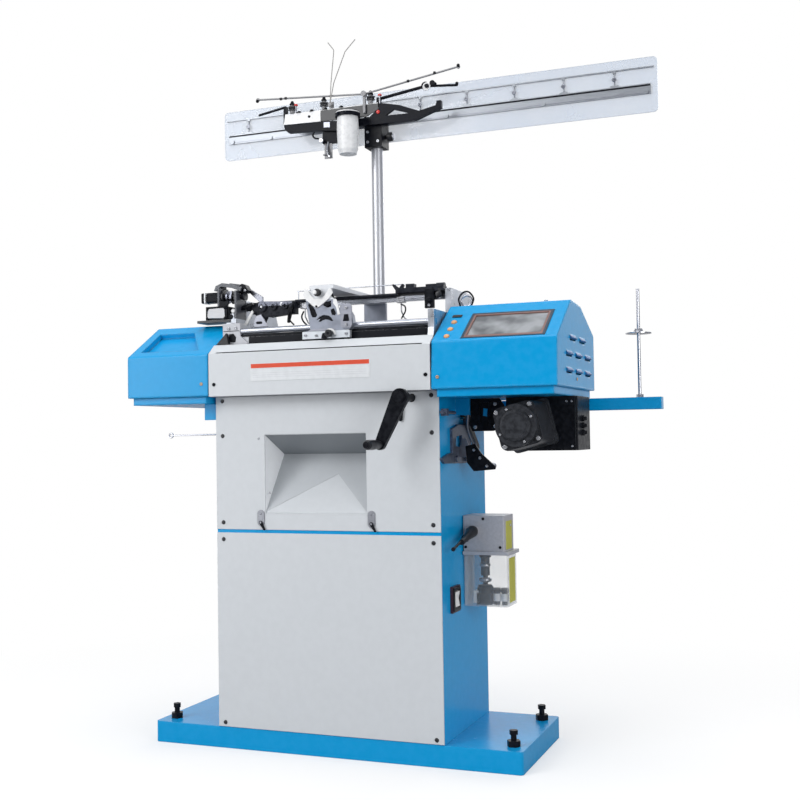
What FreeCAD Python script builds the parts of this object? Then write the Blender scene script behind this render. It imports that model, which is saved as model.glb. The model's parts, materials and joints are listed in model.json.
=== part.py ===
import FreeCAD, Part
import math
import operator
import os

import Sketcher

# Automatic glove knitting machine, free standing.
# Millimetres. X runs right along the needle beds, Y runs to the back, Z runs up.
# The origin is on the floor, under the middle of the base plate.

SIZES = {
    # Base tray and its levelling bolts
    "base_width": 1150,
    "base_depth": 420,
    "base_height": 62,
    "base_wall": 6,
    "base_corner": 10,
    "base_rib": 90,
    "foot_inset_x": 40,
    "foot_inset_y": 55,
    "foot_boss": 18,
    "foot_disc": 15,
    "foot_disc_thick": 6,
    "foot_stud": 8,
    "foot_stud_above": 44,
    "foot_nut": 19,
    "foot_nut_thick": 16,
    "foot_head": 12,
    "foot_head_thick": 12,
    # Clearances shared by many fits
    "fit_gap": 0.05,
    "pin_gap": 0.08,
    "slide_gap": 0.08,
    "running_gap": 0.35,
    "seat_gap": 0.5,
    # Column frame and its front panels
    "column_over": 8,
    "column_back_in": 3,
    "column_height": 978,
    "column_wall": 4,
    "column_flange": 34,
    "column_top_flange": 20,
    "panel_thick": 3,
    "panel_gap": 10,
    "panel_split": 580,
    "panel_foot_gap": 2,
    "panel_crossbar": 50,
    "screw_inset": 22,
    "screw_inset_low": 14,
    "screw_inset_high": 12,
    "screw_inset_split": 20,
    "screw_mid": 924,
    "screw_shank": 3.8,
    "screw_hole_gap": 0.3,
    "screw_head": 6.5,
    "screw_head_thick": 3.5,
    # Glove chute in the upper panel and the latches beside it
    "chute_width": 324,
    "chute_offset": -29,
    "chute_rise": 48,
    "chute_height": 231,
    "chute_depth": 126,
    "chute_top_drop": 59,
    "chute_sheet": 2,
    "latch_width": 22,
    "latch_height": 48,
    "latch_thick": 3,
    "latch_side_gap": 14,
    "latch_drop": 14,
    "latch_hook_reach": 20,
    "latch_hook_eye": 5,
    "latch_hook_tip": 3,
    # Head casting, its front panel and the bare plate on it
    "head_width": 692,
    "head_front": 258,
    "head_back_in": 2,
    "head_height": 110,
    "head_wall": 12,
    "head_panel_over": 2,
    "head_panel_lift": 1,
    "head_panel_height": 126,
    "head_panel_back": 34,
    "head_panel_rise": 28,
    "head_panel_air": 3,
    "head_slot_end": 23,
    "head_slot_height": 3,
    "head_slot_drop": 1,
    "plate_width": 378,
    "plate_height": 51,
    "plate_offset": -19,
    "plate_thick": 0.8,
    "plate_rise": 42,
    # Needle beds, needles and what holds them
    "bed_width": 420,
    "bed_offset": 34,
    "bed_thick": 10,
    "bed_length": 196,
    "bed_angle": 20,
    "bed_gap": 16,
    "bed_over_rail": 10,
    "bed_rest_width": 30,
    "bed_rest_share": 0.72,
    "needle_zone": 190,
    "needle_pitch": 3.63,
    "needle_thick": 1.6,
    "needle_length": 178,
    "needle_height": 5,
    "needle_butt": 7,
    "needle_butt_length": 8,
    "needle_hook": 1.2,
    "needle_slot_depth": 4,
    "needle_slot_gap": 0.3,
    "end_plate": 18,
    "end_plate_step": 12,
    "end_plate_waist": 226,
    "end_plate_upright": 160,
    "end_plate_lip": 6,
    "end_plate_above": 7,
    "end_plate_shoulder": 120,
    # Rails over the beds
    "slide_rail": 9,
    "slide_rail_front": 200,
    "slide_rail_rear": 172,
    "slide_rail_rise": 86,
    "yarn_rail_y": -60,
    "yarn_rail_over": 78,
    "yarn_rail_tall": 24,
    "yarn_rail_thick": 12,
    "rail_bracket_wide": 58,
    "rail_bracket_foot": 83,
    "rail_bracket_deep": 24,
    "rail_bracket_above": 24,
    "rail_bracket_below": 44,
    "guard_back": 199,
    "guard_thick": 7,
    "guard_air": 9,
    # Carriage with its cam boxes and stitch knobs
    "carriage_x": 6,
    "carriage_hang": 36,
    "carriage_shoe_width": 150,
    "carriage_shoe_tall": 21,
    "carriage_shoe_side": 12,
    "carriage_above": 116,
    "carriage_waist": 50,
    "carriage_post_thick": 20,
    "carriage_cheek_reach": 26,
    "carriage_cheek_thick": 14,
    "carriage_bush": 6,
    "arch_width": 75,
    "arch_air": 5,
    "arch_thick": 12,
    "cam_air": 0.8,
    "cam_box_start": 30,
    "cam_box_length": 90,
    "cam_box_width": 150,
    "cam_box_thick": 12,
    "cam_arm_back": 18,
    "cam_arm_thick": 20,
    "arm_knob_in": 8,
    "arm_knob_drop": 20,
    "arm_knob_out": 26,
    "arm_knob_rise": 13,
    "stitch_knob": 11,
    # Yarn feeders and the gear on the yarn rail
    "bank_in": 46,
    "bank_shelf": 26,
    "bank_bar": 4.5,
    "bank_width": 150,
    "bank_thick": 25,
    "feeder_left_in": 20,
    "feeder_right_in": 11,
    "feeder_wire": 2,
    "feeder_reach": 58,
    "feeder_tip_over": 16,
    "feeder_clip": 24,
    "feeder_clip_wall": 3,
    "stops_gap": 3,
    "stops_width": 150,
    "stop_coil_in": 124,
    "guide_wire": 1.5,
    "guide_wire_rise": 28,
    "latch_lever_in": 10,
    # Selector drive over the left cover
    "selector_y": -100,
    "selector_over": 39,
    "selector_foot": 6,
    "selector_reach": 119,
    "selector_depth": 64,
    "selector_block_in": 32,
    "selector_block": 71,
    "selector_block_tall": 40,
    "selector_tower": 100,
    "selector_tower_in": 32,
    "selector_axis": 80,
    "selector_motor": 32,
    "selector_motor_long": 46,
    "selector_collar": 10,
    "selector_cap": 9,
    # Left cover, control box and the trays under them
    "cover_wall": 2.5,
    "cover_lift": 5,
    "cover_gap": 3,
    "cover_corner": 8,
    "cover_back": 208,
    "left_cover_width": 279,
    "left_cover_front": 122,
    "left_cover_slope": 171,
    "left_cover_height": 224,
    "left_cover_top_back": 60,
    "recess_low_share": 0.16,
    "recess_inset": 30,
    "recess_width": 200,
    "recess_share": 0.62,
    "recess_depth": 16,
    "tray_inset": 12,
    "tray_wall": 2.5,
    "tray_height": 24,
    "tray_belt_reach": 80,
    "cover_bracket_hold": 35,
    "cover_bracket_deep": 8,
    "cover_bracket_tall": 48,
    "bracket_left_y": -204,
    "bracket_right_y": -70,
    "bracket_back_y": 160,
    "control_width": 352,
    "control_front": 129,
    "control_lean": 7,
    "control_slope": 171,
    "control_height": 242,
    "control_top_back": 34,
    "control_back": 161,
    "screen_inset": 81,
    "screen_width": 236,
    "screen_height": 143,
    "screen_low": 9,
    "screen_thick": 4,
    "bezel_frame": 14,
    "bezel_sink": 2,
    "bezel_thick": 3,
    "socket_width": 25,
    "socket_height": 12,
    "socket_low": 134,
    "button_inset": 38,
    "button_low": 23,
    "button_mid": 63,
    "button_high": 104,
    "button_radius": 8,
    "button_air": 0.09,
    "button_long": 16,
    "button_out": 4.5,
    "button_travel": 3,
    "button_sleeve": 2.5,
    "louvre_low": 36,
    "louvre_pitch": 46,
    "louvre_shift": 0,
    "louvre_long": 70,
    "louvre_tall": 7,
    "louvre_out": 6,
    "eye_inset": 34,
    "eye_y": -40,
    "eye_ring": 16,
    "eye_wire": 3,
    "board_back": 60,
    # Hand crank, main shaft and its bearings
    "crank_in": 81,
    "crank_drop": 18,
    "crank_shaft": 10,
    "shaft_air": 2,
    "crank_stand_off": 26,
    "crank_arm_thick": 16,
    "crank_hub": 24,
    "crank_hub_long": 20,
    "crank_length": 143,
    "crank_lean": 25.3,
    "crank_tip": 15,
    "grip_pin": 5,
    "grip_long": 92,
    "grip_radius": 14,
    "crank_stop_left": 32,
    "crank_stop_drop": 36,
    "bearing_half": 26,
    "bearing_above": 13,
    "bearing_width": 16,
    "bearing_reach": 62,
    # Belt drive, motor and drive box
    "pulley_y": -20,
    "belt_width": 18,
    "belt_thick": 4,
    "belt_air": 7,
    "belt_slot_rise": 23,
    "shaft_pulley": 27,
    "motor_pulley": 18,
    "motor_out": 221,
    "motor_z": 939,
    "motor_back": -48,
    "motor_long": 152,
    "motor_size": 120,
    "motor_corner": 20,
    "motor_roll": 14,
    "motor_face": 58,
    "motor_face_out": 22,
    "motor_shaft": 9,
    "motor_bolt_circle": 68,
    "motor_plate_left": 75,
    "motor_plate_width": 200,
    "motor_plate_thick": 8,
    "motor_plate_tall": 153,
    "drive_box_right": 73,
    "drive_box_width": 56,
    "drive_box_front": -36,
    "drive_box_long": 166,
    "drive_box_tall": 153,
    "gland_radius": 9,
    "gland_low": 50,
    "gland_pitch": 20,
    "gland_back": 60,
    # Switch, stitch tension linkage and rods on the column's sides
    "switch_back": 100,
    "switch_high": 389,
    "switch_width": 67,
    "switch_tall": 74,
    "switch_out": 8,
    "switch_swing": 7,
    "linkage_back": 206,
    "linkage_z": 850,
    "linkage_plate": 8,
    "linkage_nose": 212,
    "linkage_chin": 190,
    "linkage_heel": 76,
    "linkage_foot_back": 216,
    "linkage_foot_drop": 32,
    "linkage_pad": 52,
    "linkage_lever": 7,
    "side_rod_back": -7,
    "side_rod_drop": 60,
    "side_rod_long": 114,
    "left_rod": 2.5,
    "left_rod_back": 210,
    "left_rod_z": 930,
    "left_rod_long": 286,
    # Lubricator
    "lub_bracket": 2,
    "lub_front": -25,
    "lub_width": 124,
    "lub_depth": 100,
    "lub_tall": 103,
    "lub_flange": 10,
    "lub_flange_over": 8,
    "lub_flange_z": 568,
    "lub_tank": 149,
    "lub_wall": 3,
    "lub_lever_in": 29,
    "lub_lever_out": 14,
    "lub_lever_high": 69,
    "lub_lever_long": 161,
    "lub_lever_drop": 37,
    "filter_wide": 44,
    "filter_deep": 36,
    "filter_tall": 34,
    "label_deep": 60,
    # Mast and its clamps
    "mast_gap": 23,
    "mast_radius": 19,
    "mast_wall": 2.5,
    "mast_foot": 560,
    "mast_top": 1905,
    "mast_clamp_width": 80,
    "mast_clamp_tall": 60,
    "mast_clamp_low": 620,
    "mast_clamp_high": 960,
    "head_clamp": 60,
    "head_clamp_tall": 100,
    "clamp_knob": 15,
    # Yarn tension unit on the mast
    "beam_reach": 50,
    "beam_deep": 16,
    "beam_rise": 20,
    "beam_tall": 25,
    "beam_left": -105,
    "beam_right": 240,
    "tray_block": 68,
    "tray_block_tall": 70,
    "pan_long": 142,
    "pan_rise": 5,
    "pan_tall": 32,
    "pan_face_thick": 3,
    "pan_face_rise": 30,
    "pan_face_reach": 132,
    "post_first": 34,
    "post_second": 150,
    "post_third": 316,
    "guide_rod": 3,
    "guide_rod_mid": 86,
    "guide_rod_rise": 32,
    "guide_rod_left": 91,
    "guide_rod_right": 62,
    "guide_rod_lift": 28,
    "guide_rod_climb": 47,
    "lower_rod_drop": 6,
    "lower_rod_start": 129,
    "lower_rod_knob": 292,
    "takeup_wire": 1.5,
    "takeup_in": -33,
    "cup_radius": 35.5,
    "cup_wall": 2,
    "cup_tall": 135,
    "cup_top": 33,
    "cup_in": 43.5,
    "cup_bracket_tall": 36,
    "wire_guide_in": 6,
    "wire_guide_tall": 50,
    # Clear guide plate behind the mast
    "plate_stand_off": 16,
    "guide_centre": 158,
    "guide_width": 1490,
    "guide_low": 1883,
    "guide_height": 169,
    "guide_thick": 5,
    "guide_corner": 14,
    "guide_rail_rise": 55,
    "guide_rail_tall": 32,
    "guide_rail_thick": 6,
    "guide_rail_inset": 20,
    "guide_lip_drop": 34,
    "guide_count": 9,
    "guide_first": 129,
    "guide_pitch": 158,
    "guide_bolt_first": 34,
    "guide_bolt_pitch": 318.5,
    # Bobbin arm and spindle
    "arm_left": 60,
    "arm_right": 901,
    "arm_low": 984,
    "arm_tall": 36,
    "arm_deep": 40,
    "arm_wall": 3,
    "spindle": 5,
    "spindle_in": 66,
    "spindle_long": 325,
    "disc": 38,
    "disc_thick": 3,
    "disc_rise": 190,
}


class Length:
    """A size together with the sheet formula that gives it, used in plain arithmetic."""

    def __init__(self, value, formula):
        self.value = float(value)
        self.formula = formula

    def __float__(self):
        return self.value

    def __neg__(self):
        return joined(0, "-", self)

    def __add__(self, other):
        return joined(self, "+", other)

    def __radd__(self, other):
        return joined(other, "+", self)

    def __sub__(self, other):
        return joined(self, "-", other)

    def __rsub__(self, other):
        return joined(other, "-", self)

    def __mul__(self, other):
        return joined(self, "*", other)

    def __rmul__(self, other):
        return joined(other, "*", self)

    def __truediv__(self, other):
        return joined(self, "/", other)


ARITHMETIC = {"+": operator.add, "-": operator.sub, "*": operator.mul, "/": operator.truediv}


def length(value):
    """Give value as a Length. A bare number is its own formula."""
    if isinstance(value, Length):
        return value
    return Length(value, f"({float(value)!r})")


def joined(left, sign, right):
    """Join two values with one sign, in number and in formula."""
    left = length(left)
    right = length(right)
    return Length(ARITHMETIC[sign](left.value, right.value), f"({left.formula} {sign} {right.formula})")


class Sizes:
    """The driving sizes, each a Length that points at its cell in the sheet."""

    def __init__(self, document, table):
        sheet = document.addObject("Spreadsheet::Sheet", "Sizes")
        for row, (name, value) in enumerate(table.items(), start=1):
            sheet.set(f"A{row}", name)
            sheet.set(f"B{row}", str(value))
            sheet.setAlias(f"B{row}", name)
        document.recompute()
        for name in table:
            setattr(self, name, Length(sheet.get(name), f"Sizes.{name}"))


DOC = FreeCAD.newDocument("KnittingMachine")
NODES = {}
ORIGIN = (0, 0, 0)
ALONG = {
    "X": FreeCAD.Rotation(FreeCAD.Vector(0, 1, 0), 90),
    "Y": FreeCAD.Rotation(FreeCAD.Vector(1, 0, 0), -90),
    "Z": FreeCAD.Rotation(),
    "-X": FreeCAD.Rotation(FreeCAD.Vector(0, 1, 0), -90),
    "-Y": FreeCAD.Rotation(FreeCAD.Vector(1, 0, 0), 90),
    "-Z": FreeCAD.Rotation(FreeCAD.Vector(1, 0, 0), 180),
}


def tilt(degrees, axis="X"):
    """A turn about one axis, by the right-hand rule."""
    direction = {"X": (1, 0, 0), "Y": (0, 1, 0), "Z": (0, 0, 1)}[axis]
    return FreeCAD.Rotation(FreeCAD.Vector(*direction), float(degrees))


def bind(piece, prop, value):
    """Tie one property of a piece to its formula."""
    value = length(value)
    setattr(piece, prop, value.value)
    piece.setExpression(prop, value.formula)


def seat(piece, at, turn=None):
    """Put a piece at a place whose three values are tied to the sheet."""
    x, y, z = (length(value) for value in at)
    piece.Placement = FreeCAD.Placement(FreeCAD.Vector(x.value, y.value, z.value), turn or FreeCAD.Rotation())
    piece.setExpression("Placement.Base.x", x.formula)
    piece.setExpression("Placement.Base.y", y.formula)
    piece.setExpression("Placement.Base.z", z.formula)
    return piece


def box(name, size, low, turn=None):
    piece = DOC.addObject("Part::Box", name)
    for side, value in zip(("Length", "Width", "Height"), size):
        bind(piece, side, value)
    return seat(piece, low, turn)


def cylinder(name, radius, height, start, along="Z", turn=None):
    piece = DOC.addObject("Part::Cylinder", name)
    bind(piece, "Radius", radius)
    bind(piece, "Height", height)
    return seat(piece, start, turn or ALONG[along])


def cone(name, radius_1, radius_2, height, start, along="Z", turn=None):
    piece = DOC.addObject("Part::Cone", name)
    bind(piece, "Radius1", radius_1)
    bind(piece, "Radius2", radius_2)
    bind(piece, "Height", height)
    return seat(piece, start, turn or ALONG[along])


def prism(name, sides, radius, height, start, along="Z"):
    piece = DOC.addObject("Part::Prism", name)
    piece.Polygon = sides
    bind(piece, "Circumradius", radius)
    bind(piece, "Height", height)
    return seat(piece, start, ALONG[along])


def rod(name, radius, start, end):
    """A round bar from one point to another."""
    run = FreeCAD.Vector(*(float(b) - float(a) for a, b in zip(start, end)))
    turn = FreeCAD.Rotation(FreeCAD.Vector(0, 0, 1), run)
    return cylinder(name, radius, run.Length, start, turn=turn)


def fuse(name, pieces):
    piece = DOC.addObject("Part::MultiFuse", name)
    piece.Shapes = pieces
    piece.Refine = True
    return piece


def cut(name, base, tools):
    tool = tools[0]
    if len(tools) > 1:
        tool = fuse(name + "_tools", tools)
    piece = DOC.addObject("Part::Cut", name)
    piece.Base = base
    piece.Tool = tool
    piece.Refine = True
    return piece


def group(name, pieces):
    piece = DOC.addObject("Part::Compound", name)
    piece.Links = pieces
    return piece


def tube(name, outer, inner, height, start, along="Z"):
    """A straight tube. The bore starts and ends with the wall."""
    wall = cylinder(name + "_wall", outer, height, start, along)
    bore = cylinder(name + "_bore", inner, height, start, along)
    return cut(name, wall, [bore])


def shaped(name, shape, at=ORIGIN, turn=None):
    """A piece whose shape is worked out here, put at its place afterwards."""
    piece = DOC.addObject("Part::Feature", name)
    piece.Shape = shape
    return seat(piece, at, turn)


def draw(sketch, outline):
    """Draw one closed outline of straight lines, each corner tied to the sheet."""
    corners = [(length(u), length(v)) for u, v in outline]
    first = sketch.GeometryCount
    count = len(corners)
    points = [FreeCAD.Vector(u.value, v.value, 0) for u, v in corners]
    lines = [Part.LineSegment(points[i], points[(i + 1) % count]) for i in range(count)]
    sketch.addGeometry(lines, False)
    for i in range(count):
        after = first + (i + 1) % count
        sketch.addConstraint(Sketcher.Constraint("Coincident", first + i, 2, after, 1))
    for i, (u, v) in enumerate(corners):
        for kind, value, axis in (("DistanceX", u, -2), ("DistanceY", v, -1)):
            if value.value == 0:
                sketch.addConstraint(Sketcher.Constraint("PointOnObject", first + i, 1, axis))
                continue
            row = sketch.addConstraint(Sketcher.Constraint(kind, -1, 1, first + i, 1, value.value))
            sketch.setExpression(f"Constraints[{row}]", value.formula)


def draw_circle(sketch, u, v, radius):
    """Draw one circle with its centre and radius tied to the sheet."""
    u, v, radius = length(u), length(v), length(radius)
    centre = FreeCAD.Vector(u.value, v.value, 0)
    circle = sketch.addGeometry(Part.Circle(centre, FreeCAD.Vector(0, 0, 1), radius.value), False)
    row = sketch.addConstraint(Sketcher.Constraint("Radius", circle, radius.value))
    sketch.setExpression(f"Constraints[{row}]", radius.formula)
    for kind, value, axis in (("DistanceX", u, -2), ("DistanceY", v, -1)):
        if value.value == 0:
            sketch.addConstraint(Sketcher.Constraint("PointOnObject", circle, 3, axis))
            continue
        row = sketch.addConstraint(Sketcher.Constraint(kind, -1, 1, circle, 3, value.value))
        sketch.setExpression(f"Constraints[{row}]", value.formula)


def new_body(name, plane):
    """A body with one empty sketch on one of its own origin planes."""
    body = DOC.addObject("PartDesign::Body", name)
    sketch = body.newObject("Sketcher::SketchObject", name + "_sketch")
    support = [item for item in body.Origin.OriginFeatures if item.Role == plane + "_Plane"][0]
    sketch.AttachmentSupport = [(support, "")]
    sketch.MapMode = "FlatFace"
    return body, sketch


PAD_WAY = {"XY": (0, 0, 1), "XZ": (0, 1, 0), "YZ": (1, 0, 0)}


def lengthwise_edges(shape, plane, corners):
    """The names of the straight edges along the pad, at the given corners or at all of them."""
    way = FreeCAD.Vector(*PAD_WAY[plane])
    names = []
    for number, edge in enumerate(shape.Edges, start=1):
        if not isinstance(edge.Curve, Part.Line):
            continue
        if abs(edge.tangentAt(edge.FirstParameter).dot(way)) < 0.999:
            continue
        x, y, z = edge.Vertexes[0].Point
        u, v = {"XY": (x, y), "XZ": (x, z), "YZ": (y, z)}[plane]
        near = [1 for a, b in corners if math.hypot(u - float(a), v - float(b)) < 0.01]
        if near:
            names.append(f"Edge{number}")
    return names


def extruded(name, plane, outline, depth, start=ORIGIN, holes=(), windows=(), corner=None, at=None):
    """A padded outline. Planes XY, XZ and YZ grow towards +Z, +Y and +X."""
    body, sketch = new_body(name, plane)
    draw(sketch, outline)
    for window in windows:
        draw(sketch, window)
    for u, v, radius in holes:
        draw_circle(sketch, u, v, radius)
    pad = body.newObject("PartDesign::Pad", name + "_pad")
    pad.Profile = sketch
    bind(pad, "Length", depth)
    pad.Reversed = plane == "XZ"
    if corner is not None:
        DOC.recompute()
        places = outline if at is None else [outline[i] for i in at]
        fillet = body.newObject("PartDesign::Fillet", name + "_fillet")
        fillet.Base = (pad, lengthwise_edges(pad.Shape, plane, places))
        bind(fillet, "Radius", corner)
        body.Tip = fillet
    return seat(body, start)


def shelled(name, plane, outline, depth, wall, start=ORIGIN, corner=None, at=None):
    """A padded outline hollowed to a wall, with its lowest face left open."""
    body = extruded(name, plane, outline, depth, start, corner=corner, at=at)
    DOC.recompute()
    solid = body.Tip
    faces = solid.Shape.Faces
    lowest = min(range(len(faces)), key=lambda i: faces[i].CenterOfMass.z)
    shell = body.newObject("PartDesign::Thickness", name + "_shell")
    shell.Base = (solid, [f"Face{lowest + 1}"])
    bind(shell, "Value", wall)
    shell.Reversed = True
    shell.Join = 1
    body.Tip = shell
    return body


def turned(name, outline, at, along="Z", turn=None):
    """A turned piece. The outline gives (radius, height) points, closed in their order."""
    body, sketch = new_body(name, "XZ")
    draw(sketch, outline)
    spin = body.newObject("PartDesign::Revolution", name + "_spin")
    spin.Profile = sketch
    spin.ReferenceAxis = (sketch, ["V_Axis"])
    spin.Angle = 360
    return seat(body, at, turn or ALONG[along])


def rectangle(left, low, right, high):
    return [(left, low), (right, low), (right, high), (left, high)]


def node(name, piece):
    """List a finished piece under the node it is exported in."""
    NODES.setdefault(name, []).append(piece)
    return piece


def link_outline(start, start_radius, end, end_radius, normal, depth):
    """Two circles joined by their outer tangents, drawn across the normal and given depth.

    start and end are (u, v) places. The normal is "Y" (u along X, v along Z) or "X" (u along Y, v along Z).
    """
    u_1, v_1, u_2, v_2 = (float(value) for value in (*start, *end))
    r_1, r_2 = float(start_radius), float(end_radius)
    heading = math.atan2(v_2 - v_1, u_2 - u_1)
    lean = math.acos((r_1 - r_2) / math.hypot(u_2 - u_1, v_2 - v_1))

    def point(u, v, radius, angle):
        across = u + radius * math.cos(angle)
        up = v + radius * math.sin(angle)
        return FreeCAD.Vector(across, 0, up) if normal == "Y" else FreeCAD.Vector(0, across, up)

    start_up = point(u_1, v_1, r_1, heading + lean)
    start_back = point(u_1, v_1, r_1, heading + math.pi)
    start_down = point(u_1, v_1, r_1, heading - lean)
    end_up = point(u_2, v_2, r_2, heading + lean)
    end_front = point(u_2, v_2, r_2, heading)
    end_down = point(u_2, v_2, r_2, heading - lean)
    edges = [
        Part.Arc(start_up, start_back, start_down).toShape(),
        Part.LineSegment(start_down, end_down).toShape(),
        Part.Arc(end_down, end_front, end_up).toShape(),
        Part.LineSegment(end_up, start_up).toShape(),
    ]
    way = FreeCAD.Vector(0, float(depth), 0) if normal == "Y" else FreeCAD.Vector(float(depth), 0, 0)
    return Part.Face(Part.Wire(edges)).extrude(way)


def bent_wire(radius, points, bend):
    """A round wire along straight runs joined by tangent arcs of one bend radius."""
    places = [FreeCAD.Vector(*(float(value) for value in point)) for point in points]
    edges = []
    last = places[0]
    for before, corner, after in zip(places, places[1:], places[2:]):
        back = (before - corner).normalize()
        ahead = (after - corner).normalize()
        half = back.getAngle(ahead) / 2
        reach = float(bend) / math.tan(half)
        middle = (back + ahead).normalize() * (float(bend) / math.sin(half))
        inside = corner + middle - middle.normalize() * float(bend)
        arc_start = corner + back * reach
        arc_end = corner + ahead * reach
        edges.append(Part.LineSegment(last, arc_start).toShape())
        edges.append(Part.Arc(arc_start, inside, arc_end).toShape())
        last = arc_end
    edges.append(Part.LineSegment(last, places[-1]).toShape())
    path = Part.Wire(edges)
    way = (places[1] - places[0]).normalize()
    section = Part.Wire(Part.Circle(places[0], way, float(radius)).toShape())
    return path.makePipeShell([section], True, True)


def folded(points, thick):
    """The outline of a folded sheet: the points are its outer side, the sheet lies on their left."""
    places = [(float(u), float(v)) for u, v in points]
    runs = []
    for (u_1, v_1), (u_2, v_2) in zip(places, places[1:]):
        size = math.hypot(u_2 - u_1, v_2 - v_1)
        runs.append(((u_2 - u_1) / size, (v_2 - v_1) / size))
    inner = []
    for i, (u, v) in enumerate(places):
        before = runs[max(i - 1, 0)]
        after = runs[min(i, len(runs) - 1)]
        across = (-before[1] - after[1], before[0] + after[0])
        grow = float(thick) * 2 / (across[0] ** 2 + across[1] ** 2)
        inner.append((u + across[0] * grow, v + across[1] * grow))
    return list(points) + inner[::-1]


def add_places(s):
    """Work out the places that several assemblies share."""
    s.column_front = -s.base_depth / 2
    s.column_back = s.base_depth / 2 - s.column_back_in
    s.column_depth = s.column_back - s.column_front
    s.head_back = s.column_back - s.head_back_in
    s.column_width = s.head_width + s.column_over * 2
    s.column_half = s.column_width / 2
    s.head_half = s.head_width / 2
    s.head_panel_width = s.head_width + s.head_panel_over * 2
    s.head_slot_width = s.head_panel_width - s.head_slot_end * 2
    s.bank_left = s.bank_in - s.head_half
    s.bank_right = s.bank_left + s.bank_width
    s.stops_left = s.head_half - s.end_plate - s.stops_gap - s.stops_width
    s.feeder_left = s.bank_right + s.feeder_left_in
    s.feeder_right = s.stops_left + s.feeder_right_in
    s.latch_lever_x = s.bank_right - s.latch_lever_in
    s.crank_x = s.column_half - s.crank_in
    tray_edge = s.head_panel_width / 2 + s.cover_gap + s.tray_inset
    s.cover_bracket_wide = tray_edge + s.cover_bracket_hold - s.column_half
    s.column_top = s.base_height + s.column_height
    s.split_z = s.base_height + s.panel_split
    s.panel_front = s.column_front - s.panel_thick
    s.chute_left = s.chute_offset - s.chute_width / 2
    s.chute_right = s.chute_offset + s.chute_width / 2
    s.upper_low = s.split_z + s.panel_gap / 2
    s.chute_low = s.upper_low + s.chute_rise
    s.chute_high = s.chute_low + s.chute_height
    s.apex_y = s.panel_front + s.chute_depth
    s.apex_z = s.chute_high - s.chute_top_drop
    s.head_top = s.column_top + s.head_height
    s.slide_rail_height = s.head_top + s.slide_rail_rise
    s.bed_apex = s.slide_rail_height + s.bed_over_rail
    s.guard_tall = s.slide_rail_rise - s.slide_rail - s.guard_air
    s.yarn_rail_low = s.slide_rail_height + s.yarn_rail_over
    s.yarn_rail_top = s.yarn_rail_low + s.yarn_rail_tall
    s.arch_low = s.yarn_rail_top + s.arch_air
    s.end_plate_top = s.yarn_rail_top + s.end_plate_above
    s.carriage_low = s.slide_rail_height - s.carriage_hang
    s.carriage_top = s.slide_rail_height + s.carriage_above
    s.selector_low = s.slide_rail_height + s.selector_over
    s.feeder_tip = s.bed_apex + s.feeder_tip_over
    s.head_face = -s.head_front - s.head_panel_air - s.panel_thick
    s.crank_z = s.column_top - s.crank_drop
    s.mast_y = s.column_back + s.mast_gap


def screw_places(s):
    """The corners of the two front panels that are screwed, as (x, z)."""
    side = s.column_half - s.screw_inset
    heights = (
        s.base_height + s.screw_inset_low,
        s.split_z - s.panel_gap / 2 - s.screw_inset_split,
        s.upper_low + s.screw_inset_split,
        s.screw_mid,
        s.column_top - s.screw_inset_high,
    )
    return [(side * way, z) for z in heights for way in (-1, 1)]


def foot_places(s):
    x = s.base_width / 2 - s.foot_inset_x
    y = s.base_depth / 2 - s.foot_inset_y
    return [(x * a, y * b) for a in (-1, 1) for b in (-1, 1)]


def build_base(s):
    """A welded tray, open below, with a wide middle rib and a threaded boss at each corner."""
    half_x = s.base_width / 2
    half_y = s.base_depth / 2
    wall = s.base_wall
    tray = extruded(
        "tray", "XY", rectangle(-half_x, -half_y, half_x, half_y), s.base_height, corner=s.base_corner
    )
    room = (half_x - s.base_rib / 2 - wall, s.base_depth - wall * 2, s.base_height - wall)
    hollows = [
        box("tray_left", room, (wall - half_x, wall - half_y, 0)),
        box("tray_right", room, (s.base_rib / 2, wall - half_y, 0)),
    ]
    bosses = [
        cylinder(
            "foot_boss", s.foot_boss, s.base_height - s.foot_disc_thick * 2, (x, y, s.foot_disc_thick * 2)
        )
        for x, y in foot_places(s)
    ]
    bores = [
        cylinder("foot_bore", s.foot_stud + s.screw_hole_gap, s.base_height, (x, y, 0))
        for x, y in foot_places(s)
    ]
    body = fuse("tray_with_bosses", [cut("tray_hollow", tray, hollows), *bosses])
    node("base_plate", cut("base_plate", body, bores))

    bolts = []
    for x, y in foot_places(s):
        top = s.base_height + s.foot_stud_above
        bolts.append(fuse("levelling_bolt", [
            cylinder("foot_disc", s.foot_disc, s.foot_disc_thick, (x, y, 0)),
            cylinder("foot_stud", s.foot_stud, top, (x, y, 0)),
            prism("foot_nut", 6, s.foot_nut, s.foot_nut_thick, (x, y, s.base_height)),
            prism("foot_head", 6, s.foot_head, s.foot_head_thick, (x, y, top - s.foot_head_thick)),
        ]))
    node("levelling_bolts", group("levelling_bolts", bolts))


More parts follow.
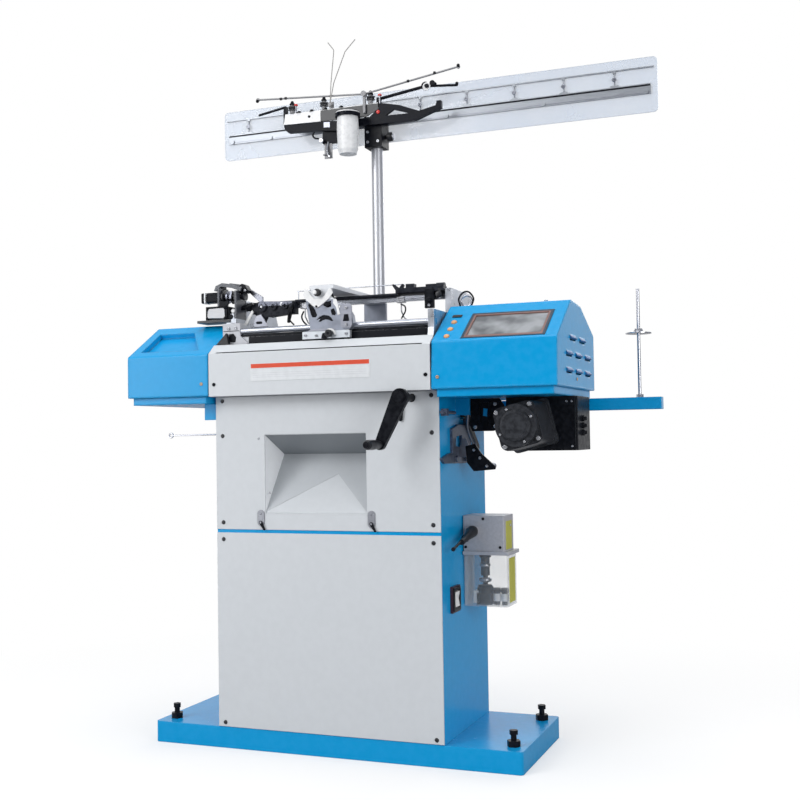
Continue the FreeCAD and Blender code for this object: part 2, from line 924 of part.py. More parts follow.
def build_column(s):
    """The folded and welded column: closed back and sides, two front windows, an open top."""
    wall = s.column_wall
    half = s.column_half
    low = s.base_height
    flange = s.column_flange
    outer = box(
        "column_outer", (s.column_width, s.column_depth, s.column_height), (-half, s.column_front, low)
    )
    room = (s.column_width - wall * 2, s.column_depth - wall * 2, s.column_height - wall * 2)
    tools = [box("column_room", room, (wall - half, s.column_front + wall, low + wall))]
    window_width = (half - flange) * 2
    bar_low = s.split_z - s.panel_crossbar / 2
    bar_high = s.split_z + s.panel_crossbar / 2
    for foot, head in ((low + flange, bar_low), (bar_high, s.column_top - flange)):
        tools.append(box(
            "front_window", (window_width, wall * 3, head - foot),
            (flange - half, s.column_front - wall, foot)
        ))
    rim = s.column_top_flange
    tools.append(box(
        "top_window",
        (s.column_width - rim * 2, s.column_depth - rim * 2, wall * 3),
        (rim - half, s.column_front + rim, s.column_top - wall * 2),
    ))
    for x, z in screw_places(s):
        tools.append(cylinder(
            "panel_hole", s.screw_shank + s.screw_hole_gap, wall * 3, (x, s.column_front - wall, z), "Y"
        ))
    tools.append(cylinder(
        "shaft_hole", s.crank_shaft + s.shaft_air, wall * 3, (s.crank_x, s.column_front - wall, s.crank_z),
        "Y"
    ))
    belt_low = s.motor_z + s.belt_slot_rise
    tools.append(box(
        "belt_slot",
        (rim + wall * 2, s.belt_width + s.belt_air * 2, s.column_top + wall - belt_low),
        (half - rim - wall, s.pulley_y - s.belt_air, belt_low),
    ))
    node("column_frame", cut("column_frame", outer, tools))

    panel_hole = s.screw_shank + s.screw_hole_gap
    low_panel = s.base_height + s.panel_foot_gap
    low_panel_top = s.split_z - s.panel_gap / 2
    node("lower_panel", extruded(
        "lower_panel", "XZ", rectangle(-half, low_panel, half, low_panel_top), s.panel_thick,
        (0, s.panel_front, 0), holes=[(x, z, panel_hole) for x, z in screw_places(s)[:4]],
    ))
    node("upper_panel", extruded(
        "upper_panel", "XZ", rectangle(-half, s.upper_low, half, s.column_top), s.panel_thick,
        (0, s.panel_front, 0),
        holes=[(x, z, panel_hole) for x, z in screw_places(s)[4:]]
        + [(s.crank_x, s.crank_z, s.crank_shaft + s.shaft_air)],
        windows=[rectangle(s.chute_left, s.chute_low, s.chute_right, s.chute_high)],
    ))
    screws = []
    for x, z in screw_places(s):
        shank = s.panel_thick + wall
        screws.append(fuse("panel_screw", [
            cylinder("screw_shank", s.screw_shank, shank, (x, s.panel_front, z), "Y"),
            cone("screw_head", s.screw_head * 0.6, s.screw_head, s.screw_head_thick,
                 (x, s.panel_front - s.screw_head_thick, z), "Y"),
        ]))
    node("panel_fasteners", group("panel_screws", screws))


def build_chute(s):
    """The folded bin behind the upper panel: a floor that falls forward, a sloping roof, two cheeks."""
    sheet = s.chute_sheet
    front = s.column_front
    outer = extruded(
        "chute_outer", "YZ",
        [(front, s.chute_low - sheet), (s.apex_y + sheet * 2, s.apex_z), (front, s.chute_high + sheet)],
        s.chute_width + sheet * 2, (s.chute_left - sheet, 0, 0),
    )
    inner = extruded(
        "chute_room", "YZ",
        [(s.panel_front, s.chute_low), (s.apex_y, s.apex_z), (s.panel_front, s.chute_high)],
        s.chute_width, (s.chute_left, 0, 0),
    )
    node("upper_panel", cut("glove_chute", outer, [inner]))

    half = s.latch_width / 2
    straight = s.latch_height / 2 - half
    plates = []
    for name, x in (("left", s.chute_left - s.latch_side_gap), ("right", s.chute_right + s.latch_side_gap)):
        z = s.chute_low - s.latch_drop
        plate = link_outline((x, z - straight), half, (x, z + straight), half, "Y", s.latch_thick)
        pin = Part.makeCylinder(
            float(s.latch_hook_tip), float(s.latch_thick * 2),
            FreeCAD.Vector(float(x), float(s.panel_front), float(z - straight)), FreeCAD.Vector(0, -1, 0),
        )
        rivet = Part.makeSphere(
            float(s.latch_hook_tip),
            FreeCAD.Vector(float(x), float(s.panel_front - s.latch_thick), float(z + straight)),
        )
        plate.translate(FreeCAD.Vector(0, float(s.panel_front - s.latch_thick), 0))
        plates.append(plate.fuse([pin, rivet]).removeSplitter())

        hook_y = s.panel_front - s.latch_thick * 2
        turn_z = z - straight
        hook = link_outline(
            (x, turn_z), s.latch_hook_eye, (x + s.latch_hook_reach * 0.6, turn_z - s.latch_hook_reach),
            s.latch_hook_tip, "Y", s.latch_thick - s.running_gap,
        )
        hook.translate(FreeCAD.Vector(0, float(hook_y), 0))
        bore = Part.makeCylinder(
            float(s.latch_hook_tip + s.pin_gap), float(s.latch_thick * 3),
            FreeCAD.Vector(float(x), float(hook_y - s.latch_thick), float(turn_z)), FreeCAD.Vector(0, 1, 0),
        )
        node(f"latch_hook_{name}", shaped(f"latch_hook_{name}", hook.cut(bore)))
    node("panel_fasteners", shaped("latch_plates", Part.makeCompound(plates)))


def build_head(s):
    """The head casting, its folded front panel, the end plates and the needle beds."""
    half = s.head_width / 2
    wall = s.head_wall
    outer = box("head_outer", (s.head_width, s.head_front + s.head_back, s.head_height),
                (-half, -s.head_front, s.column_top))
    room = box(
        "head_room",
        (s.head_width - wall * 2, s.head_front + s.head_back - wall * 2, s.head_height * 2),
        (wall - half, wall - s.head_front, s.column_top - s.head_height / 2),
    )
    node("head_casting", cut("head_casting", outer, [room]))

    low = s.column_top + s.head_panel_lift
    bend = low + s.head_panel_height
    face = s.head_face
    outline = folded(
        [(-s.head_front, low), (face, low), (face, bend),
         (face + s.head_panel_back, bend + s.head_panel_rise)][::-1], s.panel_thick,
    )
    sheet = extruded("head_panel_sheet", "YZ", outline, s.head_panel_width, (-s.head_panel_width / 2, 0, 0))
    slot = box(
        "head_panel_slot", (s.head_slot_width, s.panel_thick * 4, s.head_slot_height),
        (-s.head_slot_width / 2, face - s.panel_thick, bend + s.head_slot_drop),
    )
    node("head_front_panel", cut("head_front_panel", sheet, [slot]))

    plate_left = s.plate_offset - s.plate_width / 2
    plate_low = s.column_top + s.plate_rise
    node("spec_plate", extruded(
        "spec_plate", "XZ",
        rectangle(plate_left, plate_low, plate_left + s.plate_width, plate_low + s.plate_height),
        s.plate_thick, (0, face - s.plate_thick, 0), corner=s.plate_thick * 3,
    ))

    side = s.head_width / 2
    deck = s.head_top
    ear_y = -s.slide_rail_front - s.slide_rail * 2
    shelf = s.selector_low - s.selector_foot
    step_y = s.yarn_rail_y - s.end_plate_lip
    under_rail = s.slide_rail_height - s.slide_rail * 2
    fronts = {
        "left": [(-s.end_plate_waist, deck + s.end_plate_step * 2.3), (-s.end_plate_upright, under_rail),
                 (-s.end_plate_upright, shelf)],
        "right": [(-s.end_plate_waist, deck + s.end_plate_step * 3), (ear_y, under_rail), (ear_y, shelf)],
    }
    rails = ((-s.slide_rail_front, s.slide_rail_height), (s.slide_rail_rear, s.slide_rail_height))
    for name, x in (("left", -side), ("right", side - s.end_plate)):
        profile = [
            (-s.head_front, deck), (-s.head_front, deck + s.end_plate_step), *fronts[name],
            (step_y, shelf), (step_y, s.end_plate_top), (s.end_plate_shoulder, s.end_plate_top),
            (s.head_back, deck + s.end_plate_step), (s.head_back, deck),
        ]
        plate = extruded(f"end_plate_{name}_blank", "YZ", profile, s.end_plate, (x, 0, 0))
        bores = [
            cylinder("rail_seat", s.slide_rail, s.end_plate * 2, (x - s.end_plate / 2, y, z), "X")
            for y, z in rails
        ]
        bar_air = s.end_plate / 2
        bores.append(box(
            "yarn_rail_notch", (s.end_plate * 2, s.yarn_rail_thick, s.yarn_rail_tall),
            (x - bar_air, s.yarn_rail_y, s.yarn_rail_low),
        ))
        ears = []
        for y, z in rails[1:] if name == "left" else rails:
            ears.append(cylinder("rail_ear", s.slide_rail * 2, s.end_plate, (x, y, z), "X"))
        node("bed_frame", cut(f"end_plate_{name}", fuse("end_plate_body", [plate, *ears]), bores))

    span = s.head_width
    for (y, z), start in zip(rails, (s.end_plate, 0)):
        node("slide_rails", cylinder("slide_rail", s.slide_rail, span - start, (start - side, y, z), "X"))
    node("slide_rails", box(
        "yarn_rail", (span, s.yarn_rail_thick, s.yarn_rail_tall), (-side, s.yarn_rail_y, s.yarn_rail_low)
    ))


def needle_shape(s):
    """One latch needle on edge: shank, butt, and a hook at the tip. Its tip points up the slope."""
    tall = s.needle_height
    tip = s.needle_length
    butt = s.needle_length * 0.25
    hook = s.needle_hook
    outline = [
        (0, 0), (tip, 0), (tip, tall + hook), (tip - hook * 2, tall + hook), (tip - hook * 2, tall),
        (tip - hook, tall), (tip - hook, tall - hook), (butt + s.needle_butt_length, tall - hook),
        (butt + s.needle_butt_length, tall + s.needle_butt), (butt, tall + s.needle_butt),
        (butt, tall - hook),
        (0, tall - hook),
    ]
    points = [FreeCAD.Vector(0, float(v), float(w)) for v, w in outline]
    face = Part.Face(Part.makePolygon(points + points[:1]))
    return face.extrude(FreeCAD.Vector(float(s.needle_thick), 0, 0))


def build_beds(s):
    """Two sloping needle beds that rise to the gap where the glove hangs, with a needle in every slot."""
    count = int(float(s.needle_zone) // float(s.needle_pitch))
    first = -float(s.needle_pitch) * (count - 1) / 2 - float(s.needle_thick) / 2
    slot_width = float(s.needle_thick) + float(s.needle_slot_gap) * 2
    slot_low = float(s.bed_thick - s.needle_slot_depth)
    pitch = float(s.needle_pitch)
    sheet = Part.makeBox(
        float(s.bed_width), float(s.bed_length), float(s.bed_thick),
        FreeCAD.Vector(-float(s.bed_width) / 2, 0, 0)
    )
    slots = [
        Part.makeBox(
            slot_width, float(s.bed_length) * 2, float(s.bed_thick),
            FreeCAD.Vector(first + i * pitch - float(s.needle_slot_gap), -1, slot_low),
        )
        for i in range(count)
    ]
    bed = sheet.cut(Part.makeCompound(slots))
    needle = needle_shape(s)
    start = float(s.bed_length - s.needle_length)
    needles = []
    for i in range(count):
        copy = needle.copy()
        copy.translate(FreeCAD.Vector(first + i * pitch, start, slot_low))
        needles.append(copy)
    comb = Part.makeCompound(needles)

    run = float(s.bed_length) * math.cos(math.radians(float(s.bed_angle)))
    drop = float(s.bed_length) * math.sin(math.radians(float(s.bed_angle)))
    y = s.bed_gap / 2 + run
    z = s.bed_apex - drop
    front = tilt(s.bed_angle)
    rear = tilt(180, "Z") * front
    node("needle_beds", shaped("front_needle_bed", bed, (s.bed_offset, -y, z), front))
    node("needle_beds", shaped("rear_needle_bed", bed.copy(), (s.bed_offset, y, z), rear))
    node("needles", shaped("front_needles", comb, (s.bed_offset, -y, z), front))
    node("needles", shaped("rear_needles", comb.copy(), (s.bed_offset, y, z), rear))

    slope = math.tan(math.radians(float(s.bed_angle)))
    rest_y = run * s.bed_rest_share
    rest_top = z + (y - rest_y - s.bed_rest_width / 2) * slope
    node("bed_frame", box(
        "bed_guard", (s.head_width - s.end_plate * 2, s.guard_thick, s.guard_tall),
        (s.end_plate - s.head_half, -s.guard_back - s.guard_thick, s.head_top),
    ))
    for way in (-1, 1):
        node("bed_frame", box(
            "bed_rest", (s.head_width - s.end_plate * 2, s.bed_rest_width, rest_top - s.head_top),
            (s.end_plate - s.head_width / 2, rest_y * way - s.bed_rest_width / 2, s.head_top),
        ))


# Outline and windows of the front cheek: fractions of the waist beside the middle of the arch, and of
# the height between the shoe and the top of the arch.
CHEEK_OUTLINE = (
    (1.20, 0.03), (1.14, 0.22), (1.04, 0.44), (0.82, 0.69), (0.54, 0.78), (0.62, 1.0), (-0.60, 1.0),
    (-0.72, 0.88), (-1.02, 0.80), (-1.0, 0.64), (-0.92, 0.44), (-0.82, 0.22), (-0.72, 0.03),
)
CHEEK_WINDOWS = (
    ((-0.36, 0.25), (-0.16, 0.32), (0.14, 0.36), (0.44, 0.32), (0.62, 0.25), (0.38, 0.275), (0.14, 0.295),
     (-0.12, 0.275)),
    ((-0.88, 0.60), (-0.76, 0.64), (-0.58, 0.53), (-0.38, 0.44), (-0.44, 0.36), (-0.66, 0.36), (-0.74, 0.46)),
    ((0.08, 0.57), (0.28, 0.63), (0.62, 0.62), (0.60, 0.53), (0.36, 0.51)),
    ((0.56, 0.47), (0.72, 0.46), (0.78, 0.35), (0.64, 0.34)),
)
CHEEK_POST = (
    (1.10, 0.02), (1.76, 0.02), (1.98, 0.15), (1.90, 0.32), (1.56, 0.53), (1.28, 0.60), (1.10, 0.48),
)


def build_carriage(s):
    """The cast carriage: a star-shaped front cheek, an arch over the rails, a rear cheek and cam boxes."""
    x = s.carriage_x
    low = s.carriage_low
    shoe = s.carriage_shoe_width / 2
    rail_z = s.slide_rail_height
    front = -s.slide_rail_front
    rear = s.slide_rail_rear
    top = s.carriage_top
    waist = s.carriage_waist
    foot = x + s.carriage_shoe_side
    shoe_top = low + s.carriage_shoe_tall
    tall = top - shoe_top

    def on_cheek(points):
        """Turn fractions of the cheek into points of its plane."""
        return [(x + waist * across, shoe_top + tall * up) for across, up in points]

    star = [
        (foot - shoe, low), (foot + shoe, low), (foot + shoe, shoe_top),
        *on_cheek(CHEEK_OUTLINE), (foot - shoe, shoe_top),
    ]
    windows = [on_cheek(window) for window in CHEEK_WINDOWS]
    cheek_y = front - s.carriage_cheek_reach
    cheek = extruded(
        "carriage_cheek", "XZ", star, s.carriage_cheek_thick, (0, cheek_y, 0), windows=windows
    )
    post = extruded(
        "carriage_post", "XZ", on_cheek(CHEEK_POST), s.carriage_post_thick, (0, cheek_y, 0)
    )
    block_half = s.slide_rail + s.carriage_bush
    blocks = []
    bores = []
    for name, y, reach in (("front", front, front - cheek_y), ("rear", rear, block_half)):
        blocks.append(box(
            f"{name}_shoe", (waist * 1.9, reach + block_half, block_half * 2),
            (foot - waist * 0.95, y - (reach if name == "front" else block_half), rail_z - block_half),
        ))
        bores.append(cylinder(
            f"{name}_shoe_bore", s.slide_rail + s.slide_gap, shoe * 4, (x - shoe * 2, y, rail_z), "X"
        ))
    arch_half = s.arch_width / 2
    arch_low = s.arch_low
    arch = box("arch_beam", (s.arch_width, rear + block_half - cheek_y, s.arch_thick),
               (x - arch_half, cheek_y, arch_low))
    leg = box("arch_leg", (s.arch_width, s.arch_thick, arch_low - rail_z),
              (x - arch_half, rear + block_half - s.arch_thick, rail_z))
    turn = tilt(s.bed_angle)
    lift = s.bed_thick + s.needle_height - s.needle_slot_depth + s.needle_butt + s.cam_air
    cosine = math.cos(math.radians(float(s.bed_angle)))
    sine = math.sin(math.radians(float(s.bed_angle)))
    run = s.bed_length * cosine
    drop = s.bed_length * sine
    for name, way, rotation in (("front", 1, turn), ("rear", -1, tilt(180, "Z") * turn)):
        length_y = s.cam_box_length
        start = s.cam_box_start
        y = -(s.bed_gap / 2 + run) + start * cosine - lift * sine
        z = s.bed_apex - drop + start * sine + lift * cosine
        plate_x = x - s.cam_box_width / 2 * way
        cam_box = box(
            f"{name}_cam_box", (s.cam_box_width, length_y, s.cam_box_thick), (plate_x, y * way, z), rotation
        )
        node("carriage_frame", cam_box)
        bores.append(cam_box)
        rise = s.cam_box_thick
        back = s.cam_arm_back
        arm_y = y - back * cosine - rise * sine
        arm_z = z - back * sine + rise * cosine
        blocks.append(box(
            f"{name}_cam_arm", (s.cam_box_width * 0.7, length_y * 0.7, s.cam_arm_thick),
            (x - s.cam_box_width * 0.35 * way, arm_y * way, arm_z), rotation,
        ))
    body = fuse("carriage_solid", [cheek, post, arch, leg, *blocks])
    node("carriage_frame", cut("carriage_body", body, bores))

    for name, knob_x, knob_z in (
        ("upper", x - s.arm_knob_in, top - s.arm_knob_drop),
        ("lower", x + s.arm_knob_out, low + s.arm_knob_rise),
    ):
        node(f"stitch_knob_{name}", turned(
            f"stitch_knob_{name}",
            [(0, 0), (s.stitch_knob * 0.55, 0), (s.stitch_knob * 0.55, 5), (s.stitch_knob, 7),
             (s.stitch_knob, 15), (s.stitch_knob * 0.8, 18), (0, 18)],
            (knob_x, cheek_y - s.running_gap, knob_z), "-Y",
        ))


def build_feeders(s):
    """What sits on the yarn rail: the feeder bank at the left, two yarn feeders, stops at the right."""
    y = s.yarn_rail_y
    low = s.yarn_rail_low
    top = low + s.yarn_rail_tall
    bank_x = s.bank_left
    bank_y = y - s.bank_thick
    bank = extruded(
        "feeder_bank_body", "XZ",
        [(bank_x, low - 14), (bank_x + s.bank_width * 0.4, low - 26), (bank_x + s.bank_width, low - 18),
         (bank_x + s.bank_width, top - 6), (bank_x + s.bank_width * 0.2, top), (bank_x, top - 10)],
        s.bank_thick, (0, bank_y, 0), corner=6,
    )
    shelf = extruded("bank_shelf", "YZ", [
        (bank_y + 2, low - 20), (bank_y + 2, low - 12), (y, low - 6), (y, low - 20),
    ], s.bank_width - s.bank_shelf, (bank_x + s.bank_shelf, 0, 0))
    leg = extruded("bank_leg", "XZ", [
        (bank_x + 14, low - 12), (bank_x + 22, low - 44), (bank_x + 4, low - 66), (bank_x + 52, low - 66),
        (bank_x + 44, low - 40), (bank_x + 58, low - 16),
    ], s.bank_thick * 0.6, (0, bank_y, 0), corner=3, at=[1, 2, 3, 4])
    bosses = [
        tube("bank_boss", r, r * 0.5, s.bank_thick * 0.3 + 6, (bank_x + dx, bank_y - 6, low + 6), "Y")
        for dx, r in ((38, 15), (78, 12), (118, 10))
    ]
    lug = cylinder(
        "bank_lug", 9, s.bank_width * 0.25, (bank_x - 20, bank_y + s.bank_thick / 2, top - 18), "X"
    )
    bar_y = bank_y + s.bank_thick / 2
    bar = cylinder("bank_bar", s.bank_bar, s.stops_left - s.bank_right + 8,
                   (s.bank_right - 4, bar_y, top - s.bank_bar), "X")
    bar_end = box("bank_bar_end", (10, y + s.yarn_rail_thick - bar_y, s.bank_bar * 2),
                  (s.stops_left - 2, bar_y, top - s.bank_bar * 2))

    mid_y = y + s.yarn_rail_thick / 2
    for name, x in (("left", s.feeder_left), ("right", s.feeder_right)):
        path = [
            (x, mid_y, low - s.feeder_clip_wall / 2), (x, mid_y, low - 28), (x + 3, mid_y + 14, low - 46),
            (x + 3, y + s.feeder_reach, s.feeder_tip),
        ]
        stem = shaped("feeder_stem", bent_wire(s.feeder_wire, path, 9))
        clip_wall = s.feeder_clip_wall
        gap = s.running_gap
        clip = cut("feeder_clip", box(
            "feeder_clip_block",
            (
                s.feeder_clip, s.yarn_rail_thick + (clip_wall + gap) * 2,
                s.yarn_rail_tall * 0.6 + clip_wall + gap,
            ),
            (x - s.feeder_clip / 2, y - clip_wall - gap, low - clip_wall - gap),
        ), [box(
            "feeder_clip_room", (s.feeder_clip * 2, s.yarn_rail_thick + gap * 2, s.yarn_rail_tall),
            (x - s.feeder_clip, y - gap, low - gap),
        )])
        node(f"yarn_feeder_{name}", fuse(f"yarn_feeder_{name}", [clip, stem]))

    stop_x = s.stops_left
    parts = [
        box("stop_bar", (s.stops_width, y + s.yarn_rail_thick + 8 - bar_y, 14), (stop_x, bar_y, top)),
        box("stop_block", (26, 22, 26), (stop_x + 30, y - 6, top)),
        box("stop_block", (30, 20, 22), (stop_x + 92, y - 4, top)),
        cylinder("stop_coil", 11, 25, (stop_x + s.stop_coil_in, y + 4, top + 14), "X"),
    ]
    hook = shaped("stop_hook", link_outline(
        (stop_x + 6, top + 8), 8, (stop_x - 12, top + 26), 3, "Y", 8), (0, y, 0))
    tail = shaped("stop_tail", link_outline(
        (stop_x + 8, top + 8), 7, (stop_x + 18, top + 24), 4, "Y", 8), (0, y, 0))
    node("feeder_bank", fuse("feeder_bank", [bank, shelf, leg, *bosses, lug, bar, *parts, hook, tail]))
    guide_z = top + s.guide_wire_rise
    left = bank_x + s.bank_width - 8
    right = stop_x + 20
    node("slide_rails", fuse("guide_wire", [
        cylinder("guide_wire_run", s.guide_wire, right - left, (left, y + 10, guide_z), "X"),
        cylinder("guide_wire_post", s.guide_wire, guide_z - top, (left + 4, y + 10, top)),
        cylinder("guide_wire_post", s.guide_wire, guide_z - top - 14, (right - 4, y + 10, top + 14)),
    ]))

    lever_x = s.latch_lever_x
    lever_y = bank_y - s.running_gap - 6
    lever = link_outline((lever_x, low + 4), 8, (lever_x - 10, low - 44), 4, "Y", 6)
    hole = Part.makeCylinder(
        float(3 + s.pin_gap), 20, FreeCAD.Vector(float(lever_x), -10, float(low + 4)), FreeCAD.Vector(0, 1, 0)
    )
    node("feeder_lever", shaped("feeder_lever", lever.cut(hole), (0, lever_y, 0)))
    node("feeder_bank", fuse("feeder_lever_pin", [
        cylinder("lever_pin", 3, 8 + s.running_gap * 2, (lever_x, lever_y - 2 - s.running_gap, low + 4), "Y"),
        cylinder("lever_pin_head", 5, 2, (lever_x, lever_y - 2 - s.running_gap, low + 4), "Y"),
    ]))


def build_left_drive(s):
    """The selector drive that stands over the left cover: bracket, motor, cam drum and its knob."""
    side = -s.head_width / 2
    y = s.selector_y
    base_low = s.selector_low
    reach = s.selector_reach
    plate = box(
        "selector_arm", (reach, s.selector_depth, 8), (side - reach, y - s.selector_depth / 2, base_low)
    )
    block_left = side - reach + s.selector_block_in
    tower_x = block_left + s.selector_block - s.selector_tower_in
    block = box("selector_block", (s.selector_block, s.selector_depth - 10, s.selector_block_tall),
                (block_left, y - s.selector_depth / 2 + 5, base_low + 8))
    tower = box("selector_tower", (6, s.selector_depth - 6, s.selector_tower),
                (tower_x, y - s.selector_depth / 2 + 3, base_low + 8))
    far = box("selector_far_tower", (6, s.selector_depth - 6, s.selector_axis + 16),
              (side + s.end_plate - 6, y - s.selector_depth / 2 + 3, base_low))
    foot = box("selector_foot", (s.end_plate, s.selector_depth, 30),
               (side, y - s.selector_depth / 2, base_low - s.selector_foot))
    drum_z = base_low + s.selector_axis
    room = cylinder("selector_bore", 7 + s.pin_gap, reach * 2, (side - reach, y, drum_z), "X")
    body = fuse("selector_body", [plate, block, tower, far, foot])
    node("selector_bracket", cut("selector_bracket", body, [room]))

    half = s.selector_motor / 2
    motor = extruded("selector_motor_case", "YZ", rectangle(y - half, drum_z - half, y + half, drum_z + half),
                     s.selector_motor_long, (tower_x - s.selector_motor_long, 0, 0), corner=5)
    collar_left = tower_x - s.selector_motor_long - s.selector_collar
    collar = cylinder("selector_motor_collar", half * 0.6, s.selector_collar, (collar_left, y, drum_z), "X")
    rear_cap = extruded("selector_motor_cap", "YZ",
                        rectangle(y - half, drum_z - half, y + half, drum_z + half),
                        s.selector_cap, (collar_left - s.selector_cap, 0, 0), corner=5)
    bore = cylinder("selector_motor_bore", 5 + s.pin_gap, 30, (tower_x - 20, y, drum_z), "X")
    node(
        "selector_motor",
        cut("selector_motor", fuse("selector_motor_body", [motor, collar, rear_cap]), [bore]),
    )

    drum_left = tower_x + 6 + s.running_gap
    drum_right = side + s.end_plate - 6 - s.running_gap
    span = drum_right - drum_left
    pieces = [
        cylinder("drum_shaft", 5, span + 22, (drum_left - 20, y, drum_z), "X"),
        cylinder("drum_core", 12, span, (drum_left, y, drum_z), "X"),
        cylinder("drum_disc", 24, 5, (drum_left + 2, y, drum_z), "X"),
        cylinder("drum_disc", 19, 5, (drum_left + 16, y, drum_z), "X"),
        prism("drum_cam", 5, 22, 6, (drum_left + 30, y, drum_z), "X"),
        prism("drum_cam", 6, 20, 6, (drum_left + 44, y, drum_z), "X"),
        cylinder("drum_stub", 6, 20, (drum_right - 6, y, drum_z), "X"),
        cone("drum_knob", 9, 14, 16, (drum_right + 8, y, drum_z), "X"),
    ]
    node("cam_drum", fuse("cam_drum", pieces))

    x = side + s.end_plate
    z = s.slide_rail_height
    front = -s.slide_rail_front
    wide = s.rail_bracket_wide
    foot = s.rail_bracket_foot
    above = z + s.rail_bracket_above
    below = z - s.rail_bracket_below
    bracket = extruded("rail_bracket_blank", "XZ", [
        (x, below), (x + foot, below), (x + foot, below + 8), (x + wide, z - s.slide_rail * 1.6),
        (x + wide, above), (x, above),
    ], s.rail_bracket_deep, (0, front - s.rail_bracket_deep / 2, 0))
    node("bed_frame", cut("rail_bracket", bracket, [
        cylinder("rail_bracket_bore", s.slide_rail, foot * 3, (x - foot, front, z), "X"),
        box("rail_bracket_guard_seat", (foot * 3, s.rail_bracket_deep, s.guard_tall + s.seat_gap),
            (x - foot, -s.guard_back - s.guard_thick, s.head_top)),
    ]))


def build_covers(s):
    """The left cover and the control box, each a folded shell over a shallow tray."""
    wall = s.cover_wall
    face = s.head_face
    low = s.column_top + s.cover_lift
    left = -s.head_panel_width / 2 - s.cover_gap - s.left_cover_width
    left_outline = [
        (face, low), (face, low + s.left_cover_front), (face + s.left_cover_slope, low + s.left_cover_height),
        (s.left_cover_top_back, low + s.left_cover_height),
        (s.cover_back, low + s.left_cover_height * 0.72), (s.cover_back, low),
    ]
    shell = shelled("left_cover_shell", "YZ", left_outline, s.left_cover_width, wall, (left, 0, 0),
                    corner=s.cover_corner, at=[1, 2, 3, 4])
    rise = s.left_cover_height - s.left_cover_front
    angle = math.atan2(float(rise), float(s.left_cover_slope))
    slope_turn = tilt(math.degrees(angle))
    slope_long = math.hypot(float(rise), float(s.left_cover_slope))
    slant_y = math.cos(angle)
    slant_z = math.sin(angle)
    reach = slope_long * s.recess_share
    shift = slope_long * s.recess_low_share

    def pocket(name, grow, thick, out):
        """A slab with the recess outline, grown all round and set in from the skin."""
        wide = s.recess_width
        outline = [
            (-grow, -grow), (wide + grow * 2, -grow), (wide * 0.62 + grow * 2, reach + grow),
            (-grow, reach + grow),
        ]
        slab = extruded(name, "XY", outline, thick)
        return seat(slab, (
            left + s.recess_inset, face + shift * slant_y - out * slant_z,
            low + s.left_cover_front + shift * slant_z + out * slant_y,
        ), slope_turn)

    depth = s.recess_depth
    node("left_cover", cut("left_cover", shell, [pocket("recess_opening", 0, wall * 4, -wall * 2)]))
    node("left_cover", cut("left_pan", pocket("pan_outside", wall, depth, -depth - wall), [
        pocket("pan_inside", 0, depth, -depth)
    ]))

    inset = s.tray_inset
    tray_wall = s.tray_wall
    edge = s.seat_gap
    for owner, cover_left, cover_wide in (
        ("left_cover", left, s.left_cover_width),
        ("control_box", s.head_panel_width / 2 + s.cover_gap, s.control_width),
    ):
        tray_left = cover_left + inset
        deep = s.cover_back - face
        size = (cover_wide - inset * 2, deep - inset * 2, s.tray_height)
        blank = box("tray_blank", size, (tray_left, face + inset, low - s.tray_height))
        lip = box("tray_lip", (cover_wide - edge * 2, deep - edge * 2, tray_wall),
                  (cover_left + edge, face + edge, low - tray_wall))
        tools = [box(
            "tray_room", (size[0] - tray_wall * 2, size[1] - tray_wall * 2, size[2]),
            (tray_left + tray_wall, face + inset + tray_wall, low - s.tray_height + tray_wall),
        )]
        if owner == "control_box":
            slot_wide = s.belt_width + s.belt_air * 2
            slot_y = s.pulley_y - s.belt_air
            tools.append(box("tray_belt_slot", (s.tray_belt_reach, slot_wide, tray_wall * 4),
                             (tray_left - tray_wall, slot_y, low - s.tray_height - tray_wall * 2)))
            tools.append(box("tray_belt_notch", (tray_wall * 4, slot_wide, s.tray_height),
                             (tray_left - tray_wall * 2, slot_y, low - s.tray_height)))
        node(owner, cut("cover_tray", fuse("tray_solid", [blank, lip]), tools))

    drop = s.cover_bracket_tall
    for way, y in (
        (-1, s.bracket_left_y), (-1, s.bracket_back_y), (1, s.bracket_right_y), (1, s.bracket_back_y)
    ):
        start = s.column_half if way > 0 else -s.column_half - s.cover_bracket_wide
        node("column_frame", box(
            "cover_bracket", (s.cover_bracket_wide, s.cover_bracket_deep, drop),
            (start, y, low - s.tray_height - drop),
        ))


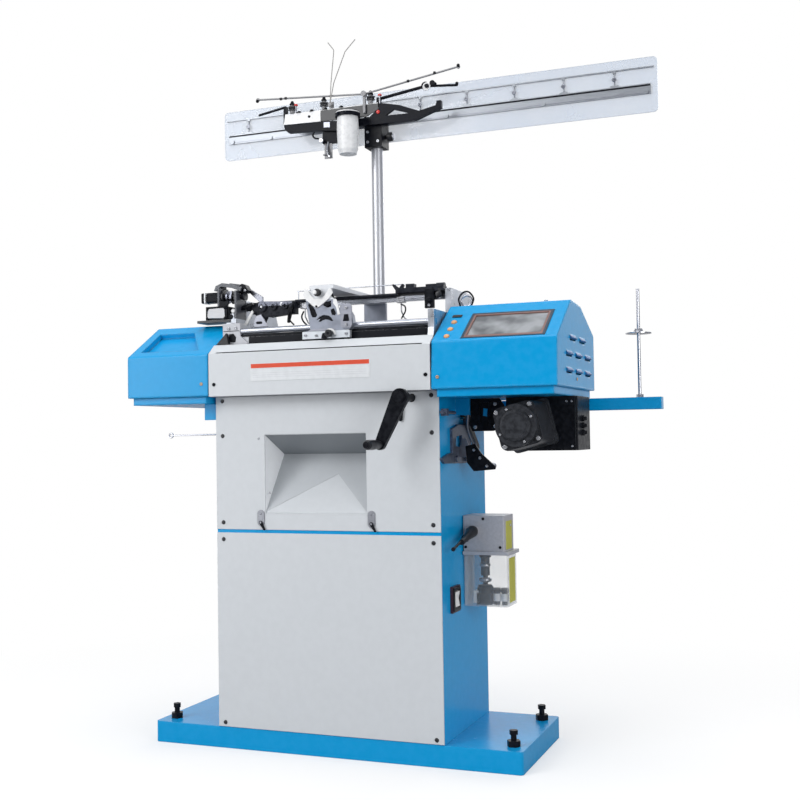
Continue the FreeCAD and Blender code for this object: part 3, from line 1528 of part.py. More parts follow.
def build_control_box(s):
    """The control box: shell, louvres, screen, three buttons, a socket and a lifting eye."""
    wall = s.cover_wall
    face = s.head_face
    low = s.column_top + s.cover_lift
    left = s.head_panel_width / 2 + s.cover_gap
    right = left + s.control_width
    front_top = low + s.control_front
    slope_y = s.control_slope
    high = low + s.control_height
    outline = [
        (face, low), (face + s.control_lean, front_top), (face + s.control_lean + slope_y, high),
        (s.control_top_back, high - 8), (s.cover_back, low + s.control_back), (s.cover_back, low),
    ]
    shell = shelled("control_shell", "YZ", outline, s.control_width, wall, (left, 0, 0),
                    corner=s.cover_corner, at=[1, 2, 3, 4])
    angle = math.atan2(float(s.control_height - s.control_front), float(slope_y))
    slant_y = math.cos(angle)
    slant_z = math.sin(angle)
    turn = tilt(math.degrees(angle))

    def on_slope(x, along, out):
        """A place on the sloping face: along it from its lower edge, and out from its skin."""
        return (
            x, face + s.control_lean + along * slant_y - out * slant_z,
            front_top + along * slant_z + out * slant_y,
        )

    screen_x = left + s.screen_inset
    tools = [
        box("screen_opening", (s.screen_width, s.screen_height, wall * 4),
            on_slope(screen_x, s.screen_low, -wall * 2), turn),
        box("socket_opening", (s.socket_width, s.socket_height, wall * 4),
            on_slope(left + s.button_inset - s.socket_width / 2, s.socket_low, -wall * 2), turn),
    ]
    button_x = left + s.button_inset
    button_hole = s.button_radius + s.button_air
    for along in (s.button_low, s.button_mid, s.button_high):
        tools.append(
            cylinder("button_hole", button_hole, wall * 4, on_slope(button_x, along, -wall * 2), turn=turn)
        )
    hoods = []
    for row in range(3):
        z = low + s.louvre_low + s.louvre_pitch * row
        for y in ((-122, -6, 116) if row < 2 else (-73, 47)):
            tools.append(box("louvre_slit", (wall * 4, s.louvre_long, s.louvre_tall),
                             (right - wall * 2, s.louvre_shift + y - s.louvre_long / 2, z)))
            hoods.append(extruded(
                "louvre_hood", "XZ",
                [(right - wall / 2, z + s.louvre_tall * 0.4), (right + s.louvre_out, z + s.louvre_tall),
                 (right - wall / 2, z + s.louvre_tall * 2.4)],
                s.louvre_long, (0, s.louvre_shift + y - s.louvre_long / 2, 0),
            ))
    eye_x = left + s.eye_inset
    collar = s.eye_wire * 2.2
    tools.append(cylinder("eye_hole", collar + s.fit_gap, 30, (eye_x, s.eye_y, high - 20)))
    case = cut("control_case", shell, tools)
    node("control_box", fuse("control_box", [case, *hoods]))

    frame = s.bezel_frame
    sink = s.bezel_sink
    gap = s.seat_gap
    blank = box("bezel_blank", (s.screen_width - gap * 2, s.screen_height - gap * 2, s.bezel_thick),
                on_slope(screen_x + gap, s.screen_low + gap, -sink), turn)
    window = box("bezel_window", (s.screen_width - frame * 2, s.screen_height - frame * 2, s.bezel_thick * 3),
                 on_slope(screen_x + frame, s.screen_low + frame, -sink - s.bezel_thick), turn)
    node("screen_bezel", cut("screen_bezel", blank, [window]))
    node("touch_screen", box(
        "touch_screen", (s.screen_width - gap * 2, s.screen_height - gap * 2, s.screen_thick),
        on_slope(screen_x + gap, s.screen_low + gap, -sink - s.screen_thick), turn,
    ))
    long = s.button_long
    out = s.button_out
    travel = s.button_travel + s.seat_gap
    for name, along in (("start", s.button_high), ("stop", s.button_mid), ("reset", s.button_low)):
        node(f"{name}_button", turned(f"{name}_button", [
            (0, 0), (s.button_radius, 0), (s.button_radius, long - 2), (s.button_radius - 2, long), (0, long),
        ], on_slope(button_x, along, out - long), turn=turn))
        sleeve = s.button_sleeve
        floor = out - long - travel
        node("control_board", turned("button_sleeve", [
            (0, -sleeve), (button_hole + sleeve, -sleeve), (button_hole + sleeve, -floor - wall),
            (button_hole, -floor - wall), (button_hole, 0), (0, 0),
        ], on_slope(button_x, along, floor), turn=turn))
    node("screen_bezel", box(
        "data_socket", (s.socket_width - gap * 2, s.socket_height - gap * 2, s.bezel_thick),
        on_slope(button_x - s.socket_width / 2 + gap, s.socket_low + gap, -sink), turn,
    ))
    eye = DOC.addObject("Part::Torus", "eye_ring")
    bind(eye, "Radius1", s.eye_ring)
    bind(eye, "Radius2", s.eye_wire)
    seat(eye, (eye_x, s.eye_y, high + s.eye_ring + s.eye_wire), tilt(90, "X"))
    node(
        "yarn_rods", fuse("ring_eye", [eye, cylinder("eye_collar", collar, 14, (eye_x, s.eye_y, high - 10))])
    )
    board_x = left + s.control_width * 0.45
    board_z = low - s.tray_height + s.tray_wall
    board_y = s.cover_back - s.board_back
    relays = [
        box("board_relay", (40, 20, 60), (board_x + dx, board_y - 20, board_z + 40)) for dx in (20, 75)
    ]
    node("control_board", fuse("control_board", [
        box("board_plate", (s.control_width * 0.4, 3, s.control_height * 0.5), (board_x, board_y, board_z)),
        *relays,
    ]))


def build_drive(s):
    """The hand crank, main shaft and pulley, and the motor that drives them by a belt."""
    x = s.crank_x
    z = s.crank_z
    arm_back = s.head_face - s.crank_stand_off
    arm_front = arm_back - s.crank_arm_thick
    lean = math.radians(float(s.crank_lean))
    tip_x = x - s.crank_length * math.sin(lean)
    tip_z = z - s.crank_length * math.cos(lean)
    arm = shaped("crank_arm_bar", link_outline(
        (x, z), s.crank_hub, (tip_x, tip_z), s.crank_tip, "Y", s.crank_arm_thick), (0, arm_front, 0))
    hub = cylinder("crank_hub_barrel", s.crank_hub * 0.8, s.crank_hub_long, (x, arm_back - 2, z), "Y")
    cap = cylinder("crank_hub_cap", s.crank_hub * 0.62, 6, (x, arm_front - 6, z), "Y")
    pin = cylinder("grip_pin", s.grip_pin, s.grip_long + 4, (tip_x, arm_front - s.grip_long - 4, tip_z), "Y")
    washer = cylinder("grip_washer", s.grip_pin + 3, 3, (tip_x, arm_front - s.grip_long - 3, tip_z), "Y")
    shaft_end = s.pulley_y + s.belt_width + s.bearing_reach
    socket = cylinder("crank_socket", s.crank_shaft, s.crank_hub_long * 2, (x, arm_back - 4, z), "Y")
    node("crank_arm", cut("crank_arm", fuse("crank_arm_body", [arm, hub, cap, pin, washer]), [socket]))
    node(
        "crank_arm",
        cylinder("main_shaft", s.crank_shaft, shaft_end - arm_back + 4, (x, arm_back - 4, z), "Y"),
    )
    grip = s.grip_radius
    bore = s.grip_pin + s.pin_gap
    long = s.grip_long - s.running_gap * 2
    node("crank_grip", turned("crank_grip", [
        (bore, 0), (grip * 0.72, 0), (grip * 0.8, 4), (grip, long * 0.55), (grip * 0.96, long - 8),
        (grip * 0.7, long), (bore, long),
    ], (tip_x, arm_front - s.running_gap, tip_z), "-Y"))

    stop_x = x - s.crank_stop_left
    stop_z = z - s.crank_stop_drop
    stop = link_outline((stop_x, stop_z), 7, (stop_x, stop_z - 24), 5, "Y", 6)
    hole = Part.makeCylinder(float(3.5 + s.pin_gap), 30, FreeCAD.Vector(float(stop_x), -10, float(stop_z)),
                             FreeCAD.Vector(0, 1, 0))
    stop_y = s.panel_front - s.running_gap - 6
    node("crank_stop", shaped("crank_stop", stop.cut(hole), (0, stop_y, 0)))
    node("shaft_bearings", fuse("crank_stop_pin", [
        cylinder("stop_pin", 3.5, 9 + s.running_gap * 2, (stop_x, stop_y - 3 - s.running_gap, stop_z), "Y"),
        cylinder("stop_pin_head", 6, 3, (stop_x, stop_y - 3 - s.running_gap, stop_z), "Y"),
    ]))

    ring = s.bearing_half
    tall = ring + s.bearing_above
    hanger_y = s.pulley_y + s.belt_width + s.bearing_reach / 2
    for width, right, y in (
        (s.bearing_width, x + ring, s.column_front + s.column_wall),
        (s.column_wall * 2, s.column_half - s.column_wall, hanger_y),
    ):
        block = box("bearing_block", (right - x + ring, width, tall), (x - ring, y, z - ring))
        node("shaft_bearings", cut("shaft_bearing", block, [
            cylinder("bearing_bore", s.crank_shaft + s.fit_gap, width * 3, (x, y - width, z), "Y")
        ]))

    pulley_y = s.pulley_y
    width = s.belt_width
    big = s.shaft_pulley
    wheel = turned("shaft_pulley_wheel", [
        (s.crank_shaft, 0), (big + 4, 0), (big + 4, 2), (big, 2), (big, width - 2), (big + 4, width - 2),
        (big + 4, width), (s.crank_shaft, width),
    ], (x, pulley_y, z), "Y")
    node("crank_arm", wheel)
    motor_x = s.column_half + s.motor_out
    small = s.motor_pulley
    back = s.motor_back
    node("motor_rotor", turned("motor_pulley", [
        (0, 0), (small + 4, 0), (small + 4, 2), (small, 2), (small, width - 2), (small + 4, width - 2),
        (small + 4, width), (0, width),
    ], (motor_x, pulley_y, s.motor_z), "Y"))
    gap = s.running_gap
    belt_args = ((x, z), (motor_x, s.motor_z))
    thick = s.belt_thick
    depth = width - 4 - gap * 2
    outside = link_outline(belt_args[0], big + gap + thick, belt_args[1], small + gap + thick, "Y", depth)
    inside = link_outline(belt_args[0], big + gap, belt_args[1], small + gap, "Y", depth)
    node("drive_belt", shaped("drive_belt", outside.cut(inside), (0, pulley_y + 2 + gap, 0)))

    size = s.motor_size
    front = back - s.motor_long
    turn = tilt(-float(s.motor_roll), "Y")
    half = size / 2
    square = rectangle(-half, -half, half, half)
    case = seat(extruded("motor_case", "XZ", square, s.motor_long, corner=s.motor_corner),
                (motor_x, front, s.motor_z), turn)
    flange_half = half + 6
    square = rectangle(-flange_half, -flange_half, flange_half, flange_half)
    flange = seat(extruded("motor_flange_plate", "XZ", square, 12, corner=s.motor_corner * 0.6),
                  (motor_x, back - 12, s.motor_z), turn)
    nose = cylinder(
        "motor_nose", s.motor_face, s.motor_face_out, (motor_x, front - s.motor_face_out, s.motor_z), "Y"
    )
    step = cylinder(
        "motor_step", s.motor_face * 0.72, 5, (motor_x, front - s.motor_face_out - 5, s.motor_z), "Y"
    )
    shaft = cylinder("motor_shaft_bore", s.motor_shaft + s.fit_gap, 60, (motor_x, back - 50, s.motor_z), "Y")
    node("motor", cut("motor", fuse("motor_body", [case, flange, nose, step]), [shaft]))
    node("motor_rotor", cylinder(
        "motor_shaft", s.motor_shaft, pulley_y - back + 49, (motor_x, back - 49, s.motor_z), "Y"
    ))
    bolts = []
    roll = math.radians(float(s.motor_roll))
    for quarter in range(4):
        angle = roll + math.pi / 4 + quarter * math.pi / 2
        bolt_x = motor_x + s.motor_bolt_circle * math.cos(angle)
        bolt_z = s.motor_z + s.motor_bolt_circle * math.sin(angle)
        bolts.append(cylinder("motor_bolt", 6, 8, (bolt_x, front - 8, bolt_z), "Y"))
        inner = angle - math.pi / 6
        bolts.append(cylinder(
            "cover_bolt", 3.5, 2.5,
            (motor_x + s.motor_face * 0.86 * math.cos(inner), front - s.motor_face_out - 2.5,
             s.motor_z + s.motor_face * 0.86 * math.sin(inner)), "Y",
        ))
    for bolt in bolts:
        node("motor", bolt)

    low = s.column_top + s.cover_lift - s.tray_height
    plate_left = motor_x - s.motor_plate_left
    plate = box("motor_plate_blank", (s.motor_plate_width, s.motor_plate_thick, s.motor_plate_tall),
                (plate_left, back, low - s.motor_plate_tall))
    node("drive_box", cut("motor_plate", plate, [
        cylinder("motor_plate_bore", s.motor_shaft + 6, s.motor_plate_thick * 3,
                 (motor_x, back - s.motor_plate_thick, s.motor_z), "Y")
    ]))

    box_left = motor_x + s.drive_box_right
    drive_low = low - s.drive_box_tall
    footprint = rectangle(
        box_left, s.drive_box_front, box_left + s.drive_box_width, s.drive_box_front + s.drive_box_long
    )
    case = extruded("drive_box_case", "XY", footprint, s.drive_box_tall, (0, 0, drive_low), corner=4)
    lid = box("drive_box_lid", (s.drive_box_width - 12, 4, s.drive_box_tall - 16),
              (box_left + 6, s.drive_box_front - 4, drive_low + 8))
    node("drive_box", fuse("drive_box_solid", [case, lid]))
    for i in range(3):
        gland_z = drive_low + s.gland_low + s.gland_pitch * i
        gland_y = s.drive_box_front + s.gland_back
        start = box_left + s.drive_box_width
        node("drive_box", fuse("gland", [
            prism("gland_nut", 6, s.gland_radius, 6, (start, gland_y, gland_z), "X"),
            cone(
                "gland_cap", s.gland_radius * 0.8, s.gland_radius * 0.5, 8, (start + 6, gland_y, gland_z), "X"
            ),
        ]))


def build_side_fittings(s):
    """What the right side of the column carries: the switch and the stitch tension linkage."""
    side = s.column_half
    y = s.column_front + s.switch_back
    z = s.base_height + s.switch_high
    wide = s.switch_width / 2
    tall = s.switch_tall / 2
    plate = box("switch_blank", (s.switch_out, s.switch_width, s.switch_tall), (side, y - wide, z - tall))
    rocker_half_y = wide * 0.5
    rocker_half_z = tall * 0.62
    room = box("switch_room", (s.switch_out * 2, rocker_half_y * 2 + 1.2, rocker_half_z * 2 + 2),
               (side + 2, y - rocker_half_y - 0.6, z - rocker_half_z - 1))
    node("power_switch", cut("power_switch", plate, [room]))
    swing = s.switch_swing
    rocker = [
        (side + swing - 5, z), (side + swing, z - rocker_half_z + 1),
        (side + swing + 5, z - rocker_half_z + 2),
        (side + swing + 1.5, z), (side + swing + 5, z + rocker_half_z - 2),
        (side + swing, z + rocker_half_z - 1),
    ]
    node("switch_rocker", extruded(
        "switch_rocker", "XZ", rocker, rocker_half_y * 2, (0, y - rocker_half_y, 0)
    ))
    arm_z = s.linkage_z
    arm_y = s.column_front + s.linkage_back
    plate = s.linkage_plate
    base = extruded("linkage_base", "YZ", [
        (arm_y - s.linkage_nose, arm_z), (arm_y - s.linkage_chin, arm_z - 13), (arm_y - 30, arm_z - 16),
        (arm_y + s.linkage_heel, arm_z - 16), (arm_y + s.linkage_heel, arm_z + 16), (arm_y - 150, arm_z + 14),
    ], plate, (side, 0, 0))
    web = extruded("linkage_web", "YZ", [
        (arm_y - 118, arm_z + 12), (arm_y + 53, arm_z + 12), (arm_y + 53, arm_z + 92),
        (arm_y + 38, arm_z + 116),
        (arm_y + 8, arm_z + 116), (arm_y + 6, arm_z + 96), (arm_y - 60, arm_z + 96),
        (arm_y - 118, arm_z + 84),
    ], plate, (side, 0, 0), windows=[
        [
            (arm_y - 92, arm_z + 34), (arm_y - 30, arm_z + 30), (arm_y - 34, arm_z + 66),
            (arm_y - 84, arm_z + 62),
        ],
    ])
    out = side + plate
    node("tension_linkage", fuse("linkage_solid", [base, web]))
    for dy in (-90, -5):
        node("tension_linkage", prism("linkage_bolt", 6, 9, 6, (out, arm_y + dy, arm_z - 2), "X"))

    pivot = (arm_y + 21, arm_z + 100)
    elbow = (arm_y + 44, arm_z + 152)
    foot = (arm_y + 104, arm_z + 30)
    thick = s.linkage_lever
    x = out + s.running_gap
    lever = fuse("tension_lever_body", [
        shaped("lever_upper", link_outline(pivot, 12, elbow, 8, "X", thick), (x, 0, 0)),
        shaped("lever_top", link_outline(elbow, 8, (arm_y + 145, arm_z + 158), 5, "X", thick), (x, 0, 0)),
        shaped("lever_lower", link_outline(pivot, 12, foot, 9, "X", thick), (x, 0, 0)),
    ])
    bore = cylinder("lever_bore", 6 + s.pin_gap, thick * 3, (x - thick, *pivot), "X")
    node("tension_lever", cut("tension_lever_solid", lever, [bore]))
    head_x = x + thick + s.running_gap
    node("tension_linkage", fuse("lever_pivot_pin", [
        cylinder("lever_pivot", 6, head_x - out, (out, *pivot), "X"),
        cylinder("lever_pivot_head", 10, 4, (head_x, *pivot), "X"),
    ]))
    heel = (arm_y + 60, arm_z + 4)
    sole = (arm_y + s.linkage_foot_back, arm_z - s.linkage_foot_drop)
    node("tension_linkage", fuse("linkage_foot", [
        shaped("foot_bar", link_outline(heel, 12, sole, 6, "X", 10), (out, 0, 0)),
        cylinder("foot_bolt", 7, 16, (out, *heel), "X"),
        cylinder("foot_pad", 10, s.linkage_pad, (out + 5, sole[0] - 4, sole[1]), "Y"),
    ]))
    rod_y = s.column_front + s.side_rod_back
    rod_z = s.column_top - s.side_rod_drop
    node("tension_linkage", fuse("side_rod", [
        cylinder("side_rod_bar", 5, s.side_rod_long, (side + 9, rod_y, rod_z), "Y"),
        box("side_rod_clip", (18, 16, 20), (side, rod_y + 20, rod_z - 10)),
    ]))

    left = -side
    eye_y = s.column_front + s.left_rod_back
    eye_z = s.left_rod_z
    end = left - s.left_rod_long
    ring = DOC.addObject("Part::Torus", "rod_eye")
    bind(ring, "Radius1", 7)
    bind(ring, "Radius2", s.left_rod)
    seat(ring, (end - 7, eye_y, eye_z), ALONG["Y"])
    node("yarn_rods", fuse("side_yarn_rod", [
        cylinder("yarn_rod_bar", s.left_rod, s.left_rod_long, (end, eye_y, eye_z), "X"),
        cylinder("yarn_rod_flange", 12, 4, (left - 4, eye_y, eye_z), "X"),
        ring,
    ]))


def build_lubricator(s):
    """The pump that oils the slides: housing, flange, clear reservoir, pump tube, filter and hand lever."""
    left = s.column_half + s.lub_bracket
    front = s.lub_front
    low = s.lub_flange_z
    size_x = s.lub_width
    size_y = s.lub_depth
    housing = extruded("lub_housing_block", "XY", rectangle(0, 0, size_x, size_y), s.lub_tall,
                       (left, front, low + s.lub_flange), corner=3)
    over = s.lub_flange_over
    flange = extruded("lub_flange_plate", "XY",
                      rectangle(0, 0, size_x + over * 2, size_y + over * 2), s.lub_flange,
                      (left - s.lub_bracket / 2, front - over, low), corner=4)
    node("lubricator", fuse("lubricator_housing", [housing, flange]))
    wall = s.lub_wall
    res_x = size_x + over
    tank_low = low - s.lub_tank
    tank = extruded(
        "lub_tank", "XY", rectangle(0, 0, res_x, size_y), s.lub_tank, (left, front, tank_low), corner=6
    )
    room = box("lub_tank_room", (res_x - wall * 2, size_y - wall * 2, s.lub_tank),
               (left + wall, front + wall, tank_low + wall))
    node("oil_reservoir", cut("oil_reservoir", tank, [room]))
    x = left + res_x * 0.42
    y = front + s.lub_depth * 0.35
    node("oil_pump", fuse("pump_tube", [
        cylinder("pump_barrel", 13, s.lub_tank * 0.42, (x, y, low - s.lub_tank * 0.42)),
        cylinder("pump_stem", 7, s.lub_tank * 0.2, (x, y, low - s.lub_tank * 0.6)),
        cylinder("pump_collar", 17, 10, (x, y, low - 10)),
    ]))
    filter_low = low - s.lub_tank + wall
    node("oil_pump", fuse("oil_filter", [
        box("filter_block", (s.filter_wide, s.filter_deep, s.filter_tall),
            (x - s.filter_wide / 2, y - s.filter_deep / 2, filter_low)),
        cylinder("filter_neck", 11, low - s.lub_tank * 0.6 - filter_low, (x, y, filter_low)),
    ]))
    fit_x = left + res_x * 0.78
    for dx in (-13, 11):
        node("oil_pump", fuse("oil_fitting", [
            cylinder("fitting_body", 9, 34, (fit_x + dx, y, filter_low)),
            cylinder("fitting_cap", 11, 14, (fit_x + dx, y, filter_low + 34)),
        ]))
    label_y = front + s.lub_depth * 0.2
    node("spec_plate", box("housing_label", (s.plate_thick, s.label_deep, s.lub_tall * 0.8),
                           (left + size_x, label_y, low + s.lub_flange + 4)))
    node("spec_plate", box("reservoir_label", (s.plate_thick, s.label_deep, s.lub_tank * 0.86),
                           (left + res_x, label_y, low - s.lub_tank * 0.93)))

    pivot_x = left + s.lub_lever_in
    pivot_y = front - s.lub_lever_out
    pivot_z = low + s.lub_lever_high
    lever_long = s.lub_lever_long
    drop = s.lub_lever_drop
    node("lubricator", fuse("lever_ears", [
        cylinder("ear_pin", 4, 32, (pivot_x - 16, pivot_y, pivot_z), "X"),
        *[
            box("ear_plate", (4, s.lub_lever_out + 8, 22), (pivot_x + dx, pivot_y - 8, pivot_z - 11))
            for dx in (-16, 12)
        ],
    ]))
    sleeve_end = (pivot_x, pivot_y - lever_long * 0.4, pivot_z - drop * 0.4)
    end = (pivot_x, pivot_y - lever_long, pivot_z - drop)
    boss = cylinder("lub_lever_boss", 9, 23, (pivot_x - 11.5, pivot_y, pivot_z), "X")
    bar = fuse("lub_lever_bar", [
        boss, rod("lub_lever_sleeve", 8, (pivot_x, pivot_y, pivot_z), sleeve_end),
        rod("lub_lever_rod", 4, sleeve_end, end),
    ])
    ball = DOC.addObject("Part::Sphere", "lub_lever_ball")
    bind(ball, "Radius", 6)
    seat(ball, end)
    node("lubricator_lever", cut("lub_lever", fuse("lub_lever_body", [bar, ball]), [
        cylinder("lub_lever_bore", 4 + s.pin_gap, 60, (pivot_x - 30, pivot_y, pivot_z), "X")
    ]))
    node("lubricator", box(
        "lubricator_bracket", (s.lub_bracket, size_y * 0.8, s.lub_tall * 0.7),
        (s.column_half, front + size_y * 0.1, low + s.lub_flange + 10),
    ))


def build_mast(s):
    """The chrome mast behind the column, its two clamps, and the head clamp with its turning knob."""
    y = s.mast_y
    outer = s.mast_radius
    top = s.mast_top
    foot = s.mast_foot
    node("mast", tube("mast", outer, outer - s.mast_wall, top - foot, (0, y, foot)))
    half = s.mast_clamp_width / 2
    for z in (s.mast_clamp_low, s.mast_clamp_high):
        block = box("mast_clamp_block", (half * 2, y + outer + 10 - s.column_back, s.mast_clamp_tall),
                    (-half, s.column_back, z))
        node("mast_clamps", cut("mast_clamp", block, [
            cylinder(
                "mast_clamp_bore", outer + s.fit_gap, s.mast_clamp_tall * 2, (0, y, z - s.mast_clamp_tall / 2)
            ),
            box(
                "mast_clamp_slit", (4, outer + 20, s.mast_clamp_tall * 2), (-2, y, z - s.mast_clamp_tall / 2)
            ),
        ]))

    head_half = s.head_clamp / 2
    tall = s.head_clamp_tall
    beam_back = y - s.beam_reach + s.beam_deep
    block = box(
        "head_clamp_block", (s.head_clamp, y + outer + 10 - beam_back, tall),
        (-head_half, beam_back, top - tall / 2),
    )
    bore = cylinder("head_clamp_bore", outer + s.fit_gap, tall, (0, y, top - tall))
    knob_z = top - tall * 0.14
    screw = cylinder("clamp_screw_bore", 5 + s.pin_gap, s.head_clamp, (outer, y, knob_z), "X")
    node("mast_clamps", cut("head_clamp", block, [bore, screw]))
    grip = s.clamp_knob
    node("clamp_knob", fuse("clamp_knob_solid", [
        turned("clamp_knob_grip", [(0, 0), (7, 0), (7, 6), (grip, 9), (grip, 22), (9, 27), (0, 27)],
               (head_half + s.running_gap, y, knob_z), "X"),
        cylinder("clamp_knob_screw", 5, head_half - outer, (outer + s.running_gap * 2, y, knob_z), "X"),
    ]))


def build_tensioner(s):
    """The yarn tension unit on top of the mast: beam, block, pan, plate, rods, take-up wires and cup."""
    y = s.mast_y - s.beam_reach
    deep = s.beam_deep
    low = s.mast_top + s.beam_rise
    left = s.beam_left
    right = s.beam_right
    top = low + s.beam_tall
    beam = extruded("tension_beam_bar", "XZ", [
        (left, low), (right - 90, low - 4), (right, low + 26), (right, low + 50), (right - 14, low + 50),
        (right - 18, low + 36), (right - 95, top - 4), (left, top),
    ], deep, (0, y, 0))
    fork = extruded("tension_fork", "XZ", [
        (left + 95, top - 4), (left + 135, top + 26), (left + 95, top + 38), (left + 125, top + 44),
        (left + 205, top + 26), (right - 60, top - 6), (right - 90, top - 10), (left + 185, top + 14),
        (left + 155, top - 4),
    ], deep / 2, (0, y, 0))
    node("tension_beam", fuse("tension_beam_solid", [beam, fork]))

    block_left = left - s.tray_block
    node("tension_beam", box("tension_block", (s.tray_block, deep, s.tray_block_tall),
                             (block_left, y, top - s.tray_block_tall)))
    pan_left = block_left - s.pan_long
    pan_low = low + s.pan_rise
    pan_top = pan_low + s.pan_tall
    node("tension_beam", extruded("tension_pan", "XZ", [
        (pan_left, pan_top), (pan_left + 4, pan_low + 12), (pan_left + 18, pan_low),
        (block_left, pan_low - 6),
        (block_left, pan_top - 8),
    ], deep, (0, y, 0)))
    face_y = y - s.pan_face_thick
    deck_z = pan_top + s.pan_face_rise
    face_end = left + s.pan_face_reach
    node("tension_plate", extruded("pan_face", "XZ", [
        (pan_left + 2, pan_top - 4), (face_end - 44, pan_top - 12), (face_end, pan_top + 8),
        (face_end, deck_z),
        (pan_left + 8, deck_z),
    ], s.pan_face_thick, (0, face_y, 0)))

    post_y = face_y + s.pan_face_thick / 2
    wheel = [(4, 0), (15, 0), (6, 4), (6, 6), (15, 10), (4, 10)]
    for step in (s.post_first, s.post_second, s.post_third):
        x = pan_left + step
        node("guide_rods", fuse("tension_post", [
            cylinder("post_stud", 4, 27, (x, post_y, deck_z)),
            cylinder("post_collar", 8, 10, (x, post_y, deck_z)),
            turned("tension_disc", wheel, (x, post_y, deck_z + 12)),
            cylinder("post_cap", 6, 4, (x, post_y, deck_z + 25)),
        ]))

    rod_y = face_y - 4
    mid_x = left + s.guide_rod_mid
    eye_z = deck_z + s.guide_rod_rise
    left_x = pan_left - s.guide_rod_left
    right_x = right + s.guide_rod_right
    left_z = eye_z + s.guide_rod_lift
    right_z = eye_z + s.guide_rod_climb
    node("guide_rods", fuse("upper_rods", [
        rod("upper_rod", s.guide_rod, (left_x, rod_y, left_z), (mid_x, rod_y, eye_z)),
        rod("upper_rod", s.guide_rod, (mid_x, rod_y, eye_z), (right_x, rod_y, right_z)),
        cylinder("upper_rod_hub", 9, 14, (mid_x, rod_y - 10, eye_z), "Y"),
        box("upper_rod_stem", (8, 8, eye_z - pan_top), (mid_x - 4, rod_y - 4, pan_top)),
        cylinder("upper_rod_eye", 6, 5, (left_x, rod_y - 2.5, left_z), "Y"),
        cylinder("upper_rod_eye", 6, 5, (right_x, rod_y - 2.5, right_z), "Y"),
    ]))
    back_y = y + deep / 2
    lower_z = eye_z - s.lower_rod_drop
    node("tension_beam", fuse("lower_rod_left", [
        rod("lower_rod", 4, (pan_left - 96, back_y, lower_z - 14), (pan_left + 5, back_y, lower_z + 2)),
        box("lower_rod_foot", (10, deep, lower_z + 2 - pan_top), (pan_left, y, pan_top)),
    ]))
    knob = (left + s.lower_rod_knob, back_y - 6, lower_z + 10)
    start = left + s.lower_rod_start
    node("tension_beam", fuse("lower_rod_right", [
        rod("lower_rod", 5, (start, back_y, lower_z - 12), (knob[0], back_y, knob[2])),
        cylinder("lower_rod_knob", 13, 12, knob, "Y"),
        cylinder("lower_rod_knob", 9, 12, (knob[0] + 24, knob[1], knob[2] + 6), "Y"),
        rod("lower_rod", 4, (knob[0], back_y, knob[2]), (knob[0] + 107, back_y, knob[2] - 10)),
        box("lower_rod_foot", (12, deep, lower_z - 8 - top - 44), (start - 4, y, top + 44)),
    ]))

    wire_y = face_y - 10
    pins = []
    wires = [tube("takeup_hub", 7, 3 + s.pin_gap, 6, (left + s.takeup_in, wire_y - 3, deck_z + 10), "Y")]
    base_x = left + s.takeup_in
    base_z = deck_z + 10
    for knee, tip in (((16, 178), (-5, 206)), ((56, 168), (92, 203))):
        path = [
            (base_x, wire_y, base_z + 5), (base_x + knee[0] * 0.25, wire_y, base_z + 70),
            (base_x + knee[0], wire_y, base_z + knee[1]), (base_x + tip[0], wire_y, base_z + tip[1]),
        ]
        wires.append(shaped("takeup_wire", bent_wire(s.takeup_wire, path, 12)))
    node("takeup_wires", fuse("takeup_solid", wires))
    pins.append(cylinder("takeup_pin", 3, face_y - wire_y + 5, (base_x, wire_y - 5, base_z), "Y"))
    pins.append(cylinder("takeup_pin_head", 6, 1.6, (base_x, wire_y - 5, base_z), "Y"))
    pins.append(box("takeup_lug", (16, s.pan_face_thick, 22), (base_x - 8, face_y, deck_z)))
    node("guide_rods", fuse("takeup_pin_solid", pins))

    cup = s.cup_radius
    wall = s.cup_wall
    tall = s.cup_tall
    mouth = cup * 0.94
    cup_x = left + s.cup_in
    cup_y = face_y - cup - 8
    cup_low = low + s.cup_top - tall
    node("tension_plate", turned("waste_cup", [
        (0, 0), (cup * 0.78, 0), (cup * 0.92, 14), (cup, tall * 0.6), (mouth, tall - 4),
        (mouth + 5, tall - 4),
        (mouth + 5, tall), (mouth - wall, tall), (cup - wall, tall * 0.6), (cup * 0.92 - wall, 14 + wall),
        (cup * 0.78 - wall, wall), (0, wall),
    ], (cup_x, cup_y, cup_low)))
    ring_low = cup_low + tall - 16
    node("tension_beam", fuse("cup_holder", [
        tube("cup_collar", cup + 5, cup + 0.6, 12, (cup_x, cup_y, ring_low)),
        box("cup_bracket", (24, 4, s.cup_bracket_tall), (cup_x - 12, face_y - 4, ring_low)),
    ]))
    plate_x = block_left + s.wire_guide_in
    node("guide_rods", fuse("wire_guide", [
        box("wire_guide_plate", (27, 4, s.wire_guide_tall), (plate_x, y + 2, top - s.tray_block_tall
                                                            - s.wire_guide_tall)),
        rod("wire_guide_arm", 3, (plate_x + 13, y + 3, top - s.tray_block_tall - s.wire_guide_tall + 10),
            (plate_x + 13, y - 32, top - s.tray_block_tall - s.wire_guide_tall + 4)),
    ]))


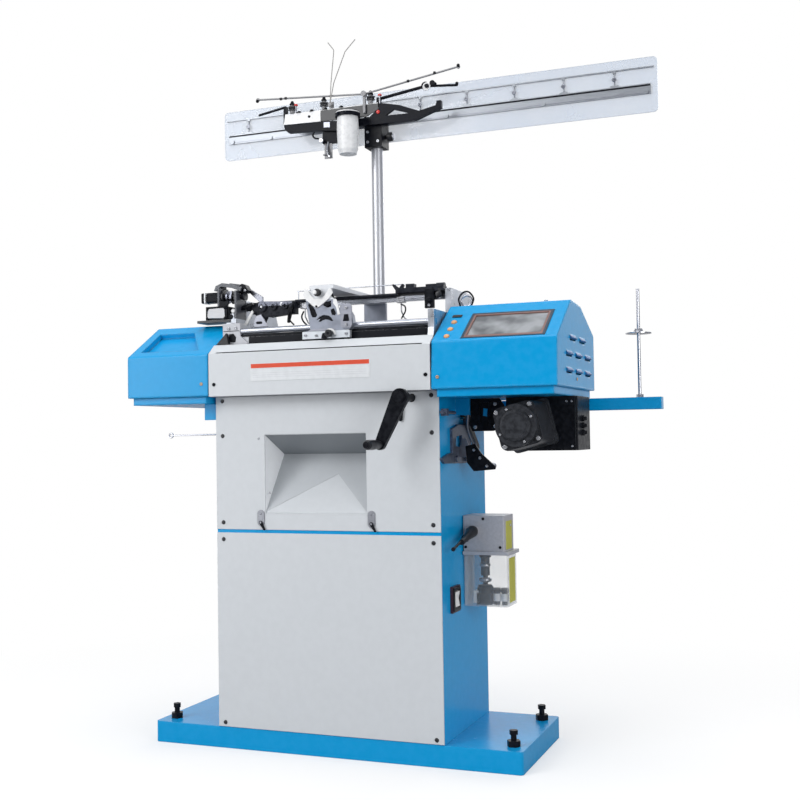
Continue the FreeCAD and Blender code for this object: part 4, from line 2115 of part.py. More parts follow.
def build_guide_plate(s):
    """The clear plate behind the mast with its rail, its yarn guides and its bolts."""
    y = s.mast_y + s.mast_radius + s.plate_stand_off
    left = s.guide_centre - s.guide_width / 2
    right = left + s.guide_width
    low = s.guide_low
    thick = s.guide_rail_thick
    node("guide_plate", extruded("clear_plate", "XZ", rectangle(left, low, right, low + s.guide_height),
                                 s.guide_thick, (0, y, 0), corner=s.guide_corner))
    rail_low = low + s.guide_rail_rise
    rail_top = rail_low + s.guide_rail_tall
    inset = s.guide_rail_inset
    node("guide_rail", box("guide_bar", (s.guide_width - inset * 2, thick, s.guide_rail_tall),
                           (left + inset, y - thick, rail_low)))
    lip_z = low + s.guide_height - s.guide_lip_drop
    node(
        "guide_rail",
        box("guide_lip", (s.guide_width - inset, thick, 4), (left + inset / 2, y - thick, lip_z)),
    )
    stem_y = y - thick / 2
    for i in range(int(float(s.guide_count))):
        x = right - s.guide_first - s.guide_pitch * i
        node("guide_rail", fuse("yarn_guide", [
            box("guide_foot", (26, thick, 5), (x - 13, y - thick, rail_top)),
            cylinder("guide_stem", thick * 0.4, lip_z - rail_top, (x, stem_y, rail_top)),
            box("guide_eye", (10, thick, 6), (x - 5, y - thick, lip_z - 6)),
        ]))
    bolt_z = rail_low + s.guide_rail_tall * 0.2
    places = [right - s.guide_bolt_first - s.guide_bolt_pitch * i for i in range(5)]
    for x in (*places, left + s.guide_bolt_first):
        node("guide_rail", cylinder("guide_bolt", 7, 4, (x, y - thick - 4, bolt_z), "Y"))


def build_spindle(s):
    """The bobbin arm at the back with one yarn spindle and its disc."""
    y = s.column_back
    low = s.arm_low
    left = s.arm_left
    long = s.arm_right - left
    wall = s.arm_wall
    channel = box("arm_channel", (long, s.arm_deep, s.arm_tall), (left, y, low))
    room = box(
        "arm_room", (long - wall * 2, s.arm_deep - wall * 2, s.arm_tall), (left + wall, y + wall, low - wall)
    )
    x = s.arm_right - s.spindle_in
    mid = y + s.arm_deep / 2
    hole = cylinder("arm_hole", s.spindle + s.seat_gap, s.arm_tall * 2, (x, mid, low))
    node("bobbin_arm", cut("bobbin_arm_solid", channel, [room, hole]))
    top = low + s.arm_tall
    disc_z = top + s.disc_rise
    node("yarn_rods", fuse("spindle_rod", [
        cylinder("spindle_bar", s.spindle, s.spindle_long + wall + 14, (x, mid, top - wall - 14)),
        prism("spindle_nut", 6, 11, 9, (x, mid, top)),
        prism("spindle_nut", 6, 11, 9, (x, mid, top - wall - 9)),
        turned("bobbin_disc", [
            (s.spindle - 1, 0), (s.disc, 0), (s.disc, s.disc_thick), (s.disc * 0.4, s.disc_thick + 3),
            (s.disc * 0.3, s.disc_thick + 12), (s.spindle - 1, s.disc_thick + 12),
        ], (x, mid, disc_z)),
    ]))


def export(folder):
    """Check every object of the document and write one file for each node."""
    finished = []
    for name, pieces in NODES.items():
        for number, piece in enumerate(pieces, start=1):
            piece.Label = f"{name}_piece_{number}"
        piece = pieces[0] if len(pieces) == 1 else group("node", pieces)
        piece.Label = name
        finished.append(piece)
    DOC.recompute()
    for piece in DOC.Objects:
        if "Invalid" in piece.State or "Error" in piece.State:
            raise ValueError(f"{piece.Name} failed: {piece.State}")
    os.makedirs(folder, exist_ok=True)
    for piece in finished:
        shape = piece.Shape
        if shape.isNull() or not shape.isValid() or shape.Volume <= 0:
            raise ValueError(f"{piece.Label} has no sound shape")
    for piece in finished:
        piece.Shape.exportStep(f"{folder}/{piece.Label}.step")
    solids = sum(len(piece.Shape.Solids) for piece in finished)
    print(f"{len(finished)} nodes, {solids} solids")


def main():
    sizes = Sizes(DOC, SIZES)
    add_places(sizes)
    build_base(sizes)
    build_column(sizes)
    build_chute(sizes)
    build_head(sizes)
    build_beds(sizes)
    build_carriage(sizes)
    build_feeders(sizes)
    build_left_drive(sizes)
    build_covers(sizes)
    build_control_box(sizes)
    build_drive(sizes)
    build_side_fittings(sizes)
    build_lubricator(sizes)
    build_mast(sizes)
    build_tensioner(sizes)
    build_guide_plate(sizes)
    build_spindle(sizes)
    export("parts")


main()
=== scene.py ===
"""Looks of a free-standing glove knitting machine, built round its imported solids."""
import json
import logging
import math
from dataclasses import dataclass, field, replace
from enum import Enum

import bmesh
import bpy
from mathutils import Matrix, Vector


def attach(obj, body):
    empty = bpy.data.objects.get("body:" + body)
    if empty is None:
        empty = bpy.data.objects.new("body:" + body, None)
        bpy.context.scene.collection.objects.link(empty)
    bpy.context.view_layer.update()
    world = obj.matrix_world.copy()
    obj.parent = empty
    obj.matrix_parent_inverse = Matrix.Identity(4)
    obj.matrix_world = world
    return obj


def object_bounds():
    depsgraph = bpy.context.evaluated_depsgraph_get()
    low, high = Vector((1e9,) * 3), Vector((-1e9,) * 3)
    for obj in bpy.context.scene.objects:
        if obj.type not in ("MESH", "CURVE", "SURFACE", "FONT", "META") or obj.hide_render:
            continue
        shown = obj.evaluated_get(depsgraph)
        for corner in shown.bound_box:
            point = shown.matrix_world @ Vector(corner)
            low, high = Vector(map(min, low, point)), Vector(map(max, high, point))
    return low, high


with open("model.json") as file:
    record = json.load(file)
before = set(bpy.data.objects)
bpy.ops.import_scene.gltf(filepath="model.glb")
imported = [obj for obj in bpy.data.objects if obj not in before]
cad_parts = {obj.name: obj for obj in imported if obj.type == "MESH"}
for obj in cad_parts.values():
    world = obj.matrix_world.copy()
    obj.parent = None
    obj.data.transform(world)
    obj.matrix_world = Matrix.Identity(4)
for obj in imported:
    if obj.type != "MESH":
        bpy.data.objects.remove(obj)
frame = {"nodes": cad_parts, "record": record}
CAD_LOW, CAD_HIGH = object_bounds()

LOG = logging.getLogger("knitting_machine")
Point = tuple[float, float, float]
Colour = tuple[float, float, float]
Outline = list[tuple[float, float]]

MM = 0.001
WHITE: Colour = (1.0, 1.0, 1.0)
NEAR_BLACK: Colour = (0.008, 0.009, 0.013)
LINT: Colour = (0.72, 0.71, 0.69)
FIRST_COLUMN = -1500
COLUMN_STEP = 190


class Body(Enum):
    """The moving bodies that pieces ride on."""

    MACHINE = "machine"
    CARRIAGE = "carriage"
    UPPER_KNOB = "upper_knob"
    LOWER_KNOB = "lower_knob"
    PUMP_LEVER = "pump_lever"
    MAST_KNOB = "mast_knob"
    LEVER = "bank_lever"
    LEFT_FEEDER = "left_feeder"
    RIGHT_FEEDER = "right_feeder"


class Slot(Enum):
    """The material slots of the record."""

    BLUE = "blue_paint"
    GREY = "grey_paint"
    BLACK = "black_paint"
    MACHINE_GREY = "machine_grey"
    STEEL = "bright_steel"
    CHROME = "chrome_steel"
    CAST = "cast_aluminium"
    PLATE = "bare_plate"
    ZINC = "zinc_steel"
    BLACK_PLASTIC = "black_plastic"
    WHITE_PLASTIC = "white_plastic"
    SCREEN = "screen_glass"
    ACRYLIC = "clear_acrylic"
    TANK = "clear_tank"
    RUBBER = "belt_rubber"
    GREEN = "green_button"
    RED = "red_button"
    YELLOW = "yellow_button"


class Axis(Enum):
    """The axis that a slab's thickness runs along, by its place in x, y, z."""

    X = 0
    Y = 1


# ---------------------------------------------------------------------------------------------
# Shader building
# ---------------------------------------------------------------------------------------------


class Graph:
    """A short hand for placing and wiring the nodes of one tree."""

    def __init__(self, tree: bpy.types.NodeTree) -> None:
        """Start on a tree.

        Args:
            tree: The node tree of a material or of a group.
        """
        self.tree = tree
        self.column = 0

    @classmethod
    def start(cls, owner: bpy.types.Material | bpy.types.World) -> "Graph":
        """Start on the emptied tree of a material or of the world.

        Args:
            owner: What the tree belongs to.

        Returns:
            The tree's short hand.
        """
        owner.use_nodes = True
        owner.node_tree.nodes.clear()
        return cls(owner.node_tree)

    def _lay(self, kind: str, row: int) -> bpy.types.Node:
        """Lay out a new node in the next column.

        Args:
            kind: Blender's node type.
            row: The height of the node's row in the layout.

        Returns:
            The new node.
        """
        node = self.tree.nodes.new(kind)
        node.location = (self.column * COLUMN_STEP + FIRST_COLUMN, row)
        self.column += 1
        return node

    def add(self, kind: str, **values: object) -> bpy.types.Node:
        """Add a node and set its properties and inputs.

        Args:
            kind: Blender's node type.
            values: Properties by name; inputs by name with blanks written as underscores.

        Returns:
            The new node.
        """
        node = self._lay(kind, 0)
        for name, value in values.items():
            if hasattr(node, name):
                setattr(node, name, value)
            else:
                self.put(node, name.replace("_", " "), value)
        return node

    def put(self, node: bpy.types.Node, name: str, value: object) -> None:
        """Set or wire one input.

        Args:
            node: The node whose input is set.
            name: The input's name, or its number as text.
            value: A socket to wire, or a value to set.
        """
        if name.isdigit():
            target = node.inputs[int(name)]
        else:
            found = [s for s in node.inputs if s.name.lower() == name.lower() and s.enabled]
            target = found[0]
        if isinstance(value, bpy.types.NodeSocket):
            self.tree.links.new(value, target)
        elif target.type == "RGBA" and len(value) == 3:
            target.default_value = (*value, 1.0)
        else:
            target.default_value = value

    def math(self, operation: str, first: object, second: object = 0.0) -> bpy.types.NodeSocket:
        """Add one arithmetic step.

        Args:
            operation: Blender's name of the step.
            first: A socket or a number.
            second: A socket or a number.

        Returns:
            The result's socket.
        """
        node = self._lay("ShaderNodeMath", -260)
        node.operation = operation
        self.put(node, "0", first)
        self.put(node, "1", second)
        return node.outputs[0]

    def blend(self, share: object, low: object, high: object) -> bpy.types.NodeSocket:
        """Mix two colours.

        Args:
            share: A socket or a number, from 0 for the low colour to 1 for the high one.
            low: A socket or a colour.
            high: A socket or a colour.

        Returns:
            The mixed colour's socket.
        """
        node = self._lay("ShaderNodeMix", 260)
        node.data_type = "RGBA"
        for number, value in (("0", share), ("6", low), ("7", high)):
            self.put(node, number, value)
        return node.outputs[2]

    def remap(
        self, value: bpy.types.NodeSocket, low: float, high: float, start: float = 0.0, end: float = 1.0,
    ) -> bpy.types.NodeSocket:
        """Map one range of a value on to another, with its ends held.

        Args:
            value: The socket that is read.
            low: The lowest value that is read.
            high: The highest value that is read.
            start: What the lowest value becomes.
            end: What the highest value becomes.

        Returns:
            The new value's socket.
        """
        node = self.add("ShaderNodeMapRange", clamp=True)
        for number, setting in enumerate((value, low, high, start, end)):
            self.put(node, str(number), setting)
        return node.outputs[0]

    def mix(self, share: bpy.types.NodeSocket, first: bpy.types.Node, second: bpy.types.Node) -> bpy.types.Node:
        """Mix two shaders.

        Args:
            share: The mask, from the first shader to the second.
            first: The shader where the mask is zero.
            second: The shader where it is one.

        Returns:
            The mixing node.
        """
        node = self.add("ShaderNodeMixShader")
        for name, value in (("0", share), ("1", first.outputs[0]), ("2", second.outputs[0])):
            self.put(node, name, value)
        return node

    def place(self) -> bpy.types.NodeSocket:
        """Object coordinates, which ride with the piece."""
        return self.add("ShaderNodeTexCoord").outputs["Object"]

    def group(self, tree: bpy.types.NodeTree, **values: object) -> bpy.types.Node:
        """Place a shared group.

        Args:
            tree: The group's tree.
            values: Its inputs by name, with blanks written as underscores.

        Returns:
            The group's node.
        """
        node = self._lay("ShaderNodeGroup", 520)
        node.node_tree = tree
        for name, value in values.items():
            self.put(node, name.replace("_", " "), value)
        return node


class Effects:
    """The shader groups that several finishes share."""

    def __init__(self) -> None:
        """Build each group once."""
        # The edge mask is partly wear, partly painted highlight along rounded edges.
        self.peel = self._peel()
        self.wear = self._wear()
        self.dust = self._dust()
        self.brush = self._brush()
        self.cast = self._cast()
        self.zone = self._zone()

    @staticmethod
    def _open(
        name: str, inputs: dict[str, float | None], outputs: dict[str, str],
    ) -> tuple[Graph, bpy.types.Node, bpy.types.Node]:
        """Start a group with its named sockets.

        Args:
            name: The group's name.
            inputs: Each input's name and default; None is a vector that is always wired.
            outputs: Each output's name and kind.

        Returns:
            The group's graph, and its input and output nodes.
        """
        tree = bpy.data.node_groups.new(name, "ShaderNodeTree")
        for label, value in inputs.items():
            kind = "NodeSocketVector" if value is None else "NodeSocketFloat"
            socket = tree.interface.new_socket(label, in_out="INPUT", socket_type=kind)
            if value is not None:
                socket.default_value = value
        for label, kind in outputs.items():
            tree.interface.new_socket(label, in_out="OUTPUT", socket_type=kind)
        graph = Graph(tree)
        return graph, graph.add("NodeGroupInput"), graph.add("NodeGroupOutput")

    @staticmethod
    def _noise(graph: Graph, place: bpy.types.NodeSocket, scale: object, detail: float) -> bpy.types.NodeSocket:
        """A noise value.

        Args:
            graph: The tree that is built.
            place: The coordinates.
            scale: A socket or a number.
            detail: Octaves.

        Returns:
            The noise's value.
        """
        node = graph.add("ShaderNodeTexNoise")
        graph.put(node, "Vector", place)
        graph.put(node, "Scale", scale)
        graph.put(node, "Detail", detail)
        return node.outputs["Fac"]

    def _peel(self) -> bpy.types.NodeTree:
        """Powder coat's flow: a long wave and a fine grain, as a height and a mask.

        Returns:
            The group's tree.
        """
        graph, entry, leave = self._open(
            "coat_flow", {"Place": None, "Wave Scale": 60.0, "Grain Scale": 900.0, "Grain": 0.35},
            {"Height": "NodeSocketFloat", "Mask": "NodeSocketFloat"},
        )
        wave = self._noise(graph, entry.outputs["Place"], entry.outputs["Wave Scale"], 2.0)
        grain = self._noise(graph, entry.outputs["Place"], entry.outputs["Grain Scale"], 3.0)
        height = graph.math("ADD", wave, graph.math("MULTIPLY", grain, entry.outputs["Grain"]))
        graph.put(leave, "Height", height)
        graph.put(leave, "Mask", graph.remap(wave, 0.35, 0.65))
        return graph.tree

    def _wear(self) -> bpy.types.NodeTree:
        """Where an edge is worn and where it carries a painted highlight: the difference between a rounded normal and
        the true one.

        Returns:
            The group's tree.
        """
        graph, entry, leave = self._open(
            "edge_rub_and_sheen", {"Place": None, "Radius": 0.002, "Breakup": 240.0, "Amount": 1.0},
            {"Mask": "NodeSocketFloat", "Normal": "NodeSocketVector"},
        )
        soft = graph.add("ShaderNodeBevel", samples=4)
        graph.put(soft, "Radius", entry.outputs["Radius"])
        true = graph.add("ShaderNodeNewGeometry")
        dot = graph.add("ShaderNodeVectorMath", operation="DOT_PRODUCT")
        graph.put(dot, "0", soft.outputs["Normal"])
        graph.put(dot, "1", true.outputs["True Normal"])
        edge = graph.remap(dot.outputs["Value"], 0.80, 0.995, 1.0, 0.0)
        patch = self._noise(graph, entry.outputs["Place"], entry.outputs["Breakup"], 4.0)
        broken = graph.math("MULTIPLY", edge, graph.remap(patch, 0.42, 0.60))
        graph.put(leave, "Mask", graph.math("MULTIPLY", broken, entry.outputs["Amount"]))
        graph.put(leave, "Normal", soft.outputs["Normal"])
        return graph.tree

    def _dust(self) -> bpy.types.NodeTree:
        """Lint that settles on what faces up, as a mask.

        Returns:
            The group's tree.
        """
        graph, entry, leave = self._open(
            "settled_lint", {"Place": None, "Scale": 45.0, "Amount": 0.25}, {"Mask": "NodeSocketFloat"},
        )
        facing = graph.add("ShaderNodeNewGeometry")
        split = graph.add("ShaderNodeSeparateXYZ")
        graph.put(split, "Vector", facing.outputs["Normal"])
        up = graph.remap(split.outputs["Z"], 0.25, 1.0)
        cloud = self._noise(graph, entry.outputs["Place"], entry.outputs["Scale"], 5.0)
        soft = graph.math("MULTIPLY", up, graph.remap(cloud, 0.40, 0.72))
        graph.put(leave, "Mask", graph.math("MULTIPLY", soft, entry.outputs["Amount"]))
        return graph.tree

    def _brush(self) -> bpy.types.NodeTree:
        """Lines of grinding or drawing along one direction, as a height and a mask.

        Returns:
            The group's tree.
        """
        graph, entry, leave = self._open(
            "drawn_lines", {"Place": None, "Fine": 1.0, "Along": 6.0, "Across": 1400.0},
            {"Height": "NodeSocketFloat", "Mask": "NodeSocketFloat"},
        )
        stretch = graph.add("ShaderNodeCombineXYZ")
        graph.put(stretch, "X", entry.outputs["Along"])
        graph.put(stretch, "Y", entry.outputs["Across"])
        graph.put(stretch, "Z", entry.outputs["Across"])
        scaled = graph.add("ShaderNodeVectorMath", operation="MULTIPLY")
        graph.put(scaled, "0", entry.outputs["Place"])
        graph.put(scaled, "1", stretch.outputs[0])
        lines = self._noise(graph, scaled.outputs[0], entry.outputs["Fine"], 3.0)
        graph.put(leave, "Height", lines)
        graph.put(leave, "Mask", graph.remap(lines, 0.3, 0.7))
        return graph.tree

    def _cast(self) -> bpy.types.NodeTree:
        """A blasted casting's pitted skin, as a height and a mask.

        Returns:
            The group's tree.
        """
        graph, entry, leave = self._open(
            "cast_skin", {"Place": None, "Scale": 700.0}, {"Height": "NodeSocketFloat", "Mask": "NodeSocketFloat"},
        )
        pits = graph.add("ShaderNodeTexVoronoi", feature="SMOOTH_F1")
        graph.put(pits, "Vector", entry.outputs["Place"])
        graph.put(pits, "Scale", entry.outputs["Scale"])
        broad = self._noise(graph, entry.outputs["Place"], 35.0, 4.0)
        graph.put(leave, "Height", pits.outputs["Distance"])
        graph.put(leave, "Mask", graph.remap(broad, 0.35, 0.65))
        return graph.tree

    def _zone(self) -> bpy.types.NodeTree:
        """A mask that is one inside a box and zero outside it.

        Returns:
            The group's tree.
        """
        graph, entry, leave = self._open(
            "painted_zone", {"Place": None, "Middle": None, "Half": None}, {"Mask": "NodeSocketFloat"},
        )
        away = graph.add("ShaderNodeVectorMath", operation="SUBTRACT")
        graph.put(away, "0", entry.outputs["Place"])
        graph.put(away, "1", entry.outputs["Middle"])
        size = graph.add("ShaderNodeVectorMath", operation="ABSOLUTE")
        graph.put(size, "0", away.outputs[0])
        over = graph.add("ShaderNodeVectorMath", operation="SUBTRACT")
        graph.put(over, "0", size.outputs[0])
        graph.put(over, "1", entry.outputs["Half"])
        split = graph.add("ShaderNodeSeparateXYZ")
        graph.put(split, "Vector", over.outputs[0])
        most = graph.math("MAXIMUM", graph.math("MAXIMUM", split.outputs["X"], split.outputs["Y"]), split.outputs["Z"])
        graph.put(leave, "Mask", graph.math("LESS_THAN", most, 0.0))
        return graph.tree


@dataclass(frozen=True)
class Zone:
    """A box of the machine's frame, in metres, that is finished in another colour."""

    low: Point
    high: Point
    colour: Colour
    rough: float = 0.35
    metallic: float = 0.0

    def middle(self) -> Point:
        """The box's middle."""
        return tuple((a + b) / 2 for a, b in zip(self.low, self.high))

    def half(self) -> Point:
        """Half of the box's sides."""
        return tuple((b - a) / 2 for a, b in zip(self.low, self.high))


class Pattern(Enum):
    """How a finish's skin is made."""

    COATED = "coated"
    BRUSHED = "brushed"
    CAST = "cast"
    MOULDED = "moulded"


@dataclass(frozen=True)
class Finish:
    """One opaque finish, from its colour to the grain of its skin."""

    name: str
    colour: Colour
    rough: float
    metallic: float = 0.0
    pattern: Pattern = Pattern.COATED
    shift: float = 0.05
    rough_shift: float = 0.06
    relief: float = 0.02
    wave: float = 60.0
    grain: float = 900.0
    edge: float = 0.0020
    # The edge mark's amount and colour: partly wear, partly painted highlight along rounded edges.
    rub: float = 0.25
    rubbed: Colour = (0.55, 0.56, 0.57)
    lint: float = 0.12
    coat: float = 0.0
    specular: float = 0.5
    along: float = 6.0
    across: float = 1400.0
    coat_rough: float = 0.12
    bump: float = 0.35
    lint_rough: float = 0.5
    zone_shade: float = 0.93
    zones: tuple[Zone, ...] = ()

    def make(self, effects: Effects) -> bpy.types.Material:
        """Build the material.

        Args:
            effects: The shared groups.

        Returns:
            The finished material.
        """
        material = bpy.data.materials.new(self.name)
        graph = Graph.start(material)
        place = graph.place()
        if self.pattern is Pattern.BRUSHED:
            skin = graph.group(effects.brush, Place=place, Along=self.along, Across=self.across)
        elif self.pattern is Pattern.CAST:
            skin = graph.group(effects.cast, Place=place, Scale=self.grain)
        else:
            skin = graph.group(effects.peel, Place=place, Wave_Scale=self.wave, Grain_Scale=self.grain)
        mask = skin.outputs["Mask"]
        dark = tuple(max(c * (1 - self.shift), 0.0) for c in self.colour)
        light = tuple(min(c * (1 + self.shift) + 0.004, 1.0) for c in self.colour)
        colour = graph.blend(mask, dark, light)
        rough = graph.remap(mask, 0.0, 1.0, self.rough - self.rough_shift, self.rough + self.rough_shift)
        metallic = None
        for zone in self.zones:
            box = graph.group(effects.zone, Place=place, Middle=zone.middle(), Half=zone.half())
            inside = box.outputs["Mask"]
            faint = tuple(c * self.zone_shade for c in zone.colour)
            colour = graph.blend(inside, colour, graph.blend(mask, faint, zone.colour))
            rough = self._swap(graph, inside, rough, zone.rough)
            before = self.metallic if metallic is None else metallic
            metallic = self._swap(graph, inside, before, zone.metallic)
        # Edge colour: partly wear, partly painted highlight along rounded edges.
        edge = graph.group(effects.wear, Place=place, Radius=self.edge, Amount=self.rub)
        colour = graph.blend(edge.outputs["Mask"], colour, self.rubbed)
        lint = graph.group(effects.dust, Place=place, Amount=self.lint)
        colour = graph.blend(lint.outputs["Mask"], colour, LINT)
        bump = graph.add("ShaderNodeBump", Strength=self.bump, Distance=self.relief * MM)
        graph.put(bump, "Height", skin.outputs["Height"])
        graph.put(bump, "Normal", edge.outputs["Normal"])
        rough = graph.math("ADD", rough, graph.math("MULTIPLY", lint.outputs["Mask"], self.lint_rough))
        shader = graph.add("ShaderNodeBsdfPrincipled")
        graph.put(shader, "Base Color", colour)
        graph.put(shader, "Roughness", rough)
        shader.inputs["Metallic"].default_value = self.metallic
        if metallic is not None and any(zone.metallic != self.metallic for zone in self.zones):
            graph.put(shader, "Metallic", metallic)
        shader.inputs["Specular IOR Level"].default_value = self.specular
        shader.inputs["Coat Weight"].default_value = self.coat
        shader.inputs["Coat Roughness"].default_value = self.coat_rough
        graph.put(shader, "Normal", bump.outputs["Normal"])
        leave = graph.add("ShaderNodeOutputMaterial")
        graph.put(leave, "Surface", shader.outputs[0])
        material.diffuse_color = (*self.colour, 1.0)
        return material

    @staticmethod
    def _swap(graph: Graph, share: bpy.types.NodeSocket, low: object, high: object) -> bpy.types.NodeSocket:
        """Blend two numbers by a mask.

        Args:
            graph: The tree that is built.
            share: The mask.
            low: A socket or number where the mask is zero.
            high: A socket or number where it is one.

        Returns:
            The blended number's socket.
        """
        kept = graph.math("MULTIPLY", low, graph.math("SUBTRACT", 1.0, share))
        return graph.math("ADD", kept, graph.math("MULTIPLY", high, share))


@dataclass(frozen=True)
class ClearSheet:
    """A clear moulding or sheet with a tint and faint scuffs."""

    name: str
    tint: Colour
    alpha: float
    rough: float = 0.08
    scuff: float = 0.10

    def make(self, effects: Effects) -> bpy.types.Material:
        """Build the material.

        Args:
            effects: The shared groups.

        Returns:
            The finished material.
        """
        material = bpy.data.materials.new(self.name)
        graph = Graph.start(material)
        place = graph.place()
        flow = graph.group(effects.peel, Place=place, Wave_Scale=9.0, Grain_Scale=420.0)
        rim = graph.add("ShaderNodeLayerWeight", Blend=0.35)
        tint = graph.blend(flow.outputs["Mask"], self.tint, tuple(min(1.0, c * 1.06) for c in self.tint))
        thick = graph.math("MULTIPLY", rim.outputs["Facing"], 0.45)
        flat = graph.remap(flow.outputs["Mask"], 0.0, 1.0, self.alpha - 0.02, self.alpha + 0.03)
        alpha = graph.math("ADD", flat, thick)
        shader = graph.add("ShaderNodeBsdfPrincipled")
        graph.put(shader, "Base Color", tint)
        worn = self.rough + self.scuff
        graph.put(shader, "Roughness", graph.remap(flow.outputs["Mask"], 0.0, 1.0, self.rough, worn))
        graph.put(shader, "Alpha", alpha)
        leave = graph.add("ShaderNodeOutputMaterial")
        graph.put(leave, "Surface", shader.outputs[0])
        return material


FINISHES: dict[Slot, Finish] = {
    # The blue's lighter blue edge colour is mostly painted highlight along rounded folds, with little wear.
    Slot.BLUE: Finish(
        "blue_powder_coat", (0.0, 0.290, 0.610), 0.24, shift=0.012, rough_shift=0.03, relief=0.03, wave=55.0,
        grain=800.0, edge=0.0035, rub=0.06, rubbed=(0.25, 0.58, 0.88), lint=0.01, specular=0.25,
    ),
    Slot.GREY: Finish(
        "pale_grey_coat", (0.55, 0.575, 0.60), 0.40, shift=0.008, rough_shift=0.03, relief=0.03, wave=50.0,
        grain=900.0, edge=0.002, rub=0.20, rubbed=(0.80, 0.80, 0.80), lint=0.02, specular=0.4,
    ),
    Slot.BLACK: Finish(
        "satin_black_coat", (0.005, 0.006, 0.009), 0.34, shift=0.25, relief=0.04, wave=90.0, grain=1100.0,
        edge=0.0018, rub=0.12, rubbed=(0.10, 0.11, 0.13), lint=0.002, specular=0.09,
    ),
    Slot.MACHINE_GREY: Finish(
        "machine_grey_coat", (0.38, 0.385, 0.42), 0.40, shift=0.06, relief=0.06, wave=120.0, grain=700.0,
        edge=0.0018, rub=0.25, rubbed=(0.55, 0.56, 0.60), lint=0.08,
    ),
    Slot.STEEL: Finish(
        "ground_steel", (0.50, 0.51, 0.55), 0.22, metallic=1.0, pattern=Pattern.BRUSHED, shift=0.14,
        rough_shift=0.08, relief=0.02, edge=0.0008, rub=0.2, rubbed=(0.75, 0.76, 0.78), lint=0.04,
    ),
    Slot.CHROME: Finish(
        "polished_chrome", (0.70, 0.71, 0.74), 0.12, metallic=1.0, pattern=Pattern.BRUSHED, shift=0.08,
        rough_shift=0.05, relief=0.008, edge=0.0006, rub=0.1, rubbed=(0.85, 0.85, 0.86), lint=0.02, across=900.0,
    ),
    Slot.CAST: Finish(
        "blasted_aluminium", (0.42, 0.43, 0.47), 0.34, metallic=0.9, pattern=Pattern.CAST, shift=0.10,
        rough_shift=0.08, relief=0.05, grain=650.0, edge=0.0016, rub=0.5, rubbed=(0.82, 0.83, 0.84), lint=0.05,
    ),
    Slot.ZINC: Finish(
        "zinc_plated_steel", (0.42, 0.43, 0.46), 0.28, metallic=0.95, pattern=Pattern.BRUSHED, shift=0.12,
        rough_shift=0.08, relief=0.02, edge=0.0008, rub=0.3, rubbed=(0.72, 0.73, 0.74), lint=0.05, along=40.0,
    ),
    Slot.BLACK_PLASTIC: Finish(
        "black_moulding", (0.009, 0.010, 0.013), 0.38, pattern=Pattern.MOULDED, shift=0.2, relief=0.04, wave=140.0,
        grain=1500.0, edge=0.0012, rub=0.08, rubbed=(0.07, 0.07, 0.08), lint=0.015, specular=0.35,
    ),
    Slot.WHITE_PLASTIC: Finish(
        "white_moulding", (0.74, 0.745, 0.75), 0.36, pattern=Pattern.MOULDED, shift=0.03, relief=0.03, wave=80.0,
        grain=1200.0, edge=0.0012, rub=0.1, rubbed=(0.86, 0.86, 0.86), lint=0.04,
    ),
    Slot.RUBBER: Finish(
        "belt_compound", (0.014, 0.014, 0.014), 0.70, pattern=Pattern.MOULDED, shift=0.3, relief=0.10, wave=200.0,
        grain=1600.0, edge=0.0006, rub=0.3, rubbed=(0.08, 0.08, 0.08), lint=0.15,
    ),
    Slot.GREEN: Finish("green_key", (0.03, 0.36, 0.12), 0.28, pattern=Pattern.MOULDED, relief=0.02, edge=0.0008),
    Slot.RED: Finish("red_key", (0.58, 0.03, 0.025), 0.28, pattern=Pattern.MOULDED, relief=0.02, edge=0.0008),
    Slot.YELLOW: Finish("amber_key", (0.76, 0.40, 0.04), 0.28, pattern=Pattern.MOULDED, relief=0.02, edge=0.0008),
    Slot.PLATE: Finish(
        "plate_face", (0.72, 0.71, 0.68), 0.35, metallic=0.1, shift=0.03, relief=0.01, edge=0.0006, rub=0.2, lint=0.02,
    ),
    Slot.SCREEN: Finish(
        "screen_face", (0.045, 0.06, 0.065), 0.10, shift=0.2, relief=0.004, edge=0.0006, lint=0.02, coat=1.0,
    ),
}

CLEARS: dict[Slot, ClearSheet] = {
    Slot.ACRYLIC: ClearSheet("clear_sheet", (0.44, 0.52, 0.64), 0.34, rough=0.14, scuff=0.02),
    Slot.TANK: ClearSheet("clear_tank", (0.66, 0.69, 0.72), 0.10, rough=0.12, scuff=0.16),
}

AMBER = replace(FINISHES[Slot.YELLOW], colour=(0.66, 0.33, 0.13), rough=0.36)
MOTOR_GREY: Colour = (0.026, 0.028, 0.033)

SPECIAL: dict[str, Finish] = {finish.name: finish for finish in (
    replace(FINISHES[Slot.ZINC], name="satin_plate", colour=(0.46, 0.46, 0.47), metallic=0.3, rough=0.48),
    replace(FINISHES[Slot.BLACK], name="cover_grey", colour=MOTOR_GREY),
    replace(FINISHES[Slot.ZINC], name="dark_iron", colour=(0.085, 0.09, 0.10), metallic=0.4, rough=0.42),
    replace(FINISHES[Slot.ZINC], name="bronze_screw", colour=(0.50, 0.33, 0.20), metallic=0.7, rough=0.35),
    # Painted light and shade for the glove chute: a pale cheek, a shaded ramp and a dark roof.
    replace(FINISHES[Slot.GREY], name="chute_painted_light", colour=(0.86, 0.88, 0.90)),
    replace(FINISHES[Slot.GREY], name="chute_painted_shade", colour=(0.46, 0.485, 0.51)),
    replace(FINISHES[Slot.GREY], name="chute_painted_dark_shade", colour=(0.215, 0.235, 0.255)),
    replace(FINISHES[Slot.ZINC], name="dull_steel", colour=(0.26, 0.27, 0.31), rough=0.36, lint=0.03),
)}


